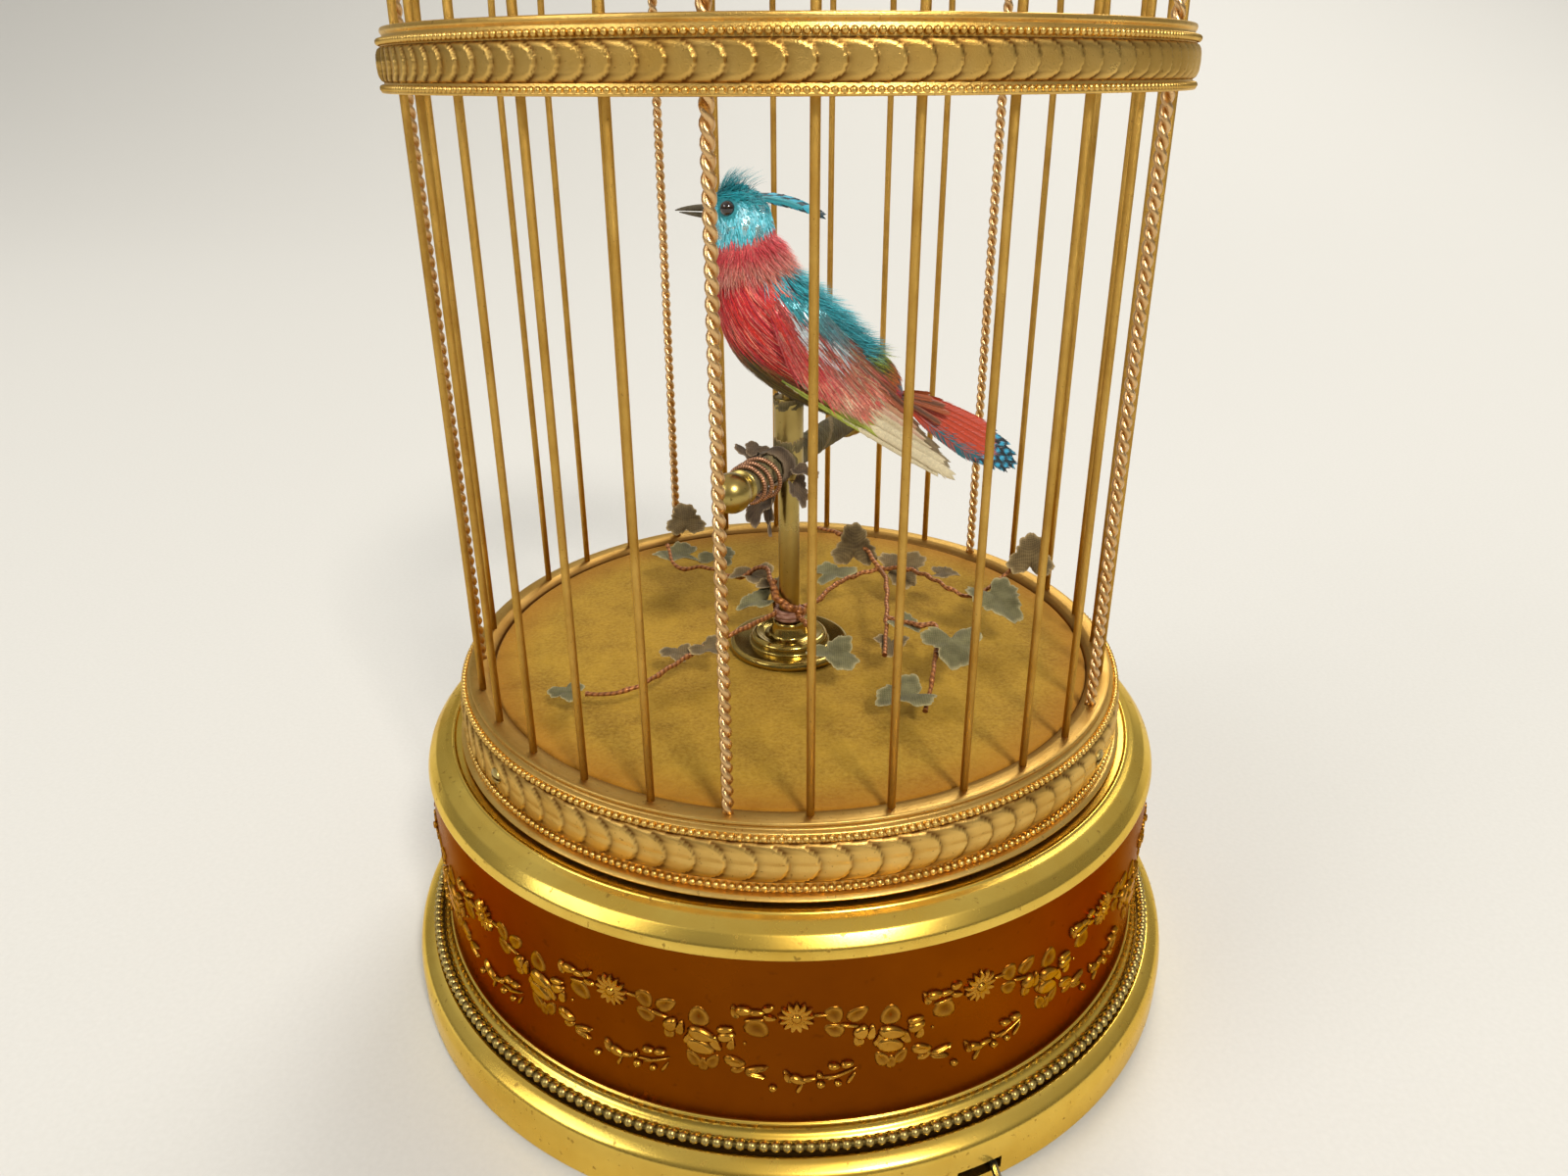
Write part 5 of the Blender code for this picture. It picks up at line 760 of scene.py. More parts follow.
# %% Pressed band
def pressed_band(name, count, radius, low, high, rise, bulge, per_tile, rows, crease=0.0):
    """With u counting tiles and v from -1 to 1 across the band, an edge lies at u = reach sqrt(1-v^2),
    s is how far u lies behind the next edge, and the height is rise (0.2 + 0.8 s^0.7) (1 - v^8) and
    a slow bulge over the whole band. Sizes are in metres."""
    columns = count * per_tile
    u = np.arange(columns) / per_tile
    v = np.linspace(-1, 1, rows)[:, None]
    reach = 0.95 * np.sqrt(np.clip(1 - v ** 2, 0, 1))
    s = (u[None] - reach) % 1.0
    lift = rise * (0.2 + 0.8 * s ** 0.7) * (1 - np.abs(v) ** 8)
    lift = lift * (1 - crease * np.exp(-(v / 0.10) ** 2)) + bulge * (1 - v ** 2)
    # Painted shade: darkest just behind each tile's edge, towards both edges of the band and on the two
    # back rows.
    painted_shade = np.exp(-s / 0.13) * 0.9 + 0.35 * np.abs(v) ** 6
    painted_shade = painted_shade + 0.9 * np.exp(-s / 0.3) * (np.abs(v) > 0.55)
    angle = TURN * u / count
    back = np.full((2, columns), radius - 0.35 * MM)
    r = np.concatenate([radius + lift, back])
    z = np.broadcast_to(low + (high - low) * (v + 1) / 2, lift.shape)
    z = np.concatenate([z, np.full((1, columns), high), np.full((1, columns), low)])
    painted_shade = np.concatenate([np.clip(painted_shade, 0, 1), np.ones((2, columns))])
    grid = np.stack([r * np.cos(angle), r * np.sin(angle), z], -1)
    return surface(name, grid, gilt, True, 60, painted_shade.ravel())


def gallery(name, node_name, hoop, band, beads):
    """A turned hoop, a pressed band and two rows of beads (count, radius, height, size in mm) made one
    piece."""
    rows = [bead_row(f"{name}_beads", count, *in_mm(sizes), gilt) for count, *sizes in beads]
    piece = join_pieces(name, [hoop, band] + rows)
    stand_in(piece, node_name)
    print(name, "faces:", len(piece.data.polygons))


# %% [markdown]
# The lower gallery is the ring that carries the cage. Its band shows overlapping leaves with a crease
# down the middle. The lip above them is crowned, holds the wires and is darker towards its inner edge, a
# painted shade.

# %% Lower gallery
GALLERY_LEAVES = 84
ring_profile = rounded(in_mm([
    (61.9, 55.6), (66.1, 55.6), (66.2, 55.9), (65.6, 56.3), (64.5, 56.5), (64.3, 58.0), (64.3, 65.9),
    (64.2, 66.3), (64.0, 67.0), (63.2, 67.3), (63.1, 67.7), (63.35, 68.0), (63.3, 68.45), (62.7, 68.6),
    (61.7, 68.6), (60.7, 68.5), (59.7, 68.1), (59.0, 67.6), (58.85, 67.2), (58.85, 65.5), (54.85, 65.5),
    (54.85, 64.5), (58.8, 56.8), (58.85, 55.6), (61.9, 55.6)]), 0.2 * MM)[:-1]
# Darker towards the lip's inner edge: painted shade.
lip_shade = np.interp(ring_profile[:, 0], in_mm([59.0, 61.0, 62.6, 63.3]), [0.85, 0.50, 0.36, 0.25])
on_lip = ring_profile[:, 1] > 67.1 * MM
gallery("lower_gallery", "cage_base_ring",
        turned("cage_hoop", ring_profile, gilt, 256, ring=True, tone=lip_shade * on_lip),
        pressed_band("lower_leaves", GALLERY_LEAVES, *in_mm([64.55, 58.2, 65.6, 0.55, 0.45]),
                     per_tile=14, rows=18, crease=0.35),
        [(316, 64.75, 57.25, 0.62), (316, 64.45, 66.45, 0.60)])

# %% [markdown]
# The upper gallery ties the wires together where the dome begins. Its discs are smaller and overlap
# like coins in a row.

# %% Upper gallery
BAND_DISCS = 116
band_profile = rounded(in_mm([
    (62.7, 169.9), (64.0, 169.9), (64.1, 170.2), (63.6, 170.9), (63.4, 171.6), (63.4, 176.2),
    (63.3, 177.0), (63.0, 177.6), (63.3, 178.1), (63.2, 178.6), (62.9, 178.7), (62.7, 178.6),
    (62.7, 169.9)]), 0.15 * MM)[:-1]
gallery("upper_gallery", "upper_band", turned("band_hoop", band_profile, gilt, 256, ring=True),
        pressed_band("band_discs", BAND_DISCS, *in_mm([63.45, 171.3, 176.1, 0.60, 0.25]),
                     per_tile=12, rows=16),
        [(372, 63.75, 170.55, 0.52), (372, 63.6, 176.75, 0.50)])

# %% [markdown]
# ## Wires of the cage
# Twenty-five round wires and five twisted ones stand in holes in the lower ring, pass behind the
# band and bend over to the crown. A wire's path is upright to the dome's foot and then an ellipse:
# reach = end + (cage - end) cos t, height = foot + rise sin t.

# %% Straight wires
CAGE = 61.1 * MM
WIRE_FOOT = 68.3 * MM
DOME_FOOT = 180.3 * MM
DOME_RISE = 58.0 * MM
CROWN_REACH = 9.8 * MM
BAR_RADIUS = 0.65 * MM
POSITIONS = 30
ROPE_EVERY = 6
FIRST_ROPE = -9.0


def wire_path(position, end, steps=40):
    """The path of the wire at one of the places round the ring, from its foot to the crown."""
    t = np.linspace(0, math.pi / 2, steps)
    reach = np.concatenate([[CAGE, CAGE, CAGE], end + (CAGE - end) * np.cos(t)])
    height = np.concatenate([[WIRE_FOOT, 0.1, 0.14], DOME_FOOT + DOME_RISE * np.sin(t)])
    a = math.radians(FIRST_ROPE + 360 / POSITIONS * position)
    return np.stack([reach * math.sin(a), reach * -math.cos(a), height], -1)


bars = [wire(f"bar_{position}", wire_path(position, CROWN_REACH - 2.0 * MM), BAR_RADIUS, gilt_wire, 12)
        for position in range(POSITIONS) if position % ROPE_EVERY]
crown_low, crown_top = 236.5, 240.1
crown_profile = rounded(in_mm([
    (0, crown_low), (9.0, crown_low), (9.7, crown_low + 0.6), (9.8, crown_low + 1.2),
    (9.3, crown_low + 1.5), (9.3, crown_low + 2.1), (9.8, crown_low + 2.4), (9.6, crown_top - 0.5),
    (8.8, crown_top), (0, crown_top)]), 0.25 * MM)
bars.append(turned("crown", crown_profile, gilt, 96))
cage = join_pieces("cage_wires", bars)
stand_in(cage, "cage_bars")
print("straight wires:", len(bars) - 1)

# %% [markdown]
# Each rope is two soft wires twisted together, so it shows slanting lobes that are bright on top and
# dark where the strands meet. A strand is a tube whose middle runs round the rope's own line:
# line + offset (side cos w + other sin w), with w growing by one turn for each pitch of length.

# %% Twisted wires
STRAND_RADIUS = 0.56 * MM
STRAND_OFFSET = 0.46 * MM
STRAND_STEP = 0.42 * MM
TWIST_PITCH = 4.2 * MM
for number in range(POSITIONS // ROPE_EVERY):
    line = wire_path(number * ROPE_EVERY, CROWN_REACH + 0.6 * MM, 90)
    line, run = even_points(line, spacing=STRAND_STEP)
    _, side, other = along_path(line)
    strands = []
    for start in (0.0, math.pi):
        w = start - TURN * run / TWIST_PITCH
        middle = line + STRAND_OFFSET * (side * np.cos(w)[:, None] + other * np.sin(w)[:, None])
        strands.append(wire("strand", middle, STRAND_RADIUS, gilt_rope, 8))
    rope = join_pieces(f"rope_{number + 1}", strands)
    stand_in(rope, f"rope_bar_{number + 1}")
print("rope faces:", len(rope.data.polygons))

# %% [markdown]
# ## Crown finial and hanging ring
# A little turned vase screws onto the crown and ends in an eye. A plain ring hangs through the eye,
# and when the cage stands on a table it lies back against the dome's wires.

# %% Finial
EYE_HEIGHT = 252.4 * MM
RING_WIRE = 1.1 * MM
EYE_ROOM = 1.2 * MM


def cut_away(piece, cutter):
    """Takes the cutter's shape out of a piece, keeps the result as plain mesh and drops the cutter."""
    change = piece.modifiers.new("cut", "BOOLEAN")
    change.object = cutter
    change.solver = "EXACT"
    graph = bpy.context.evaluated_depsgraph_get()
    result = bpy.data.meshes.new_from_object(piece.evaluated_get(graph))
    piece.modifiers.clear()
    piece.data = result
    bpy.data.objects.remove(cutter)
    result.set_sharp_from_angle(angle=math.radians(35))


finial_profile = rounded(in_mm([
    (0, 240.4), (6.0, 240.4), (6.1, 240.9), (5.2, 241.5), (3.0, 242.4), (2.5, 243.6), (3.0, 244.8),
    (3.9, 246.0), (3.7, 246.9), (2.4, 247.8), (2.0, 248.5), (2.6, 249.3), (3.5, 250.4), (4.0, 252.4),
    (3.5, 254.4), (2.2, 255.8), (0, 256.4)]), 0.35 * MM)
finial = turned("finial", finial_profile, gilt, 72)
bore_line = np.array([(x * MM, 0, EYE_HEIGHT) for x in (-8, 0, 8)])
cut_away(finial, wire("bore", bore_line, RING_WIRE + EYE_ROOM, gilt, 24))
stand_in(finial, "crown_finial")
print("finial faces:", len(finial.data.polygons))

# %% [markdown]
# The ring is bent from round wire. It is a circle carried round a circle, and it lies at the angle at
# which it comes to rest on the dome's wires.

# %% Hanging ring
RING_RADIUS = 12.0 * MM
RING_FALL = math.radians(118.0)
around = np.linspace(0, TURN, 97)[:-1]
fall_cos, fall_sin = math.cos(RING_FALL), math.sin(RING_FALL)
up_down = RING_RADIUS * (1 + np.cos(around))
ring_line = np.stack([RING_RADIUS * np.sin(around), fall_sin * up_down,
                      EYE_HEIGHT + fall_cos * up_down], -1)
ring_out = np.stack([np.sin(around), fall_sin * np.cos(around), fall_cos * np.cos(around)], -1)
flat_side = np.array([0.0, fall_cos, -fall_sin])
section = circle(14)[None, :, None]
ring_points = ring_line[:, None] + RING_WIRE * (ring_out[:, None] * np.cos(section)
                                                + flat_side * np.sin(section))
ring = surface("lifting_ring", ring_points, gilt, True, 60)
stand_in(ring, "hanging_ring", "ring")
print("ring rests at mm:", np.round(ring_points.reshape(-1, 3).max(0) / MM, 1))

# %% [markdown]
# ## The bird
# The bird is a carved or padded core covered with real dyed feathers, glued on from the tail forward
# so that each row hides the roots of the one behind. Here the core is a smooth skin lofted through
# cross sections, and every barb is a thin closed blade laid along the skin. A blade's path is a walk
# across the skin's own two directions, lifted a little more towards its tip.

# %% Skins
BIRD_Y = -3.0 * MM


def paint(piece, colours):
    """Stores one colour per point as the attribute tint."""
    layer = piece.data.attributes.new("tint", "FLOAT_COLOR", "POINT")
    values = np.ones((len(piece.data.vertices), 4), np.float32)
    values[:, :3] = colours
    layer.data.foreach_set("color", values.ravel())


class Skin:
    """A lofted surface: u runs along it and v round it, with v = 0 on top and 0.5 underneath."""

    def __init__(self, sections, rows=120, around=72):
        """Sections hold top x, top z, bottom x, bottom z and half width, all in mm."""
        sections = in_mm(sections)
        smooth = smooth_columns(sections, np.linspace(0, len(sections) - 1, rows))
        v = circle(around)
        middle = (smooth[:, 0:2] + smooth[:, 2:4]) / 2
        half = (smooth[:, 0:2] - smooth[:, 2:4]) / 2
        x, z = (middle[:, k:k + 1] + half[:, k:k + 1] * np.cos(v)[None] for k in (0, 1))
        self.points = np.stack([x, BIRD_Y - smooth[:, 4:5] * np.sin(v)[None], z], -1)
        self.around = around
        self.rows = rows
        wrapped = np.concatenate([self.points[:, -1:], self.points, self.points[:, :1]], 1)
        across = (wrapped[:, 2:] - wrapped[:, :-2]) / 2
        normal = unit(np.cross(across, np.gradient(self.points, axis=0)))
        outward = self.points - self.points.mean(1, keepdims=True)
        self.normals = normal if (normal * outward).sum() > 0 else -normal

    def sample(self, u, v):
        """Points and normals at u in 0..1 and v in turns, worked out between the four neighbours."""
        r = np.clip(u, 0, 1) * (self.rows - 1)
        c = (v % 1.0) * self.around
        r0 = np.minimum(r.astype(int), self.rows - 2)
        c0 = c.astype(int) % self.around
        c1 = (c0 + 1) % self.around
        fr = (r - r0)[..., None]
        fc = (c - np.floor(c))[..., None]
        out = []
        for table in (self.points, self.normals):
            low = table[r0, c0] * (1 - fc) + table[r0, c1] * fc
            high = table[r0 + 1, c0] * (1 - fc) + table[r0 + 1, c1] * fc
            out.append(low * (1 - fr) + high * fr)
        return out[0], unit(out[1])

    def shell(self, name, material, tint):
        """The closed skin as a mesh, with both ends drawn to a point."""
        ends = np.repeat(self.points[[0, -1]].mean(1, keepdims=True), self.around, 1)
        points = np.concatenate([ends[:1], self.points, ends[1:]])
        made = new_piece(name, points.reshape(-1, 3), grid_faces(self.rows + 2, self.around, False, True),
                         material, smooth=80)
        paint(made, tint(points.reshape(-1, 3)))
        return tidy_mesh(made)


# %% [markdown]
# A barb is three points round, so that it is a closed sliver with a flat side towards the skin. All
# the barbs of one region are made in one go, because every step is the same for all of them.

# %% Barbs
BARB_STEPS = 4
SINK = 0.1 * MM


def slivers(name, middle, normal, width, tints, material):
    """Closed three-sided blades. middle and normal are (n, k, 3) paths, width is (n, k), and tints
    are (n, k, 3) colours."""
    n, k, _ = middle.shape
    side = unit(np.cross(unit(np.gradient(middle, axis=1)), normal))
    w = width[..., None]
    ring = np.stack([middle + side * w / 2, middle - side * w / 2, middle + normal * w * 0.35], 2)
    points = ring.reshape(-1, 3)
    j = np.arange(k - 1)[:, None] * 3
    c = np.arange(3)[None]
    c2 = (c + 1) % 3
    one = np.concatenate([np.stack([j + c, j + c2, j + 3 + c2], -1).reshape(-1, 3),
                          np.stack([j + c, j + 3 + c2, j + 3 + c], -1).reshape(-1, 3),
                          [[2, 1, 0]], [[3 * k - 3, 3 * k - 2, 3 * k - 1]]])
    a, b, d = points[one[0]]
    if np.dot(np.cross(b - a, d - a), a - ring[0, 0].mean(0)) < 0:
        one = one[:, ::-1]
    faces = (np.arange(n)[:, None, None] * 3 * k + one[None]).reshape(-1, 3)
    made = new_piece(name, points, faces, material, smooth=80)
    paint(made, np.repeat(tints.reshape(-1, 3), 3, axis=0))
    return made


def barbs(name, skin, u, v, du, dv, stand_off, width, tint, material, rng, curl=0.0):
    """Barbs that start at (u, v) and walk by (du, dv): a point at t along one lies
    stand_off t^1.6 - sink (1 - t) above the skin."""
    t = np.linspace(0, 1, BARB_STEPS)[None]
    wobble = rng.normal(0, 1, (len(u), 1)) * curl
    middle, normal = skin.sample(u[:, None] + du[:, None] * t,
                                 v[:, None] + dv[:, None] * t + wobble * t ** 2)
    lift = stand_off[:, None] * t ** 1.6 - SINK * (1 - t)
    shape = np.interp(t, [0, 0.25, 0.5, 0.75, 1], [0.7, 1.0, 0.9, 0.6, 0.06])
    return slivers(name, middle + normal * lift[..., None], normal, width[:, None] * shape,
                   tint(u, v, t, rng), material)


# %% [markdown]
# Real plumage is never one flat dye. Each strand takes one colour of a small palette, a little
# brighter or darker than the next, and many strands change colour from root to tip.

# %% Strand colours
def blend_colours(first, second, share):
    """Mixes two colours, or two arrays of them, by a share between 0 and 1."""
    share = np.clip(share, 0, 1)[..., None]
    return np.asarray(first) * (1 - share) + np.asarray(second) * share


def root_to_tip(roots, tips, t):
    """Colours that change along each strand: roots + t (tips - roots)."""
    return blend_colours(roots[:, None], tips[:, None], np.broadcast_to(t, (len(roots), t.shape[-1])))


def pick(rng, count, palette, weights):
    """One colour of the palette for each barb, each a little brighter or darker."""
    weights = np.array(weights, float)
    chosen = np.array(palette)[rng.choice(len(palette), count, p=weights / weights.sum())]
    return chosen * rng.uniform(0.75, 1.25, (count, 1))


def spread(rng, count, low, high):
    """Random numbers, evenly spread between low and high."""
    return rng.uniform(low, high, count)


RED = (0.58, 0.024, 0.014)
CRIMSON = (0.48, 0.014, 0.030)
SALMON = (0.74, 0.24, 0.16)
ROSE = (0.68, 0.10, 0.10)
TAN = (0.58, 0.30, 0.19)
TEAL = (0.003, 0.235, 0.28)
TURQUOISE = (0.030, 0.40, 0.47)
SKY = (0.12, 0.58, 0.70)
# This near-white colour stands for a painted glint on the coverts.
GLINT_WHITE = (0.72, 0.82, 0.88)
OLIVE = (0.075, 0.055, 0.018)
BROWN = (0.11, 0.040, 0.015)
RUST = (0.36, 0.085, 0.025)
CREAM = (0.68, 0.59, 0.38)
LIME = (0.36, 0.44, 0.03)
BLACK = (0.008, 0.010, 0.012)
NIGHT_TEAL = (0.01, 0.30, 0.35)
print("feather dyes: 16")

# %% [markdown]
# Dyed feather is matt along the barb and gives a soft sheen at a glance. The glued foil flakes on the
# face are shiny and change colour, so they get a second finish with a clear coat and a metallic share
# that flickers from flake to flake. The shiny coverts on the shoulders get a clear coat and a fixed
# metallic share.


# %% Feather finishes
def feather_finish(name, rough=0.55, sheen=0.1, coat=0.0, metallic=0.0, flake=0.0, contrast=0.25,
                   depth=0.00008):
    """Colour from the tint attribute with fine streaks. flake brings out bright metallic specks."""
    material, tree, shader = new_material(name)
    tint = node(tree, "ShaderNodeAttribute", {"attribute_name": "tint"}).outputs["Color"]
    place = own_place(tree)
    streak = noise(tree, place, 2600.0, 2.0)
    shade = between(tree, streak, 0.3, 0.7, 1 - contrast, 1 + contrast)
    colour = mix(tree, 1.0, tint, grey(tree, shade), "MULTIPLY")
    feed(tree, shader, Roughness=rough, Sheen_Weight=sheen, Sheen_Roughness=0.4, Coat_Weight=coat,
         Coat_Roughness=0.25, Metallic=metallic)
    if flake:
        cells = node(tree, "ShaderNodeTexVoronoi", None, {"Vector": place, "Scale": 900.0})
        parts = node(tree, "ShaderNodeSeparateColor", None, {"Color": cells.outputs["Color"]}).outputs
        spark = between(tree, parts[0], 1.0 - flake, 1.0 - 0.6 * flake)
        hue = ramp(tree, parts[1], [(0.0, (0.55, 0.86, 0.94)), (0.5, (0.25, 0.72, 0.84)),
                                    (1.0, (0.70, 0.92, 0.96))])
        colour = mix(tree, spark, colour, hue)
        feed(tree, shader, Metallic=math_node(tree, "MULTIPLY", spark, 0.8),
             Roughness=between(tree, spark, 0.0, 1.0, rough, 0.22))
    feed(tree, shader, Base_Color=colour, Normal=bump(tree, streak, depth, 0.5))
    return material


down_feather = feather_finish("down_feather", 0.5, 0.12)
vane_feather = feather_finish("vane_feather", 0.42, 0.05, coat=0.15, contrast=0.10, depth=0.00003)
gloss_feather = feather_finish("gloss_feather", 0.20, 0.0, coat=1.0, metallic=0.35)
foil_feather = feather_finish("foil_feather", 0.30, 0.0, coat=0.5, flake=0.35)
print("feather finishes: 4")

# %% [markdown]
# ### Body
# The body's outline is the one in the photograph's side view: upright neck, full breast, belly that
# runs back to the tail, and a straight sloping back.

# %% Body skin
body_skin = Skin([
    (-3.0, 148.0, -11.8, 146.0, 4.6), (-1.6, 145.4, -12.6, 143.0, 5.4), (1.2, 141.2, -12.9, 138.8, 6.4),
    (4.2, 138.0, -12.3, 133.6, 7.9), (8.0, 134.8, -10.5, 128.4, 8.9), (11.2, 131.8, -6.6, 123.6, 9.2),
    (14.4, 128.6, -1.2, 119.8, 8.7), (17.0, 126.2, 4.6, 117.0, 7.2), (19.0, 124.0, 10.2, 114.8, 5.2),
    (20.2, 121.8, 15.2, 114.6, 3.8), (20.8, 119.9, 18.6, 116.0, 2.4)])


def body_tint(points):
    """Red in front and on the sides, teal on the back, dark olive under the belly."""
    x, z = points[:, 0] / MM, points[:, 2] / MM
    under = (z - (133.5 - 0.92 * (x + 12.0))) / 3.0
    back = (z - (141.0 - 0.98 * (x + 2.0))) / 2.0
    colour = blend_colours(OLIVE, CRIMSON, under)
    return blend_colours(colour, TEAL, back) * 0.6


rng = np.random.default_rng(7)
body = body_skin.shell("bird_core", down_feather, body_tint)
print("core points:", len(body.data.vertices))

# %% [markdown]
# The breast is covered from the belly forward with long red strands. They lie close to the skin and
# turn a little towards the back, and those under the belly are olive.

# %% Breast
def breast_tint(u, v, t, rng):
    """Crimson and red strands with a few rose ones, paler at their tips, olive low on the belly."""
    base = pick(rng, len(u), [RED, CRIMSON, ROSE, SALMON], [6, 3, 2, 2])
    at = body_skin.sample(u, v)[0] / MM
    under = (133.6 - 0.80 * (at[:, 0] + 12.0) - at[:, 2] + rng.normal(0, 0.8, len(u))) / 1.6
    low = blend_colours(base, pick(rng, len(u), [OLIVE, (0.17, 0.12, 0.015), BROWN], [4, 3, 1]), under)
    return root_to_tip(low, low * 1.3, t)


count = 3300
u = np.sort(spread(rng, count, 0.13, 0.80))[::-1]
v = 0.5 + rng.uniform(-0.34, 0.34, count)
toward_back = np.where(v < 0.5, -1.0, 1.0) * 0.035
breast = barbs("breast_strands", body_skin, u, v, spread(rng, count, 0.10, 0.17), toward_back,
               spread(rng, count, 0.15, 0.5) * MM, spread(rng, count, 0.16, 0.30) * MM, breast_tint,
               down_feather, rng, curl=0.006)
print("breast strands:", count)

# %% [markdown]
# The back is fluffier: teal down stands off the skin between the shoulders, and gives way to lime,
# olive and rust over the rump.

# %% Back
def back_tint(u, v, t, rng):
    """Teal down with turquoise tips, which turns to rusty brown over the rump."""
    base = pick(rng, len(u), [TEAL, TURQUOISE, NIGHT_TEAL], [4, 3, 3])
    base = blend_colours(base, pick(rng, len(u), [LIME, OLIVE], [2, 2]), (u - 0.56) / 0.05)
    base = blend_colours(base, pick(rng, len(u), [BROWN, RUST, (0.50, 0.14, 0.03)], [2, 3, 2]),
                         (u - 0.66) / 0.06)
    return root_to_tip(base, base * 1.4, t)


count = 2700
u = np.sort(spread(rng, count, 0.15, 0.80))[::-1]
v = rng.uniform(-0.20, 0.20, count)
shoulders = (u < 0.62) & (np.abs(v) < 0.12)
fluff = np.where(shoulders, spread(rng, count, 0.3, 3.0), spread(rng, count, 0.1, 0.6))
back = barbs("back_strands", body_skin, u, v, spread(rng, count, 0.08, 0.15),
             rng.normal(0, 0.012, count), fluff * MM, spread(rng, count, 0.12, 0.24) * MM, back_tint,
             down_feather, rng, curl=0.012)
print("back strands:", count)

# %% [markdown]
# A collar of longer strands hides the join of the neck. It starts crimson under the head and ends in
# pale salmon and tan tips that stand off the breast.

# %% Collar
def collar_tint(u, v, t, rng):
    """Rose and crimson at the top that fade to salmon and tan ends, with some strands all red."""
    base = pick(rng, len(u), [(0.66, 0.05, 0.08), (0.74, 0.11, 0.12), (0.72, 0.20, 0.17)], [3, 3, 2])
    red = pick(rng, len(u), [(0.70, 0.045, 0.06), ROSE, (0.60, 0.03, 0.04)], [4, 2, 2])
    pale = pick(rng, len(u), [SALMON, TAN, (0.70, 0.42, 0.34), ROSE], [4, 4, 3, 1])
    ends = blend_colours(red, pale, (u - 0.045 + rng.normal(0, 0.012, len(u))) / 0.03)
    return root_to_tip(base, ends, t ** 1.5)


count = 3000
u = np.sort(spread(rng, count, 0.0, 0.13))[::-1]
v = rng.uniform(0, 1, count)
collar = barbs("collar_strands", body_skin, u, v, spread(rng, count, 0.07, 0.125),
               rng.normal(0, 0.006, count), spread(rng, count, 0.4, 1.9) * MM,
               spread(rng, count, 0.12, 0.22) * MM, collar_tint, down_feather, rng, curl=0.01)
bird = join_pieces("bird_feathers", [body, breast, back, collar])
stand_in(bird, "bird_body")
print("body faces:", len(bird.data.polygons))

# %% [markdown]
# ### Head
# The head turns on the neck, so everything on it rides with it: the skin, the foil flakes of the face,
# the ruffled crown, the beak's upper half, the glass bead eyes and the long banded crest.

# %% Head skin
head_skin = Skin([
    (-2.6, 143.8, -12.7, 143.8, 5.2), (-2.2, 145.8, -13.1, 145.8, 5.6), (-2.6, 148.8, -13.3, 148.8, 5.5),
    (-3.3, 151.2, -13.3, 151.2, 5.0), (-4.5, 153.2, -13.0, 153.0, 4.2), (-6.5, 154.5, -11.8, 154.3, 2.8),
    (-8.3, 155.0, -10.2, 154.9, 0.9)], 60, 60)


def head_tint(points):
    """Turquoise face below, teal crown above, in slate under the chin."""
    x, z = points[:, 0] / MM, points[:, 2] / MM
    crown = (z - 152.0 + 0.10 * (x + 13.0)) / 1.2
    return blend_colours(np.array(TURQUOISE) * 0.8, TEAL, crown) * 0.8


head = head_skin.shell("bird_head_core", down_feather, head_tint)
GLASS_ROOM = 1.75 * MM
EYES = [node_box(f"{side}_eye").sum(0) / 2 for side in ("left", "right")]


def clear_of_eyes(u, v, du, dv):
    """Marks the barbs whose root, middle and tip all stay off the glass of both eyes."""
    keep = np.ones(len(u), bool)
    for share in (0.0, 0.5, 1.0):
        at = head_skin.sample(u + share * du, v + share * dv)[0]
        for middle in EYES:
            keep &= np.linalg.norm(at - middle, axis=-1) > GLASS_ROOM
    return keep


def on_head(name, u, v, du, dv, lift, width, tint, material, curl=0.0):
    """Barbs on the head, without those that would cover an eye."""
    keep = clear_of_eyes(u, v, du, dv)
    return barbs(name, head_skin, u[keep], v[keep], du[keep], dv[keep], lift[keep], width[keep], tint,
                 material, rng, curl=curl)


print("eyes at mm:", np.round(np.array(EYES) / MM, 1).tolist())

# %% [markdown]
# The face is a mask of foil flakes that ends in a ragged line, low in front and higher at the nape.
# Below it the throat's strands run into the collar, so they borrow the collar's colours.

# %% Face and throat
FACE_TOP = 0.66


def face_edge(v):
    """How far up the head the face's lower edge lies: low in front, higher towards the nape."""
    return 0.083 + 0.234 * 2 * np.abs(v % 1.0 - 0.5)


def face_tint(u, v, t, rng):
    """Sky and turquoise flakes, whitish here and there, one colour for each."""
    base = pick(rng, len(u), [SKY, TURQUOISE, (0.24, 0.68, 0.80)], [6, 2, 4])
    return np.repeat(base[:, None], t.shape[1], 1)


def throat_tint(u, v, t, rng):
    """The collar's colours, without its palest tips."""
    return collar_tint(u, v, 0.45 * t, rng)


count = 2400
v = rng.uniform(0, 1, count)
u = np.sort(rng.uniform(0, 1, count))
u = face_edge(v) + 0.09 + u * (FACE_TOP - face_edge(v) - 0.09)
face = on_head("face_flakes", u, v, -spread(rng, count, 0.06, 0.15), rng.normal(0, 0.010, count),
               spread(rng, count, 0.02, 0.30) * MM, spread(rng, count, 0.25, 0.55) * MM, face_tint,
               foil_feather)
count = 1500
v = rng.uniform(0, 1, count)
u = np.sort(rng.uniform(0, 1, count))[::-1] * (face_edge(v) + 0.07) + 0.03
throat = on_head("throat_strands", u, v, -np.minimum(u, spread(rng, count, 0.10, 0.22)),
                 rng.normal(0, 0.008, count), spread(rng, count, 0.15, 0.5) * MM,
                 spread(rng, count, 0.14, 0.26) * MM, throat_tint, down_feather)
print("flakes and strands:", len(face.data.polygons), len(throat.data.polygons))

# %% [markdown]
# The crown is brushed back, and over it stand some fine spikes, as down does that was glued upright.
# A spike has no skin to follow, so its path is a straight line that bends back with the square of t.

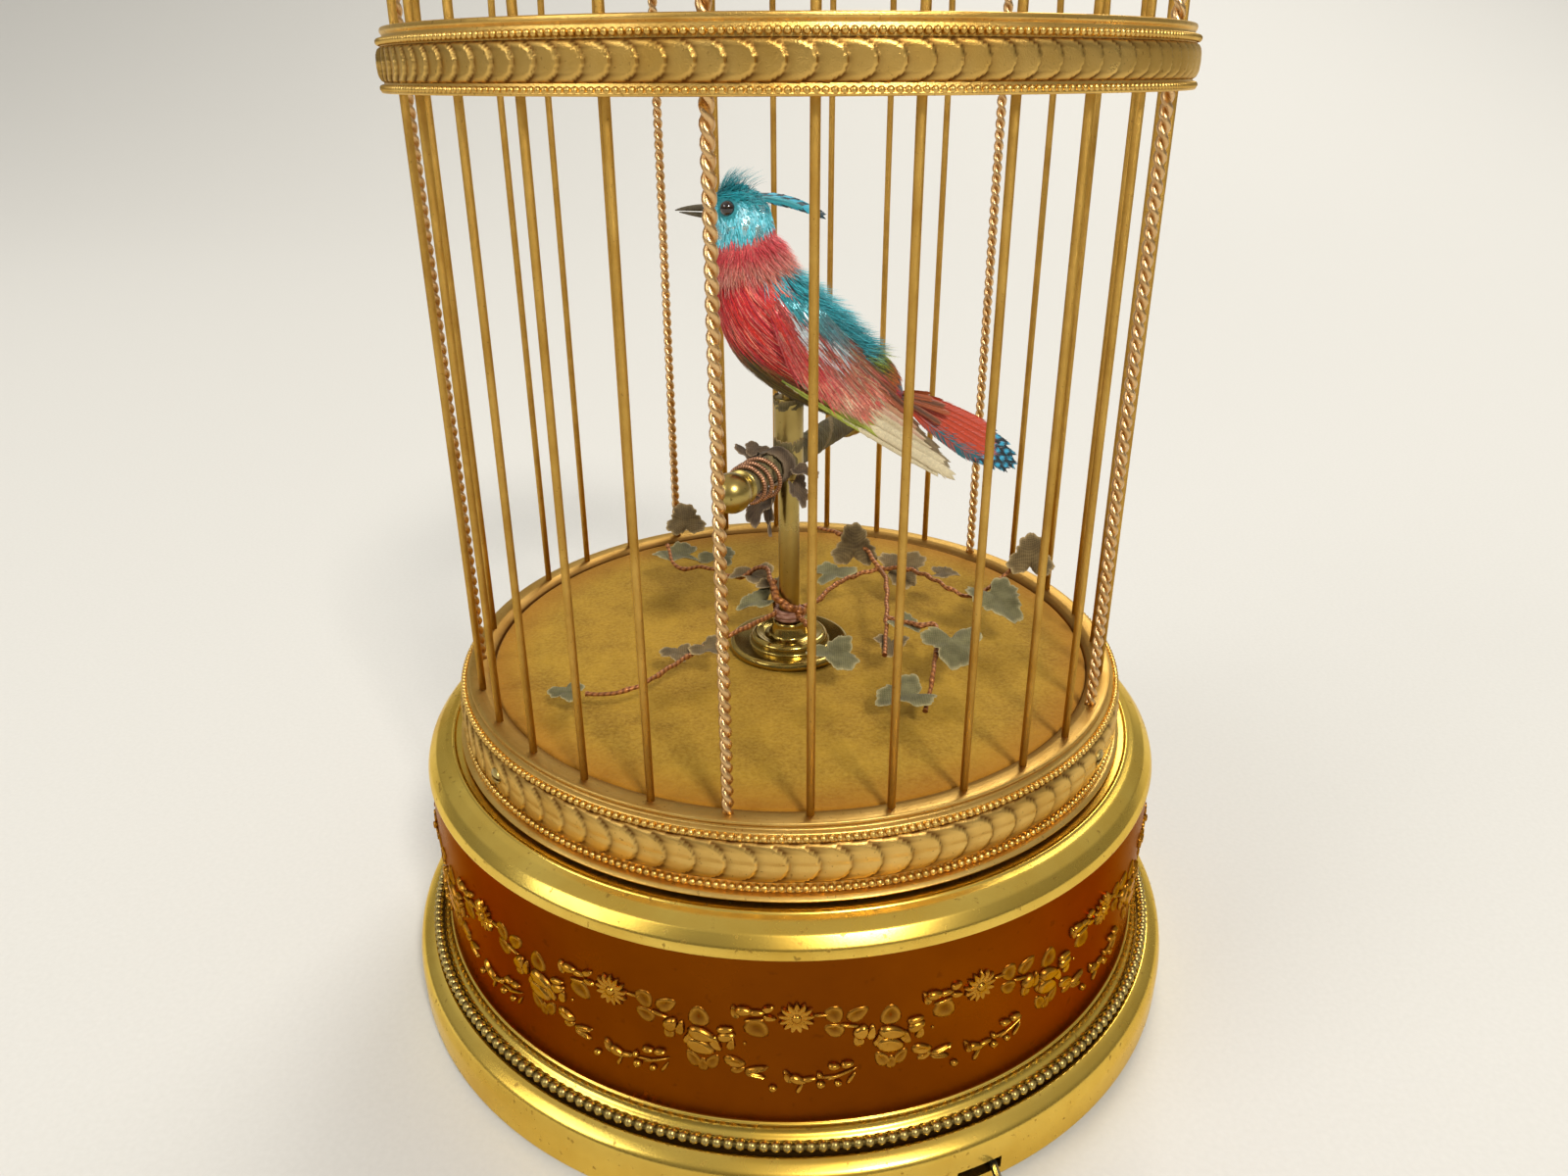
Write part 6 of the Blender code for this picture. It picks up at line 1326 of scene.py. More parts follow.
# %% Crown
def crown_tint(u, v, t, rng):
    """Three depths of teal, brighter at the tips."""
    base = pick(rng, len(u), [TEAL, (0.01, 0.26, 0.30), (0.003, 0.11, 0.14)], [4, 3, 2])
    return root_to_tip(base, base * 1.5, t)


count = 1500
u = np.sort(spread(rng, count, 0.58, 0.97))[::-1]
v = rng.uniform(0, 1, count)
backward = np.where(v < 0.5, -v, 1 - v) * spread(rng, count, 0.15, 0.45)
crown = on_head("crown_down", u, v, -spread(rng, count, 0.02, 0.14) * (1 - 1.1 * (u > 0.85)),
                backward, spread(rng, count, 0.1, 0.8) * MM, spread(rng, count, 0.13, 0.24) * MM,
                crown_tint, down_feather, 0.03)
SPIKES = 260
root_u = spread(rng, SPIKES, 0.80, 0.99)
root_v = rng.normal(0.5, 0.20, SPIKES)
root, out = head_skin.sample(root_u, root_v)
lean = unit(out * (0.55, 1.0, 0.8) + (0.65, 0.0, 0.55) + rng.normal(0, 0.22, out.shape))
t = np.linspace(0, 1, 5)[None, :, None]
reach = rng.uniform(1.2, 5.2, (SPIKES, 1, 1)) * MM
spike_path = root[:, None] + lean[:, None] * reach * t + np.array([0.25, 0, -0.25]) * reach * t ** 2
spike_normal = np.broadcast_to(out[:, None], spike_path.shape)
spike_width = np.full((SPIKES, 5), 0.13 * MM) * np.array([1.0, 0.9, 0.7, 0.45, 0.08])
spikes = slivers("crown_spikes", spike_path, spike_normal, spike_width,
                 crown_tint(root_u, root_v, t[..., 0], rng), down_feather)
print("spikes:", SPIKES)

# %% [markdown]
# The beak is horn, in two halves that part when the bird sings, and the eyes are glass beads. Both
# halves are small skins through a few sections, and an eye is a plain ball where its solid sits.

# %% Beak and eyes
horn, tree, shader = new_material("horn")
grain = noise(tree, own_place(tree), 1500.0, 3.0)
feed(tree, shader, Base_Color=mix(tree, grain, rgb(0.030, 0.024, 0.016), rgb(0.12, 0.095, 0.05)),
     Roughness=between(tree, grain, 0.3, 0.7, 0.28, 0.5), Normal=bump(tree, grain, 0.0001, 0.5))
eye_glass, tree, shader = new_material("eye_glass")
# The colour turns from near black to reddish brown towards the bead's edge as seen: a painted red-brown
# glint.
eye_glint_share = node(tree, "ShaderNodeLayerWeight", None, {"Blend": 0.35}).outputs["Facing"]
feed(tree, shader, Base_Color=mix(tree, eye_glint_share, rgb(0.010, 0.007, 0.006), rgb(0.05, 0.02, 0.012)),
     Roughness=0.06, Coat_Weight=1.0)


def black(points):
    """One colour for the whole of a small piece."""
    return np.array(BLACK)


upper_beak = Skin([
    (-11.8, 152.5, -11.8, 151.0, 1.5), (-13.6, 152.3, -13.6, 151.05, 1.25),
    (-16.0, 152.1, -16.0, 151.1, 0.9),
    (-18.0, 151.75, -18.0, 151.15, 0.5), (-19.3, 151.3, -19.3, 151.15, 0.12)],
    24, 20).shell("upper_beak", horn, black)
lower_beak = Skin([
    (-12.2, 150.85, -12.2, 149.7, 1.25), (-14.0, 150.85, -14.0, 149.85, 1.0),
    (-16.4, 150.95, -16.4, 150.3, 0.7), (-18.6, 151.0, -18.6, 150.85, 0.12)],
    24, 20).shell("beak_below", horn, black)
stand_in(lower_beak, "lower_beak", "jaw")
head = join_pieces("bird_head_feathers", [head, throat, face, crown, spikes, upper_beak])
stand_in(head, "bird_head", "head")
for side in ("left", "right"):
    low, high = node_box(f"{side}_eye")
    shape, faces = ball_shape((high[0] - low[0]) / 2, 32, 20)
    eye = tidy_mesh(new_piece(f"{side}_bead_eye", shape + (low + high) / 2, faces, eye_glass, smooth=60))
    stand_in(eye, f"{side}_eye", "head")
print("head faces:", len(head.data.polygons))

# %% [markdown]
# ### Long feathers
# A long feather is a shaft with a row of barbs on each side. The barbs lean towards the tip, hook
# together into a vane, and part here and there, which gives the split edge that a flat cut shape
# never has. All barbs of a feather start on the shaft, P(s) = root + s (tip - root) + bend s (1 - s).


# %% Feather vanes
class Vanes:
    """Collects feathers, then makes one piece of all their barbs and shafts."""

    def __init__(self, rng):
        self.rng = rng
        self.paths, self.normals, self.widths, self.tints = [], [], [], []

    def feather(self, root, tip, normal, widths, tint, bend=(0, 0, 0), count=42, lean=0.95, taper=0.35):
        """Widths are the vane's reach on its two sides. tint(s, t) gives colours for shaft places s
        and barb places t."""
        root, tip, normal, bend = (np.asarray(a, float) for a in (root, tip, normal, bend))
        length = np.linalg.norm(tip - root)
        ahead = (tip - root) / length
        aside = unit(np.cross(ahead, normal))
        t = np.linspace(0, 1, 4)
        for sign, width in zip((1, -1), widths):
            s = np.linspace(0.05, 0.98, count) + self.rng.normal(0, 0.004, count)
            swell = np.minimum(1, (s / 0.22)) ** 0.7 * np.minimum(1, (1 - s) / taper + 0.25) ** 0.6
            reach = width * swell * self.rng.uniform(0.95, 1.03, count)
            split = 1 + 0.2 * (self.rng.uniform(0, 1, count) < 0.04)
            out = aside * sign * np.cos(lean) + ahead * np.sin(lean)
            path = out * (reach * split)[:, None, None] * t[:, None]
            path = self.on_shaft(root, tip, bend, s)[:, None] + path
            path = path + ahead * (reach * 0.35)[:, None, None] * t[:, None] ** 2
            path = path - normal * (0.10 * reach)[:, None, None] * t[:, None] ** 2
            thick = np.broadcast_to(length / count * 1.25 * np.array([1.0, 1.0, 0.8, 0.15]), (count, 4))
            self.add(path, normal, thick, tint(s, t))
        s = np.linspace(0, 1, 4)
        shaft = self.on_shaft(root, tip, bend, s) + normal * 0.00004
        self.add(shaft[None], normal, in_mm([[0.34, 0.28, 0.2, 0.06]]), tint(s[:1], np.zeros(4)) * 0.6)

    def on_shaft(self, root, tip, bend, s):
        """Points of the shaft at the shares s of its length."""
        return root + s[:, None] * (tip - root) + bend * (s * (1 - s))[:, None]

    def add(self, path, normal, width, tint):
        """Keeps some blades for the piece."""
        self.paths.append(path)
        self.normals.append(np.broadcast_to(normal, path.shape))
        self.widths.append(width)
        self.tints.append(np.broadcast_to(tint, path.shape))

    def piece(self, name, material):
        """All the blades so far as one piece."""
        return slivers(name, *(np.concatenate(kept) for kept in (
            self.paths, self.normals, self.widths, self.tints)), material)


UNEVEN = 0.06


def plain(colour, edge):
    """A tint that is one colour with a paler or darker edge."""
    def tint(s, t):
        share = np.broadcast_to(t[None] ** 2, (len(s), len(t)))
        lights = rng.uniform(1 - UNEVEN, 1 + UNEVEN, (len(s), 1, 1))
        return blend_colours(colour, edge, share) * lights
    return tint


# %% [markdown]
# The crest is three narrow feathers that bow over the nape, two of them banded. The bands are a wave
# along the shaft, cut hard so that they read as bars.

# %% Crest
def banded(s, t):
    """Turquoise and black bands across the crest, black towards the tip."""
    band = np.clip(np.sin(s * TURN * 4.2 + 0.6) * 3 + 0.6, 0, 1) * (s < 0.86)
    band = np.broadcast_to(band[:, None], (len(s), len(t)))
    return blend_colours((0.006, 0.035, 0.05), (0.03, 0.42, 0.58), band)


CREST_START = np.array([-6.2, -3.0, 153.5])
crest = Vanes(rng)
for offset, tip, widths, tint, bow, count in (
        ((0, 0, 0), (6.0, -3.3, 150.2), (1.5, 1.3), banded, 2.6, 60),
        ((0.3, 0.5, 0.2), (4.6, -2.2, 150.9), (1.0, 0.8), banded, 3.4, 44),
        ((0, -0.6, -0.2), (2.2, -3.9, 151.6), (0.9, 0.8), plain(TEAL, TURQUOISE), 1.8, 36)):
    crest.feather(in_mm(CREST_START + offset), in_mm(tip), (0.0, -1.0, 0.25), in_mm(widths), tint,
                  (0, 0, bow * MM), count)
crest = crest.piece("crest_plume", vane_feather)
stand_in(crest, "crest_feather", "head")
print("crest faces:", len(crest.data.polygons))

# %% [markdown]
# ### Wings and tail
# The wings lie folded along the body. Each wing's feathers are placed in the side view and carried
# onto a curved sheet beside the body. The cream flight feathers lie at the bottom, and brown and rust
# ones above them.

# %% Flight feathers
WING_X = in_mm([-4, 0, 3, 7, 11, 15, 18, 23, 31])
WING_OUT = in_mm([8.5, 9.5, 9.8, 9.4, 8.1, 6.4, 5.2, 4.3, 3.6])
WING_MIDDLE_X = [-6, 13, 30]
WING_MIDDLE_Z = [141.5, 122.0, 106.0]


def on_wing(x, z, side, lift=0.0):
    """A point of the wing's curved sheet, from its place in the side view in mm. Above its middle line
    the sheet closes in on the back by 0.07 h^2."""
    x, z = np.asarray(x, float), np.asarray(z, float)
    above = np.clip(z - np.interp(x, WING_MIDDLE_X, WING_MIDDLE_Z), 0, 7)
    x, z = x * MM, z * MM
    y = BIRD_Y + side * (np.interp(x, WING_X, WING_OUT) + lift - 0.07 * above ** 2 * MM)
    return np.stack(np.broadcast_arrays(x, y, z), -1)


def primary(s, t):
    """Cream, with a lime edge near the root of the lowest feathers."""
    share = np.broadcast_to(((s > 0.08) & (s < 0.45))[:, None] * (t[None] > 0.3), (len(s), len(t)))
    lights = rng.uniform(0.95, 1.05, (len(s), 1, 1))
    return blend_colours(CREAM, LIME, share * 0.9) * lights


FLIGHT = (
    ((-0.5, 123.4), (27.6, 104.9), (0.8, 1.2), 0.30, primary),
    ((1.0, 124.3), (30.2, 104.9), (1.7, 2.5), 0.14, primary),
    ((2.5, 125.2), (28.4, 107.6), (1.4, 2.2), 0.14, plain(CREAM, (0.52, 0.42, 0.26))),
    ((3.5, 126.4), (25.6, 110.2), (1.4, 1.9), 0.28, plain((0.56, 0.45, 0.27), CREAM)),
    ((4.5, 127.6), (24.4, 112.0), (1.4, 1.9), 0.28, plain((0.56, 0.33, 0.22), CREAM)),
    ((5.5, 128.8), (23.0, 114.0), (1.4, 1.8), 0.28, plain((0.50, 0.24, 0.13), (0.45, 0.30, 0.16))),
    ((6.2, 130.2), (21.8, 116.2), (1.4, 1.8), 0.28, plain(RUST, BROWN)),
    ((7.0, 131.2), (20.8, 118.2), (1.3, 1.7), 0.28, plain(BROWN, RUST)),
    ((7.6, 132.0), (19.0, 120.8), (1.2, 1.5), 0.28, plain(RUST, BROWN)),
    ((8.4, 132.4), (16.8, 123.4), (1.0, 1.3), 0.28, plain((0.16, 0.14, 0.02), BROWN)),
    ((-1.2, 124.2), (9.4, 117.2), (0.8, 0.6), 0.28, plain(LIME, (0.50, 0.50, 0.10))))


def flight_feathers(name, side, rng):
    """The long feathers of one wing, each row of FLIGHT as root, tip, widths, taper and tint."""
    vanes = Vanes(rng)
    for layer, (root, tip, widths, taper, tint) in enumerate(FLIGHT):
        start, end = (on_wing(*place, side, layer * 0.06 * MM) for place in (root, tip))
        vanes.feather(start, end, (0.12, side, 0.05), in_mm(widths[::side]), tint,
                      (0, side * 1.2 * MM, 0), 96, 1.12, taper)
    return vanes.piece(f"{name}_flight", vane_feather)


# %% [markdown]
# Over their roots lie rows of small coverts, rosy below and teal along the back. In two patches many of
# them, and a few others, are coloured near white: a painted glint. p runs along the wing and q across it,
# and each covert's colour is picked by where it lies.

# %% Coverts
COVERT_START = np.array([-2.2, 137.6])
COVERT_END = np.array([13.0, 121.6])


def covert_tints(p, q, t, count, rng):
    """Colours of the coverts along their length, and a mark on those coloured near white as a painted
    glint.
    """
    low = pick(rng, count, [CRIMSON, RED, ROSE, SALMON], [3, 4, 4, 2])
    low = blend_colours(low, pick(rng, count, [SALMON, TAN, CREAM, (0.50, 0.24, 0.16)], [4, 3, 3, 3]),
                        (p - 0.60 + rng.normal(0, 0.06, count)) / 0.15)
    high = pick(rng, count, [BROWN, ROSE, (0.42, 0.05, 0.04), GLINT_WHITE, SALMON], [3, 3, 4, 1, 1])
    top = pick(rng, count, [TEAL, TURQUOISE, NIGHT_TEAL], [3, 4, 3])
    rear = pick(rng, count, [LIME, OLIVE, RUST, BROWN], [3, 2, 3, 2])
    base = blend_colours(low, high, (q + 0.3) / 0.3)
    base = blend_colours(base, blend_colours(top, rear, (p - 0.50) / 0.12), (q - 0.42) / 0.12)
    base = blend_colours(base, pick(rng, count, [RUST, BROWN, TAN, (0.42, 0.13, 0.03)], [4, 3, 1, 3]),
                         np.clip((q + 0.15) / 0.2, 0, 1) * np.clip((p - 0.60) / 0.1, 0, 1))
    patches = np.exp(-((p - 0.20) / 0.11) ** 2 - ((q - 0.10) / 0.35) ** 2)
    patches = patches + 0.6 * np.exp(-((p - 0.50) / 0.07) ** 2 - ((q - 0.35) / 0.22) ** 2)
    # Near-white coverts in two patches: a painted glint.
    painted_glint = rng.uniform(0, 1, count) < 0.8 * patches
    base[painted_glint] = pick(rng, painted_glint.sum(), [GLINT_WHITE, (0.90, 0.74, 0.76), (0.86, 0.88, 0.90)], [3, 2, 3])
    ends = blend_colours(base, pick(rng, count, [SALMON, ROSE, CREAM], [3, 3, 1]), p * 0.9 * ~painted_glint)
    return root_to_tip(base, ends, t), painted_glint


def coverts(name, side, rng):
    """Small blades that start on the wing's sheet and fan out towards its tip."""
    count = 1700
    p = np.sort(rng.uniform(0, 1, count))[::-1]
    q = rng.uniform(-1, 1, count)
    line = COVERT_END - COVERT_START
    along = line / np.linalg.norm(line)
    across = np.array([-along[1], along[0]])
    half = np.interp(p, [0, 0.25, 0.7, 1], [1.8, 4.6, 4.4, 2.6])
    start = COVERT_START + p[:, None] * line + (q * half)[:, None] * across
    fan = 0.10 * q - 0.18 * (1 - p)
    heading = np.arctan2(along[1], along[0]) + fan + rng.normal(0, 0.07, count)
    reach = rng.uniform(3.0, 7.0, count) * (1 + 0.5 * (q < -0.2) * (1 - p))
    t = np.linspace(0, 1, 5)
    x = start[:, :1] + (np.cos(heading) * reach)[:, None] * t
    z = start[:, 1:] + (np.sin(heading) * reach)[:, None] * t
    edge = 1 - 0.25 * np.clip(np.abs(q) - 0.7, 0, 1)
    lift = (0.75 + rng.uniform(0, 0.35, (count, 1)) + 0.3 * t ** 2) * MM * edge[:, None]
    path = on_wing(x, z, side, lift)
    path[:, 0, 1] -= side * 0.5 * MM
    shiny = (q > -0.35) & (p < 0.85) & (rng.uniform(0, 1, count) < 0.8)
    tints, painted_glint = covert_tints(p, q, t, count, rng)
    width = rng.uniform(0.22, 0.42, (count, 1)) * MM * np.array([0.7, 1.0, 0.9, 0.6, 0.06])
    width[painted_glint] *= 1.5
    normal = np.broadcast_to(np.array([0.1, side, 0.1]), path.shape)
    kinds = (("soft", ~shiny & ~painted_glint, down_feather), ("gloss", shiny | painted_glint, gloss_feather))
    return [slivers(f"{name}_{label}", path[k], normal[k], width[k], tints[k], material)
            for label, k, material in kinds]


for node_name, side in (("left_wing", -1), ("right_wing", 1)):
    name = f"{node_name}_feathers"
    wing_rng = np.random.default_rng(21)
    wing = join_pieces(name, [flight_feathers(name, side, wing_rng)] + coverts(name, side, wing_rng))
    stand_in(wing, node_name)
print("wing faces:", len(wing.data.polygons))

# %% [markdown]
# The tail is a narrow fan of red feathers in pairs, with some brown ones over its root. Its end is
# painted: black, with round turquoise spots in staggered rows.

# %% Tail
TAIL_RED = (0.54, 0.052, 0.014)
TAIL_ROOT = np.array([20.4, -3.0, 118.9])
SPOT_STEP = 1.45
SPOT_RADIUS = 0.42
SPOTS_FROM = 20.6


def tail_tint(dark):
    """Red strands. dark is the share of them that is teal."""
    def tint(s, t):
        far = np.clip((s[:, None] + 0.10 * t[None] - 0.25) / 0.2, 0, 1)
        streak = (rng.uniform(0, 1, (len(s), 1)) < dark) * far
        shade = rng.uniform(0.9, 1.08, (len(s), 1, 1))
        return blend_colours(TAIL_RED, (0.01, 0.12, 0.15), streak) * shade
    return tint


def spotted_tip(piece, root, tip):
    """Paints the end of the tail black with round turquoise spots, in rows of a grid whose every second
    row is moved by half a step. along and across are distances in mm in the side view."""
    points = np.array([v.co for v in piece.data.vertices]) / MM
    line = np.array(tip) - root
    line /= np.linalg.norm(line)
    side_view = points[:, [0, 2]] - root
    along, across = side_view @ line, side_view @ np.array([-line[1], line[0]])
    row = np.floor(along / SPOT_STEP)
    cell = across / SPOT_STEP + 0.5 * (row % 2)
    away = np.hypot(along / SPOT_STEP - row - 0.5, cell - np.floor(cell) - 0.5) * SPOT_STEP
    colour = blend_colours((0.006, 0.016, 0.022), (0.04, 0.42, 0.66), (SPOT_RADIUS - away) / 0.12 + 0.5)
    ragged = SPOTS_FROM - 0.9 * np.abs(across) + 0.5 * np.sin(across * 9.0)
    layer = piece.data.attributes["tint"].data
    values = np.ones(len(layer) * 4, np.float32)
    layer.foreach_get("color", values)
    values = values.reshape(-1, 4)
    values[:, :3] = blend_colours(values[:, :3], colour, (along - ragged) / 0.6)
    layer.foreach_set("color", values.ravel())


tail = Vanes(rng)
for layer, (x, z, rise, dark) in enumerate((
        (35.0, 107.2, -2.2, 0.7), (38.2, 105.8, -1.6, 0.5), (40.6, 105.2, -0.8, 0.15),
        (42.0, 105.8, 0.0, 0.0), (41.6, 107.6, 0.8, 0.0), (40.4, 109.4, 1.6, 0.0),
        (37.6, 112.0, 2.2, 0.0))):
    for side in (-1, 1):
        depth = (1.5 - 0.2 * layer) * side
        start = in_mm(TAIL_ROOT + (0, depth * 0.5, 0.35 * rise))
        end = in_mm((x, -3.0 + depth, z))
        tail.feather(start, end, (0.15, side, 0.1), in_mm((2.0, 2.0)), tail_tint(dark),
                     (0, 0, rise * MM * 1.2), 110, 1.0)
for x, z, colour in ((27.5, 114.2, BROWN), (29.0, 116.0, RUST), (28.0, 117.4, BROWN),
                     (25.6, 118.6, RUST)):
    for side in (-1, 1):
        start = in_mm(TAIL_ROOT + (0, 0.9 * side, 0.2 * (z - 116.0)))
        end = in_mm((x, -3.0 + 1.7 * side, z))
        tail.feather(start, end, (0.15, side, 0.1), in_mm((1.2, 1.2)), plain(colour, RUST),
                     (0, 0, 0.4 * MM), 40, 1.12)
tail = tail.piece("tail_fan", vane_feather)
spotted_tip(tail, TAIL_ROOT[[0, 2]], (42.0, 105.8))
stand_in(tail, "bird_tail", "tail")
print("tail faces:", len(tail.data.polygons))

# %% [markdown]
# ## The velvet floor
# The floor inside is a disc covered with short-pile velvet, glued down, and painted a darker orange near
# the ring, a painted shade with a painted reflection of the brass. The disc is turned with a soft edge,
# and the pile is in the finish: a cloudy drift of light and dark, fine grain, and a sheen that brightens
# it at a glance.

# %% Velvet floor
velvet, tree, shader = new_material("velvet_pile")
place = own_place(tree)
drift = between(tree, noise(tree, place, 85.0, 6.0, 0.7), 0.34, 0.66)
nap = noise(tree, place, 1400.0, 4.0, 0.7)
pile = mix(tree, drift, rgb(0.38, 0.215, 0.016), rgb(0.205, 0.100, 0.006))
pile = mix(tree, between(tree, nap, 0.35, 0.65, 0.0, 0.5), pile, rgb(0.52, 0.32, 0.045))
axes = node(tree, "ShaderNodeSeparateXYZ", None, {"Vector": place}).outputs
squares = [math_node(tree, "POWER", axes[way], 2.0) for way in ("X", "Y")]
reach = math_node(tree, "SQRT", math_node(tree, "ADD", *squares))
# Darker orange towards the ring: painted shade and a painted reflection of the brass ring.
rim_shade_and_reflection = between(tree, reach, 0.050, 0.0585, 0.0, 0.75)
feed(tree, shader, Base_Color=mix(tree, rim_shade_and_reflection, pile, rgb(0.33, 0.125, 0.008)), Roughness=0.95,
     Specular_IOR_Level=0.2, Sheen_Weight=0.12, Sheen_Roughness=0.5,
     Sheen_Tint=rgb(1.0, 0.75, 0.30), Normal=bump(tree, nap, 0.0004, 0.55))
floor_profile = [(0, 65.8), (58.8, 65.8), (58.8, 67.0), (58.3, 67.65), (50.0, 67.7), (0, 67.8)]
velvet_floor = turned("velvet_floor", rounded(in_mm(floor_profile), 0.4 * MM), velvet, 160)
stand_in(velvet_floor, "floor_disc")
print("velvet top mm:", round(node_box("floor_disc")[1][2] / MM, 2))

# %% [markdown]
# ## The perch
# A turned flange carries a brass post. On the post sits a sleeve with a hollow branch across it: a
# tube wrapped in painted cloth paper whose loose edge runs round it as a lip, closed by a brass ball at
# each end. The lip is a saw tooth in the radius, r = r0 + rise ((turns + along / run) mod 1).

# %% Post and flange
POST = (0.0, -3.0 * MM)
POST_BORE = 1.3 * MM
POST_RADIUS = 2.0 * MM
ball_brass = metal("ball_brass", (0.52, 0.40, 0.13), (0.38, 0.28, 0.075), (0.10, 0.07, 0.02),
                   0.25, 70.0, 1400.0, speck_share=0.7)
flange_brass = metal("flange_brass", (0.50, 0.37, 0.10), (0.38, 0.27, 0.065), (0.10, 0.07, 0.02),
                     0.10, 70.0, 1400.0, speck_share=0.4)
flange_profile = rounded(in_mm([
    (2.3, 68.1), (11.9, 68.1), (12.0, 68.5), (11.8, 69.2), (11.2, 69.5), (7.9, 69.2), (7.7, 69.6),
    (7.6, 70.6), (6.8, 71.2), (5.9, 70.9), (5.0, 70.4), (3.9, 70.7), (3.6, 71.6), (3.3, 72.6),
    (3.2, 73.4), (2.8, 73.7), (2.3, 73.6), (2.3, 68.1)]), 0.35 * MM)[:-1]
flange = turned("turned_flange", flange_profile, flange_brass, 128, POST, True)
stand_in(flange, "post_flange")
post_low, post_high = node_box("perch_post")
post_profile = [(POST_BORE, post_low[2]), (POST_RADIUS, post_low[2]), (POST_RADIUS, post_high[2]),
                (POST_BORE, post_high[2])]
post = turned("brass_post", post_profile, ball_brass, 48, POST, True)
stand_in(post, "perch_post")
print("post from mm", round(post_low[2] / MM, 1), "to", round(post_high[2] / MM, 1))

# %% [markdown]
# The cloth of the branch and of the leaves is a plain weave stiffened with paint. Its finish crosses
# two sets of fine waves, one for each set of threads, over a slow drift of colour, and a mark on the
# mesh turns the frayed edges pale.

# %% Cloth finish
def cloth(name, light, dark, edge, scale):
    """Woven, painted cloth: threads both ways from the object's own coordinates."""
    material, tree, shader = new_material(name)
    place = own_place(tree)
    threads = []
    for way in ("X", "Y"):
        wave = node(tree, "ShaderNodeTexWave", {"bands_direction": way}, {
            "Vector": place, "Scale": scale, "Distortion": 2.5, "Detail": 2.0, "Detail Scale": 0.3})
        threads.append(wave.outputs["Fac"])
    weave = math_node(tree, "MULTIPLY_ADD", threads[0], 0.5, math_node(tree, "MULTIPLY", threads[1], 0.5))
    drift = between(tree, noise(tree, place, 320.0, 4.0, 0.6), 0.35, 0.65)
    base = mix(tree, drift, rgb(*light), rgb(*dark))
    gaps = between(tree, weave, 0.2, 0.8, 0.45, 0.0)
    base = mix(tree, gaps, base, rgb(*[0.45 * c for c in dark]))
    base = mix(tree, mark(tree), base, rgb(*edge))
    feed(tree, shader, Base_Color=base, Roughness=0.85, Sheen_Weight=0.05, Specular_IOR_Level=0.25,
         Normal=bump(tree, weave, 0.00012, 0.6))
    return material


branch_cloth, dark_cloth, leaf_cloth, olive_cloth = (cloth(*look) for look in (
    ("branch_cloth", (0.22, 0.18, 0.075), (0.115, 0.092, 0.040), (0.40, 0.29, 0.13), 700.0),
    ("dark_cloth", (0.165, 0.110, 0.062), (0.070, 0.045, 0.027), (0.38, 0.28, 0.17), 800.0),
    ("leaf_cloth", (0.205, 0.185, 0.080), (0.115, 0.102, 0.042), (0.44, 0.37, 0.18), 800.0),
    ("olive_cloth", (0.205, 0.140, 0.055), (0.105, 0.070, 0.028), (0.48, 0.35, 0.16), 800.0)))
print("cloth finishes: 4")

# %% [markdown]
# The branch is measured along its own line, so one helper turns distances along it, across it and
# above it into places. Its front end flares a little and its edge is torn, like the two cuffs of
# paper that close the sleeve on the post.

# %% Branch
ARM_TURN = math.radians(63.5)
ARM_Z = 107.2 * MM
ARM_REACH = (-18.0, 24.9)
ARM_RADIUS = 2.35
ARM_SIDES = 72
LIP_RUN = 26.0
COIL_INSIDE = 2.72
SLEEVE_RADIUS = 2.55
arm_turn = circle(ARM_SIDES)
arm_ahead = np.array([math.cos(ARM_TURN), math.sin(ARM_TURN), 0.0])
arm_side = np.array([-math.sin(ARM_TURN), math.cos(ARM_TURN), 0.0])
arm_up = np.array([0.0, 0.0, 1.0])
arm_start = np.array([POST[0], POST[1], ARM_Z])


def from_arm(along, aside, up):
    """Points from distances in mm along the branch, across it and above it."""
    parts = [np.asarray(part, float)[..., None] * MM for part in (along, aside, up)]
    return arm_start + parts[0] * arm_ahead + parts[1] * arm_side + parts[2] * arm_up


rng = np.random.default_rng(11)


def rough_edge(count, share, rng):
    """Uneven factors round an edge: slow waves and small torn steps, all within one and one share."""
    a = circle(count)
    waves = np.sin(3 * a + rng.uniform(0, TURN)) + 0.6 * np.sin(7 * a + rng.uniform(0, TURN))
    return 1 + share * (0.3 * waves + rng.uniform(-0.5, 0.5, count))


along = np.linspace(*ARM_REACH, 150)[:, None]
lip = (arm_turn[None] / TURN + along / LIP_RUN) % 1.0
crinkle = 0.035 * (np.sin(2.1 * along + 3 * np.sin(arm_turn))
                   + np.sin(5.3 * along + 2 * np.cos(2 * arm_turn)))
front_share = np.exp(-(along - ARM_REACH[0]) / 0.5)
r = ARM_RADIUS + 0.24 * lip + crinkle * (1 - front_share) + 0.22 * front_share
r = np.minimum(r, COIL_INSIDE)
sheet = from_arm(np.broadcast_to(along, r.shape), r * np.cos(arm_turn), r * np.sin(arm_turn))
nothing = np.zeros((1, ARM_SIDES))
front_end, back_end = (from_arm(nothing + reach, nothing, nothing) for reach in ARM_REACH)
tone = (np.where(lip > 0.93, 0.8, 0.0) * rng.uniform(0.4, 1.0, r.shape)
        + np.exp(-(along - ARM_REACH[0]) / 0.3))
branch = surface("branch", np.concatenate([front_end, sheet, back_end]), branch_cloth, smooth=40,
                 tone=np.vstack([nothing, np.clip(tone, 0, 1), nothing]))
sleeve = turned("sleeve", rounded(in_mm([
    (1.3, 103.4), (2.7, 103.4), (2.75, 104.0), (2.7, 110.0), (2.72, 118.3), (2.6, 118.8),
    (1.3, 118.8)]), 0.2 * MM), olive_brass, 64, POST, True)


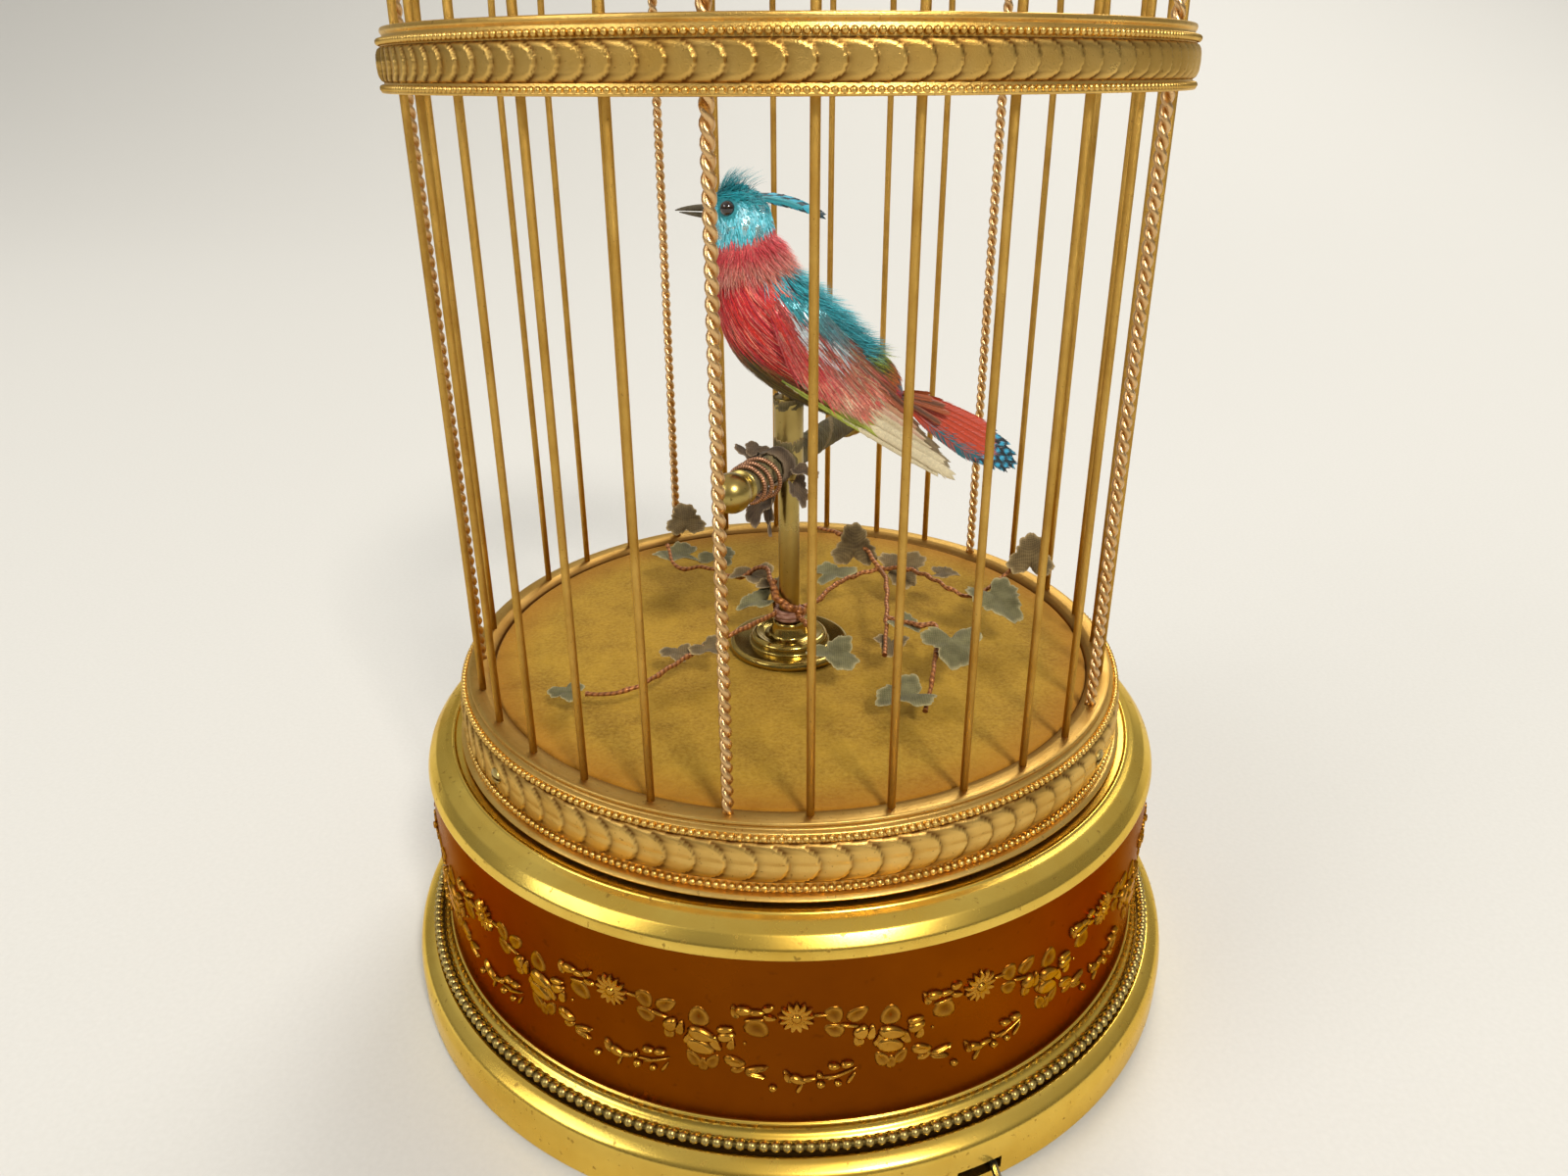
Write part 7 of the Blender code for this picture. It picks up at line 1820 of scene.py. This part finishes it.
def torn_collar(name, low, high):
    """A cuff of torn paper round the sleeve, with an uneven upper and lower edge."""
    top = high + (rough_edge(ARM_SIDES, 0.35, rng) - 1) * (high - low)
    bottom = low + (rough_edge(ARM_SIDES, 0.35, rng) - 1) * (high - low)
    rows = []
    for out, share_up in ((0.0, 0.0), (0.16, 0.1), (0.2, 0.5), (0.34, 0.92), (0.28, 1.0), (0.05, 0.98)):
        r = (SLEEVE_RADIUS + out + 0.06 * np.sin(5 * arm_turn + 9 * share_up)) * MM
        rows.append(np.stack([POST[0] + r * np.cos(arm_turn), POST[1] + r * np.sin(arm_turn),
                              (bottom + (top - bottom) * share_up) * MM], -1))
    marks = np.repeat([0.6, 0.2, 0.0, 0.3, 1.0, 1.0], ARM_SIDES)
    return surface(name, np.array(rows), branch_cloth, True, 40, marks)


collars = [torn_collar("low_collar", 108.6, 110.9), torn_collar("top_collar", 116.6, 118.6)]
perch = join_pieces("wrapped_branch", [branch, sleeve] + collars)
stand_in(perch, "perch_arm")
print("branch faces:", len(perch.data.polygons))

# %% [markdown]
# The balls at the ends are turned from brass and seat on a thin collar. The ring of copper wire near
# the front ball is a soft wire wound with thread, so it gets a finish with fine slanting stripes that
# follow its length.

# %% Balls and copper wire
BALL_RADIUS = 3.55
BALL_MIDDLE = 3.85


def arm_ball(name, node_name, end, outward):
    """A ball and its collar, spun round the branch's own line."""
    profile = [(0.0, 0.06), (2.3, 0.06), (3.0, 0.15), (3.15, 0.45), (2.9, 0.7), (2.4, 0.85), (2.3, 1.1)]
    first = -math.asin((BALL_MIDDLE - 1.3) / BALL_RADIUS)
    profile += [(BALL_RADIUS * math.cos(b), BALL_MIDDLE + BALL_RADIUS * math.sin(b))
                for b in np.linspace(first, math.pi / 2, 22)]
    r, away = np.split(np.array(profile), 2, axis=1)
    b = circle(64)
    points = from_arm(end + outward * away + 0 * b, r * np.cos(b), r * np.sin(b))
    stand_in(surface(name, points, ball_brass, smooth=40), node_name)


arm_ball("near_ball", "front_ball", -18.1, -1.0)
arm_ball("far_ball", "back_ball", 25.0, 1.0)


def wound(name, light, dark, metallic, turns, rough):
    """A thread wound round a wire: stripes across the UV map's length, slanted by its other side."""
    material, tree, shader = new_material(name)
    uv = node(tree, "ShaderNodeSeparateXYZ", None, {
        "Vector": node(tree, "ShaderNodeUVMap", {"uv_map": "place"}).outputs[0]}).outputs
    phase = math_node(tree, "MULTIPLY_ADD", uv["X"], turns, uv["Y"])
    stripe = math_node(tree, "PINGPONG", phase, 0.5)
    shade = between(tree, stripe, 0.0, 0.4)
    drift = between(tree, noise(tree, own_place(tree), 260.0, 4.0, 0.65), 0.35, 0.65)
    lit = mix(tree, drift, rgb(*light), rgb(*[0.6 * c for c in light]))
    feed(tree, shader, Base_Color=mix(tree, shade, rgb(*dark), lit), Metallic=metallic, Roughness=rough,
         Normal=bump(tree, shade, 0.0001, 0.7))
    return material


copper_thread = wound("copper_thread", (0.78, 0.42, 0.24), (0.20, 0.08, 0.035), 0.75, 2200.0, 0.33)
paper_stem = wound("paper_stem", (0.50, 0.190, 0.048), (0.15, 0.042, 0.008), 0.40, 900.0, 0.40)
rose_paper = wound("rose_paper", (0.46, 0.235, 0.150), (0.22, 0.085, 0.045), 0.05, 500.0, 0.65)
t = np.linspace(0, 1, 220)
turns = TURN * 3 * t
loose = COIL_INSIDE + 0.42 + (0.35 + 0.9 * t) * (0.5 - 0.5 * np.sin(turns))
coil_line = from_arm(-16.9 + 7.4 * t ** 1.35, loose * np.cos(turns), loose * np.sin(turns))
coil = wire("copper_coil", coil_line, 0.40 * MM, copper_thread, 10)
stand_in(coil, "arm_coil")
print("coil faces:", len(coil.data.polygons))

# %% [markdown]
# ## Leaves and vines
# Each leaf is one piece of painted cloth cut with scalloped shears. Round its middle its outline is
# R(a) = size (1 + 0.22 cos 3a + scallops), the cloth curls up towards its edge and sags at the tip, and
# a pale frayed line follows the cut.

# %% Leaf shape
LEAF_COLUMNS = 108
LEAF_RINGS = 9
LEAF_THICK = 0.32


def leaf_sheet(size, rng):
    """A leaf laid flat, with its stem at the origin and its tip at +x, and its frayed edge's marks:
    rings from the middle out over the top and back in underneath."""
    b = circle(LEAF_COLUMNS)
    scallop = np.abs(np.sin(6.5 * b + rng.uniform(0, 3))) * 0.13
    outline = (0.96 + 0.22 * np.cos(3 * b) + 0.08 * np.cos(2 * b) + scallop
               + rng.uniform(-0.03, 0.04, LEAF_COLUMNS))
    outline = outline * (1 - 0.45 * np.exp(-((b - math.pi) / 0.30) ** 2))
    s = np.linspace(0, 1, LEAF_RINGS)[:, None]
    x = 0.52 + 0.40 * s * outline * np.cos(b)
    y = 0.44 * s * outline * np.sin(b)
    fold = rng.uniform(0.05, 0.16)
    rise = fold * np.abs(y) * 1.6 + 0.05 * s ** 2 * np.sin(4 * b + rng.uniform(0, TURN))
    rise = rise - rng.uniform(0.0, 0.22) * np.clip(x - 0.4, 0, 1) ** 2
    half = LEAF_THICK / 2 * np.sqrt(np.clip(1 - s ** 6, 0.04, 1))
    vein = 0.25 * LEAF_THICK * np.exp(-(y / 0.03) ** 2) * (1 - s)
    tops = np.stack([x * size, y * size, rise * size + half + vein], -1)
    bottoms = np.stack([x * size, y * size, rise * size - half], -1)[::-1]
    pale = np.clip((s - 0.86) / 0.1, 0, 1) * rng.uniform(0.5, 1.0, LEAF_COLUMNS)
    return np.concatenate([tops, bottoms]) * MM, np.concatenate([pale, pale[::-1]])


def leaf_piece(name, at, heading, tilt, size, material, rng):
    """A leaf that grows from a point, turned to its heading and tilted up, both in degrees."""
    sheet, marks = leaf_sheet(size, rng)
    h, w = math.radians(heading), math.radians(tilt)
    out = np.array([math.cos(h) * math.cos(w), math.sin(h) * math.cos(w), math.sin(w)])
    left = np.array([-math.sin(h), math.cos(h), 0.0])
    placed = sheet.reshape(-1, 3) @ np.stack([out, left, np.cross(out, left)]) + at
    return surface(name, placed.reshape(sheet.shape), material, smooth=50, tone=marks)


print("a leaf's points:", 2 * LEAF_RINGS * LEAF_COLUMNS)

# %% [markdown]
# A dark cuff with torn edges sits on the branch just behind the copper wire. Six leaves grow from it
# on both sides, and the largest one hangs straight down.

# %% Leaves on the branch
rng = np.random.default_rng(23)
CUFF_ALONG = -5.75
ARM_LEAVES = (
    (0.0, -3.0, 190.0, -80.0, 10.2), (1.0, -3.0, 215.0, -62.0, 8.6), (2.9, 0.0, 160.0, 30.0, 5.6),
    (2.6, 1.2, 120.0, 20.0, 5.0), (-2.9, 0.0, -20.0, -10.0, 5.4), (-2.8, -1.0, -30.0, -60.0, 6.6))
cuff_rows = []
for out, step in ((0.0, -2.0), (0.35, -2.3), (0.6, -0.6), (0.6, 0.8), (0.4, 2.1), (0.0, 1.9)):
    r = 2.75 + out + 0.08 * np.sin(4 * arm_turn + step)
    torn = step + 0.35 * (rough_edge(ARM_SIDES, 1.0, rng) - 1) * (abs(step) > 1)
    cuff_rows.append(from_arm(CUFF_ALONG + torn, r * np.cos(arm_turn), r * np.sin(arm_turn)))
arm_foliage = [surface("cuff", np.array(cuff_rows), dark_cloth, True, 40,
                       np.repeat([1.0, 0.4, 0.0, 0.0, 0.5, 1.0], ARM_SIDES))]
for number, (aside, up, *way) in enumerate(ARM_LEAVES):
    arm_foliage.append(leaf_piece(f"arm_leaf_{number}", from_arm(CUFF_ALONG, aside, up), *way,
                                  dark_cloth, rng))
arm_foliage = join_pieces("branch_leaves", arm_foliage)
stand_in(arm_foliage, "arm_leaves")
print("branch leaf faces:", len(arm_foliage.data.polygons))

# %% [markdown]
# The vines are soft wires wrapped in strips of coppery paper, with leaves glued to them. They rise from
# a knot of paper round the foot of the post and wander over the velvet, touching it here and there.

# %% Vines
VELVET_TOP = 67.8
VINES = (
    ((-2.6, -4.3, 7.6), (-9.9, -11.8, 7.4), (-15.5, -15.5, 6.4), (-21.3, -22.5, 5.9), (-26.7, -29.1, 5.4),
     (-32.0, -30.3, 4.4), (-36.4, -29.4, 3.9)),
    ((-2.6, -1.7, 7.6), (-5.0, 9.6, 11.4), (-10.8, 11.2, 8.4), (-17.5, 16.5, 8.4), (-24.0, 16.6, 8.4),
     (-26.5, 22.0, 11.4)),
    ((2.6, -1.7, 7.6), (5.9, 2.0, 7.4), (8.2, 5.2, 8.4), (12.6, 11.0, 8.4), (19.1, 13.1, 9.4),
     (24.5, 10.8, 10.4), (29.0, 6.5, 10.4), (33.3, 2.0, 9.4), (37.4, 1.7, 8.4), (42.5, 4.7, 10.4),
     (47.0, 7.0, 13.4)),
    ((19.1, 13.1, 9.4), (15.2, 20.8, 12.4), (8.9, 27.7, 12.4), (4.4, 29.8, 12.4)),
    ((19.1, 13.1, 9.4), (19.8, 4.9, 10.4), (18.9, -8.2, 8.4), (17.7, -19.7, 6.4)),
    ((18.9, -8.2, 8.4), (24.4, -11.1, 8.4), (28.2, -12.6, 8.4), (25.9, -26.7, 7.4), (25.0, -30.5, 5.4),
     (23.6, -35.2, 3.6)),
    ((1.7, -5.4, 7.6), (4.4, -11.8, 7.6)))
LEAVES = (
    (-11.3, -16.8, 6.5, 190, 0, 0.75, 1), (-17.7, -18.9, 5.5, 160, 5, 0.7, 1),
    (-36.4, -29.4, 3.9, 170, 0, 0.7, 0), (-18.4, 24.7, 7.5, 190, 5, 1.15, 0),
    (-17.7, 19.0, 7.2, 60, 10, 0.9, 0), (-22.8, 28.6, 9.6, 100, 45, 0.95, 1),
    (-2.7, 9.2, 8.6, 165, 5, 1.0, 1), (1.3, 5.3, 8.3, 185, 10, 0.8, 1),
    (-1.9, 1.8, 8.4, 200, -5, 0.9, 0), (4.1, 11.9, 7.6, 10, 10, 1.05, 0),
    (14.0, 16.8, 7.1, 90, 65, 1.05, 1), (24.2, 20.2, 11.7, -90, -30, 1.1, 1),
    (28.5, 10.0, 9.7, -10, 5, 0.7, 1), (38.2, 3.2, 11.7, -60, -20, 1.3, 0),
    (48.6, 3.4, 10.7, 80, 60, 1.0, 1), (19.6, -11.5, 6.6, -95, -10, 0.7, 1),
    (19.5, -7.4, 8.0, -40, 0, 0.7, 0), (29.5, -14.7, 10.2, -85, -10, 1.2, 0),
    (26.0, -29.2, 4.5, 200, 0, 1.12, 0), (4.9, -17.6, 8.5, -50, -10, 1.05, 0))
FULL_LEAF = 9.6
rng = np.random.default_rng(31)
foliage = []


def above_velvet(points):
    """Places in metres from places in mm with their heights over the velvet."""
    return (np.asarray(points, float) + (0, 0, VELVET_TOP)) * MM


for number, route in enumerate(VINES):
    line = smooth_path(above_velvet(route), 30 * len(route))
    bend = np.linspace(0, 1, len(line))
    sway = 0.3 * np.sin(bend * 9 * len(route))[:, None] * (0.4, 0.5, 0.4) * MM
    line = line + sway * np.sin(bend * math.pi)[:, None]
    knots = np.abs(np.sin(bend * math.pi * (len(route) - 1)))
    uneven = rng.uniform(-0.03, 0.03, len(line))
    thickness = (0.50 - 0.14 * bend + 0.16 * (1 - knots) ** 3 + uneven) * MM
    foliage.append(wire(f"vine_{number}", line, thickness, paper_stem, 10))
for number, (x, y, height, heading, tilt, share, dark) in enumerate(LEAVES):
    foliage.append(leaf_piece(f"leaf_{number}", above_velvet((x, y, height)), heading, tilt,
                              share * FULL_LEAF, (leaf_cloth, olive_cloth)[dark], rng))
wrap_turns = np.linspace(0, 1, 150)
wrap_radius = 2.35 + 0.45 * np.sin(wrap_turns * math.pi)


def round_post(radius, angle, height):
    """A line round the post from radius in mm, angle in turns and height in mm."""
    return np.stack([POST[0] / MM + radius * np.cos(TURN * angle),
                     POST[1] / MM + radius * np.sin(TURN * angle), height + 0 * angle], -1) * MM


foliage.append(wire("foot_wrap", round_post(wrap_radius, 3 * wrap_turns, 73.9 + 2.1 * wrap_turns),
                    0.5 * MM, rose_paper, 8))
sash = np.linspace(0, 1, 90)
for lag in (0.0, 1.3):
    line = round_post(2.95 + 0.25 * np.sin(sash * 24 + lag), 0.44 + 0.56 * sash,
                      81.6 - 6.2 * sash ** 0.8 - 0.35 * lag)
    foliage.append(wire(f"sash_{lag:.0f}", line, 0.62 * MM, paper_stem, 10))
vines = join_pieces("vines", foliage)
stand_in(vines, "floor_vine")
print("vine faces:", len(vines.data.polygons))

# %% [markdown]
# ## Small metal parts
# The stop lever is a bent steel wire that comes out through a slot in the foot. The slot is cut from the
# rim with a box along the lever, as a milling cutter would do it.

# %% Slot and stop lever
def cutter_box(centre, ahead, size):
    """A closed box to cut with, its length along a level direction."""
    ahead = np.array([*ahead[:2], 0.0]) / np.linalg.norm(ahead[:2])
    across = np.array([-ahead[1], ahead[0], 0.0])
    corners = np.array([(x, y, z) for x in (-0.5, 0.5) for y in (-0.5, 0.5) for z in (-0.5, 0.5)]) * size
    points = centre + corners[:, :1] * ahead + corners[:, 1:2] * across + corners[:, 2:] * (0, 0, 1)
    faces = [(0, 1, 3, 2), (4, 6, 7, 5), (0, 4, 5, 1), (2, 3, 7, 6), (0, 2, 6, 4), (1, 5, 7, 3)]
    return tidy_mesh(new_piece("cutter", points, faces))


LEVER_PIVOT = np.array([26.335, -20.783, 5.1])
LEVER_TIP = np.array([34.683, -75.406, 5.1])
SLOT_SIZE = (12.0, 8.3, 2.6)
SLOT_BACK = 4.2
SLOT_ASIDE = 2.65
lever_ahead = unit(LEVER_TIP - LEVER_PIVOT)
lever_across = np.array([lever_ahead[1], -lever_ahead[0], 0.0])
slot_middle = LEVER_TIP - lever_ahead * SLOT_BACK + lever_across * SLOT_ASIDE
cut_away(plinth, cutter_box(slot_middle * MM, lever_ahead, np.array(SLOT_SIZE) * MM))
print("slot cut, rim faces:", len(plinth.data.polygons))

# %% [markdown]
# The upper cage is held by slotted brass screws whose heads stand just clear of the pressed leaves.
# Each is a small profile spun round a line that points outward, with its groove cut in afterwards.

# %% Fixing screws
SCREW_ANGLES = (-51.0, 57.0, 177.0)
SCREW_HEIGHT = (0, 0, 62.1)
SCREW_PROFILE = np.array([(0, 61.6), (1.6, 61.6), (1.6, 65.1), (1.45, 65.5), (1.0, 65.75), (0, 65.85)])
GROOVE_REACH = 65.8
GROOVE_SIZE = (1.2, 4.0, 0.55)
r, reach = np.split(SCREW_PROFILE, 2, axis=1)
b = circle(32)
for number, degrees in enumerate(SCREW_ANGLES, 1):
    out = np.array([math.sin(math.radians(degrees)), -math.cos(math.radians(degrees)), 0.0])
    across = np.array([out[1], -out[0], 0.0])
    points = ((r * np.cos(b))[..., None] * across + (r * np.sin(b))[..., None] * (0, 0, 1.0)
              + reach[..., None] * out + SCREW_HEIGHT) * MM
    screw = surface(f"gallery_screw_{number}", points, olive_brass, smooth=40)
    cut_away(screw, cutter_box((GROOVE_REACH * out + SCREW_HEIGHT) * MM, out, np.array(GROOVE_SIZE) * MM))
    stand_in(screw, f"fixing_screw_{number}")
print("screws:", len(SCREW_ANGLES))

# %% [markdown]
# ## Felt, wood and leather
# Under the foot lies a ring of green felt. The hidden movement keeps its solids, which are right as they
# are, and takes real finishes: brass plates and wheels, steel arbors, a blued spring, pear wood boards
# with rings from a stretched noise, and kid leather with a fine pebble of cells.

# %% Other finishes
movement_brass, steel, blued = (metal(*look) for look in (
    ("movement_brass", (0.76, 0.58, 0.24), (0.60, 0.43, 0.14), (0.20, 0.12, 0.04), 0.24, 120.0, 2500.0),
    ("bright_steel", (0.56, 0.56, 0.56), (0.40, 0.41, 0.42), (0.12, 0.10, 0.08), 0.22, 150.0, 3000.0),
    ("blued_steel", (0.11, 0.15, 0.27), (0.06, 0.08, 0.15), (0.03, 0.03, 0.04), 0.22, 150.0, 3000.0)))
felt, tree, shader = new_material("green_felt")
fuzz = noise(tree, own_place(tree), 1800.0, 5.0, 0.75)
feed(tree, shader, Base_Color=mix(tree, fuzz, rgb(0.02, 0.06, 0.035), rgb(0.07, 0.17, 0.10)),
     Roughness=0.95, Sheen_Weight=0.3, Normal=bump(tree, fuzz, 0.0003, 0.7))
pear_wood, tree, shader = new_material("pear_wood")
stretched = node(tree, "ShaderNodeMapping", None, {
    "Vector": own_place(tree), "Scale": (0.12, 1.0, 1.0)}).outputs[0]
rings = node(tree, "ShaderNodeTexWave", {"bands_direction": "Y"}, {
    "Vector": stretched, "Scale": 120.0, "Distortion": 4.0, "Detail": 4.0}).outputs["Fac"]
pores = noise(tree, stretched, 1400.0, 3.0)
wood_colour = mix(tree, rings, rgb(0.40, 0.22, 0.11), rgb(0.24, 0.115, 0.05))
wood_colour = mix(tree, between(tree, pores, 0.55, 0.7, 0.0, 0.5), wood_colour, rgb(0.10, 0.045, 0.02))
feed(tree, shader, Base_Color=wood_colour, Roughness=0.45, Normal=bump(tree, pores, 0.0001, 0.4))
kid, tree, shader = new_material("kid_leather")
cells = node(tree, "ShaderNodeTexVoronoi", None, {
    "Vector": own_place(tree), "Scale": 1500.0}).outputs["Distance"]
drift = noise(tree, own_place(tree), 120.0, 4.0)
feed(tree, shader, Base_Color=mix(tree, drift, rgb(0.62, 0.52, 0.38), rgb(0.42, 0.31, 0.19)),
     Roughness=0.6, Sheen_Weight=0.1, Normal=bump(tree, cells, 0.0002, 0.5))
BY_SLOT = {"felt": felt, "plate_brass": movement_brass, "steel": steel, "wood": pear_wood,
           "kid_leather": kid, "polished_brass": movement_brass}
kept = 0
for part in frame["record"]["subparts"]:
    solid = frame["nodes"][part["node"]]
    if solid.hide_render or part["material_slot"] not in BY_SLOT:
        continue
    finish = blued if part["node"] == "mainspring" else BY_SLOT[part["material_slot"]]
    for slot in solid.material_slots:
        slot.material = finish
    kept += 1
print("solids with a new finish:", kept)
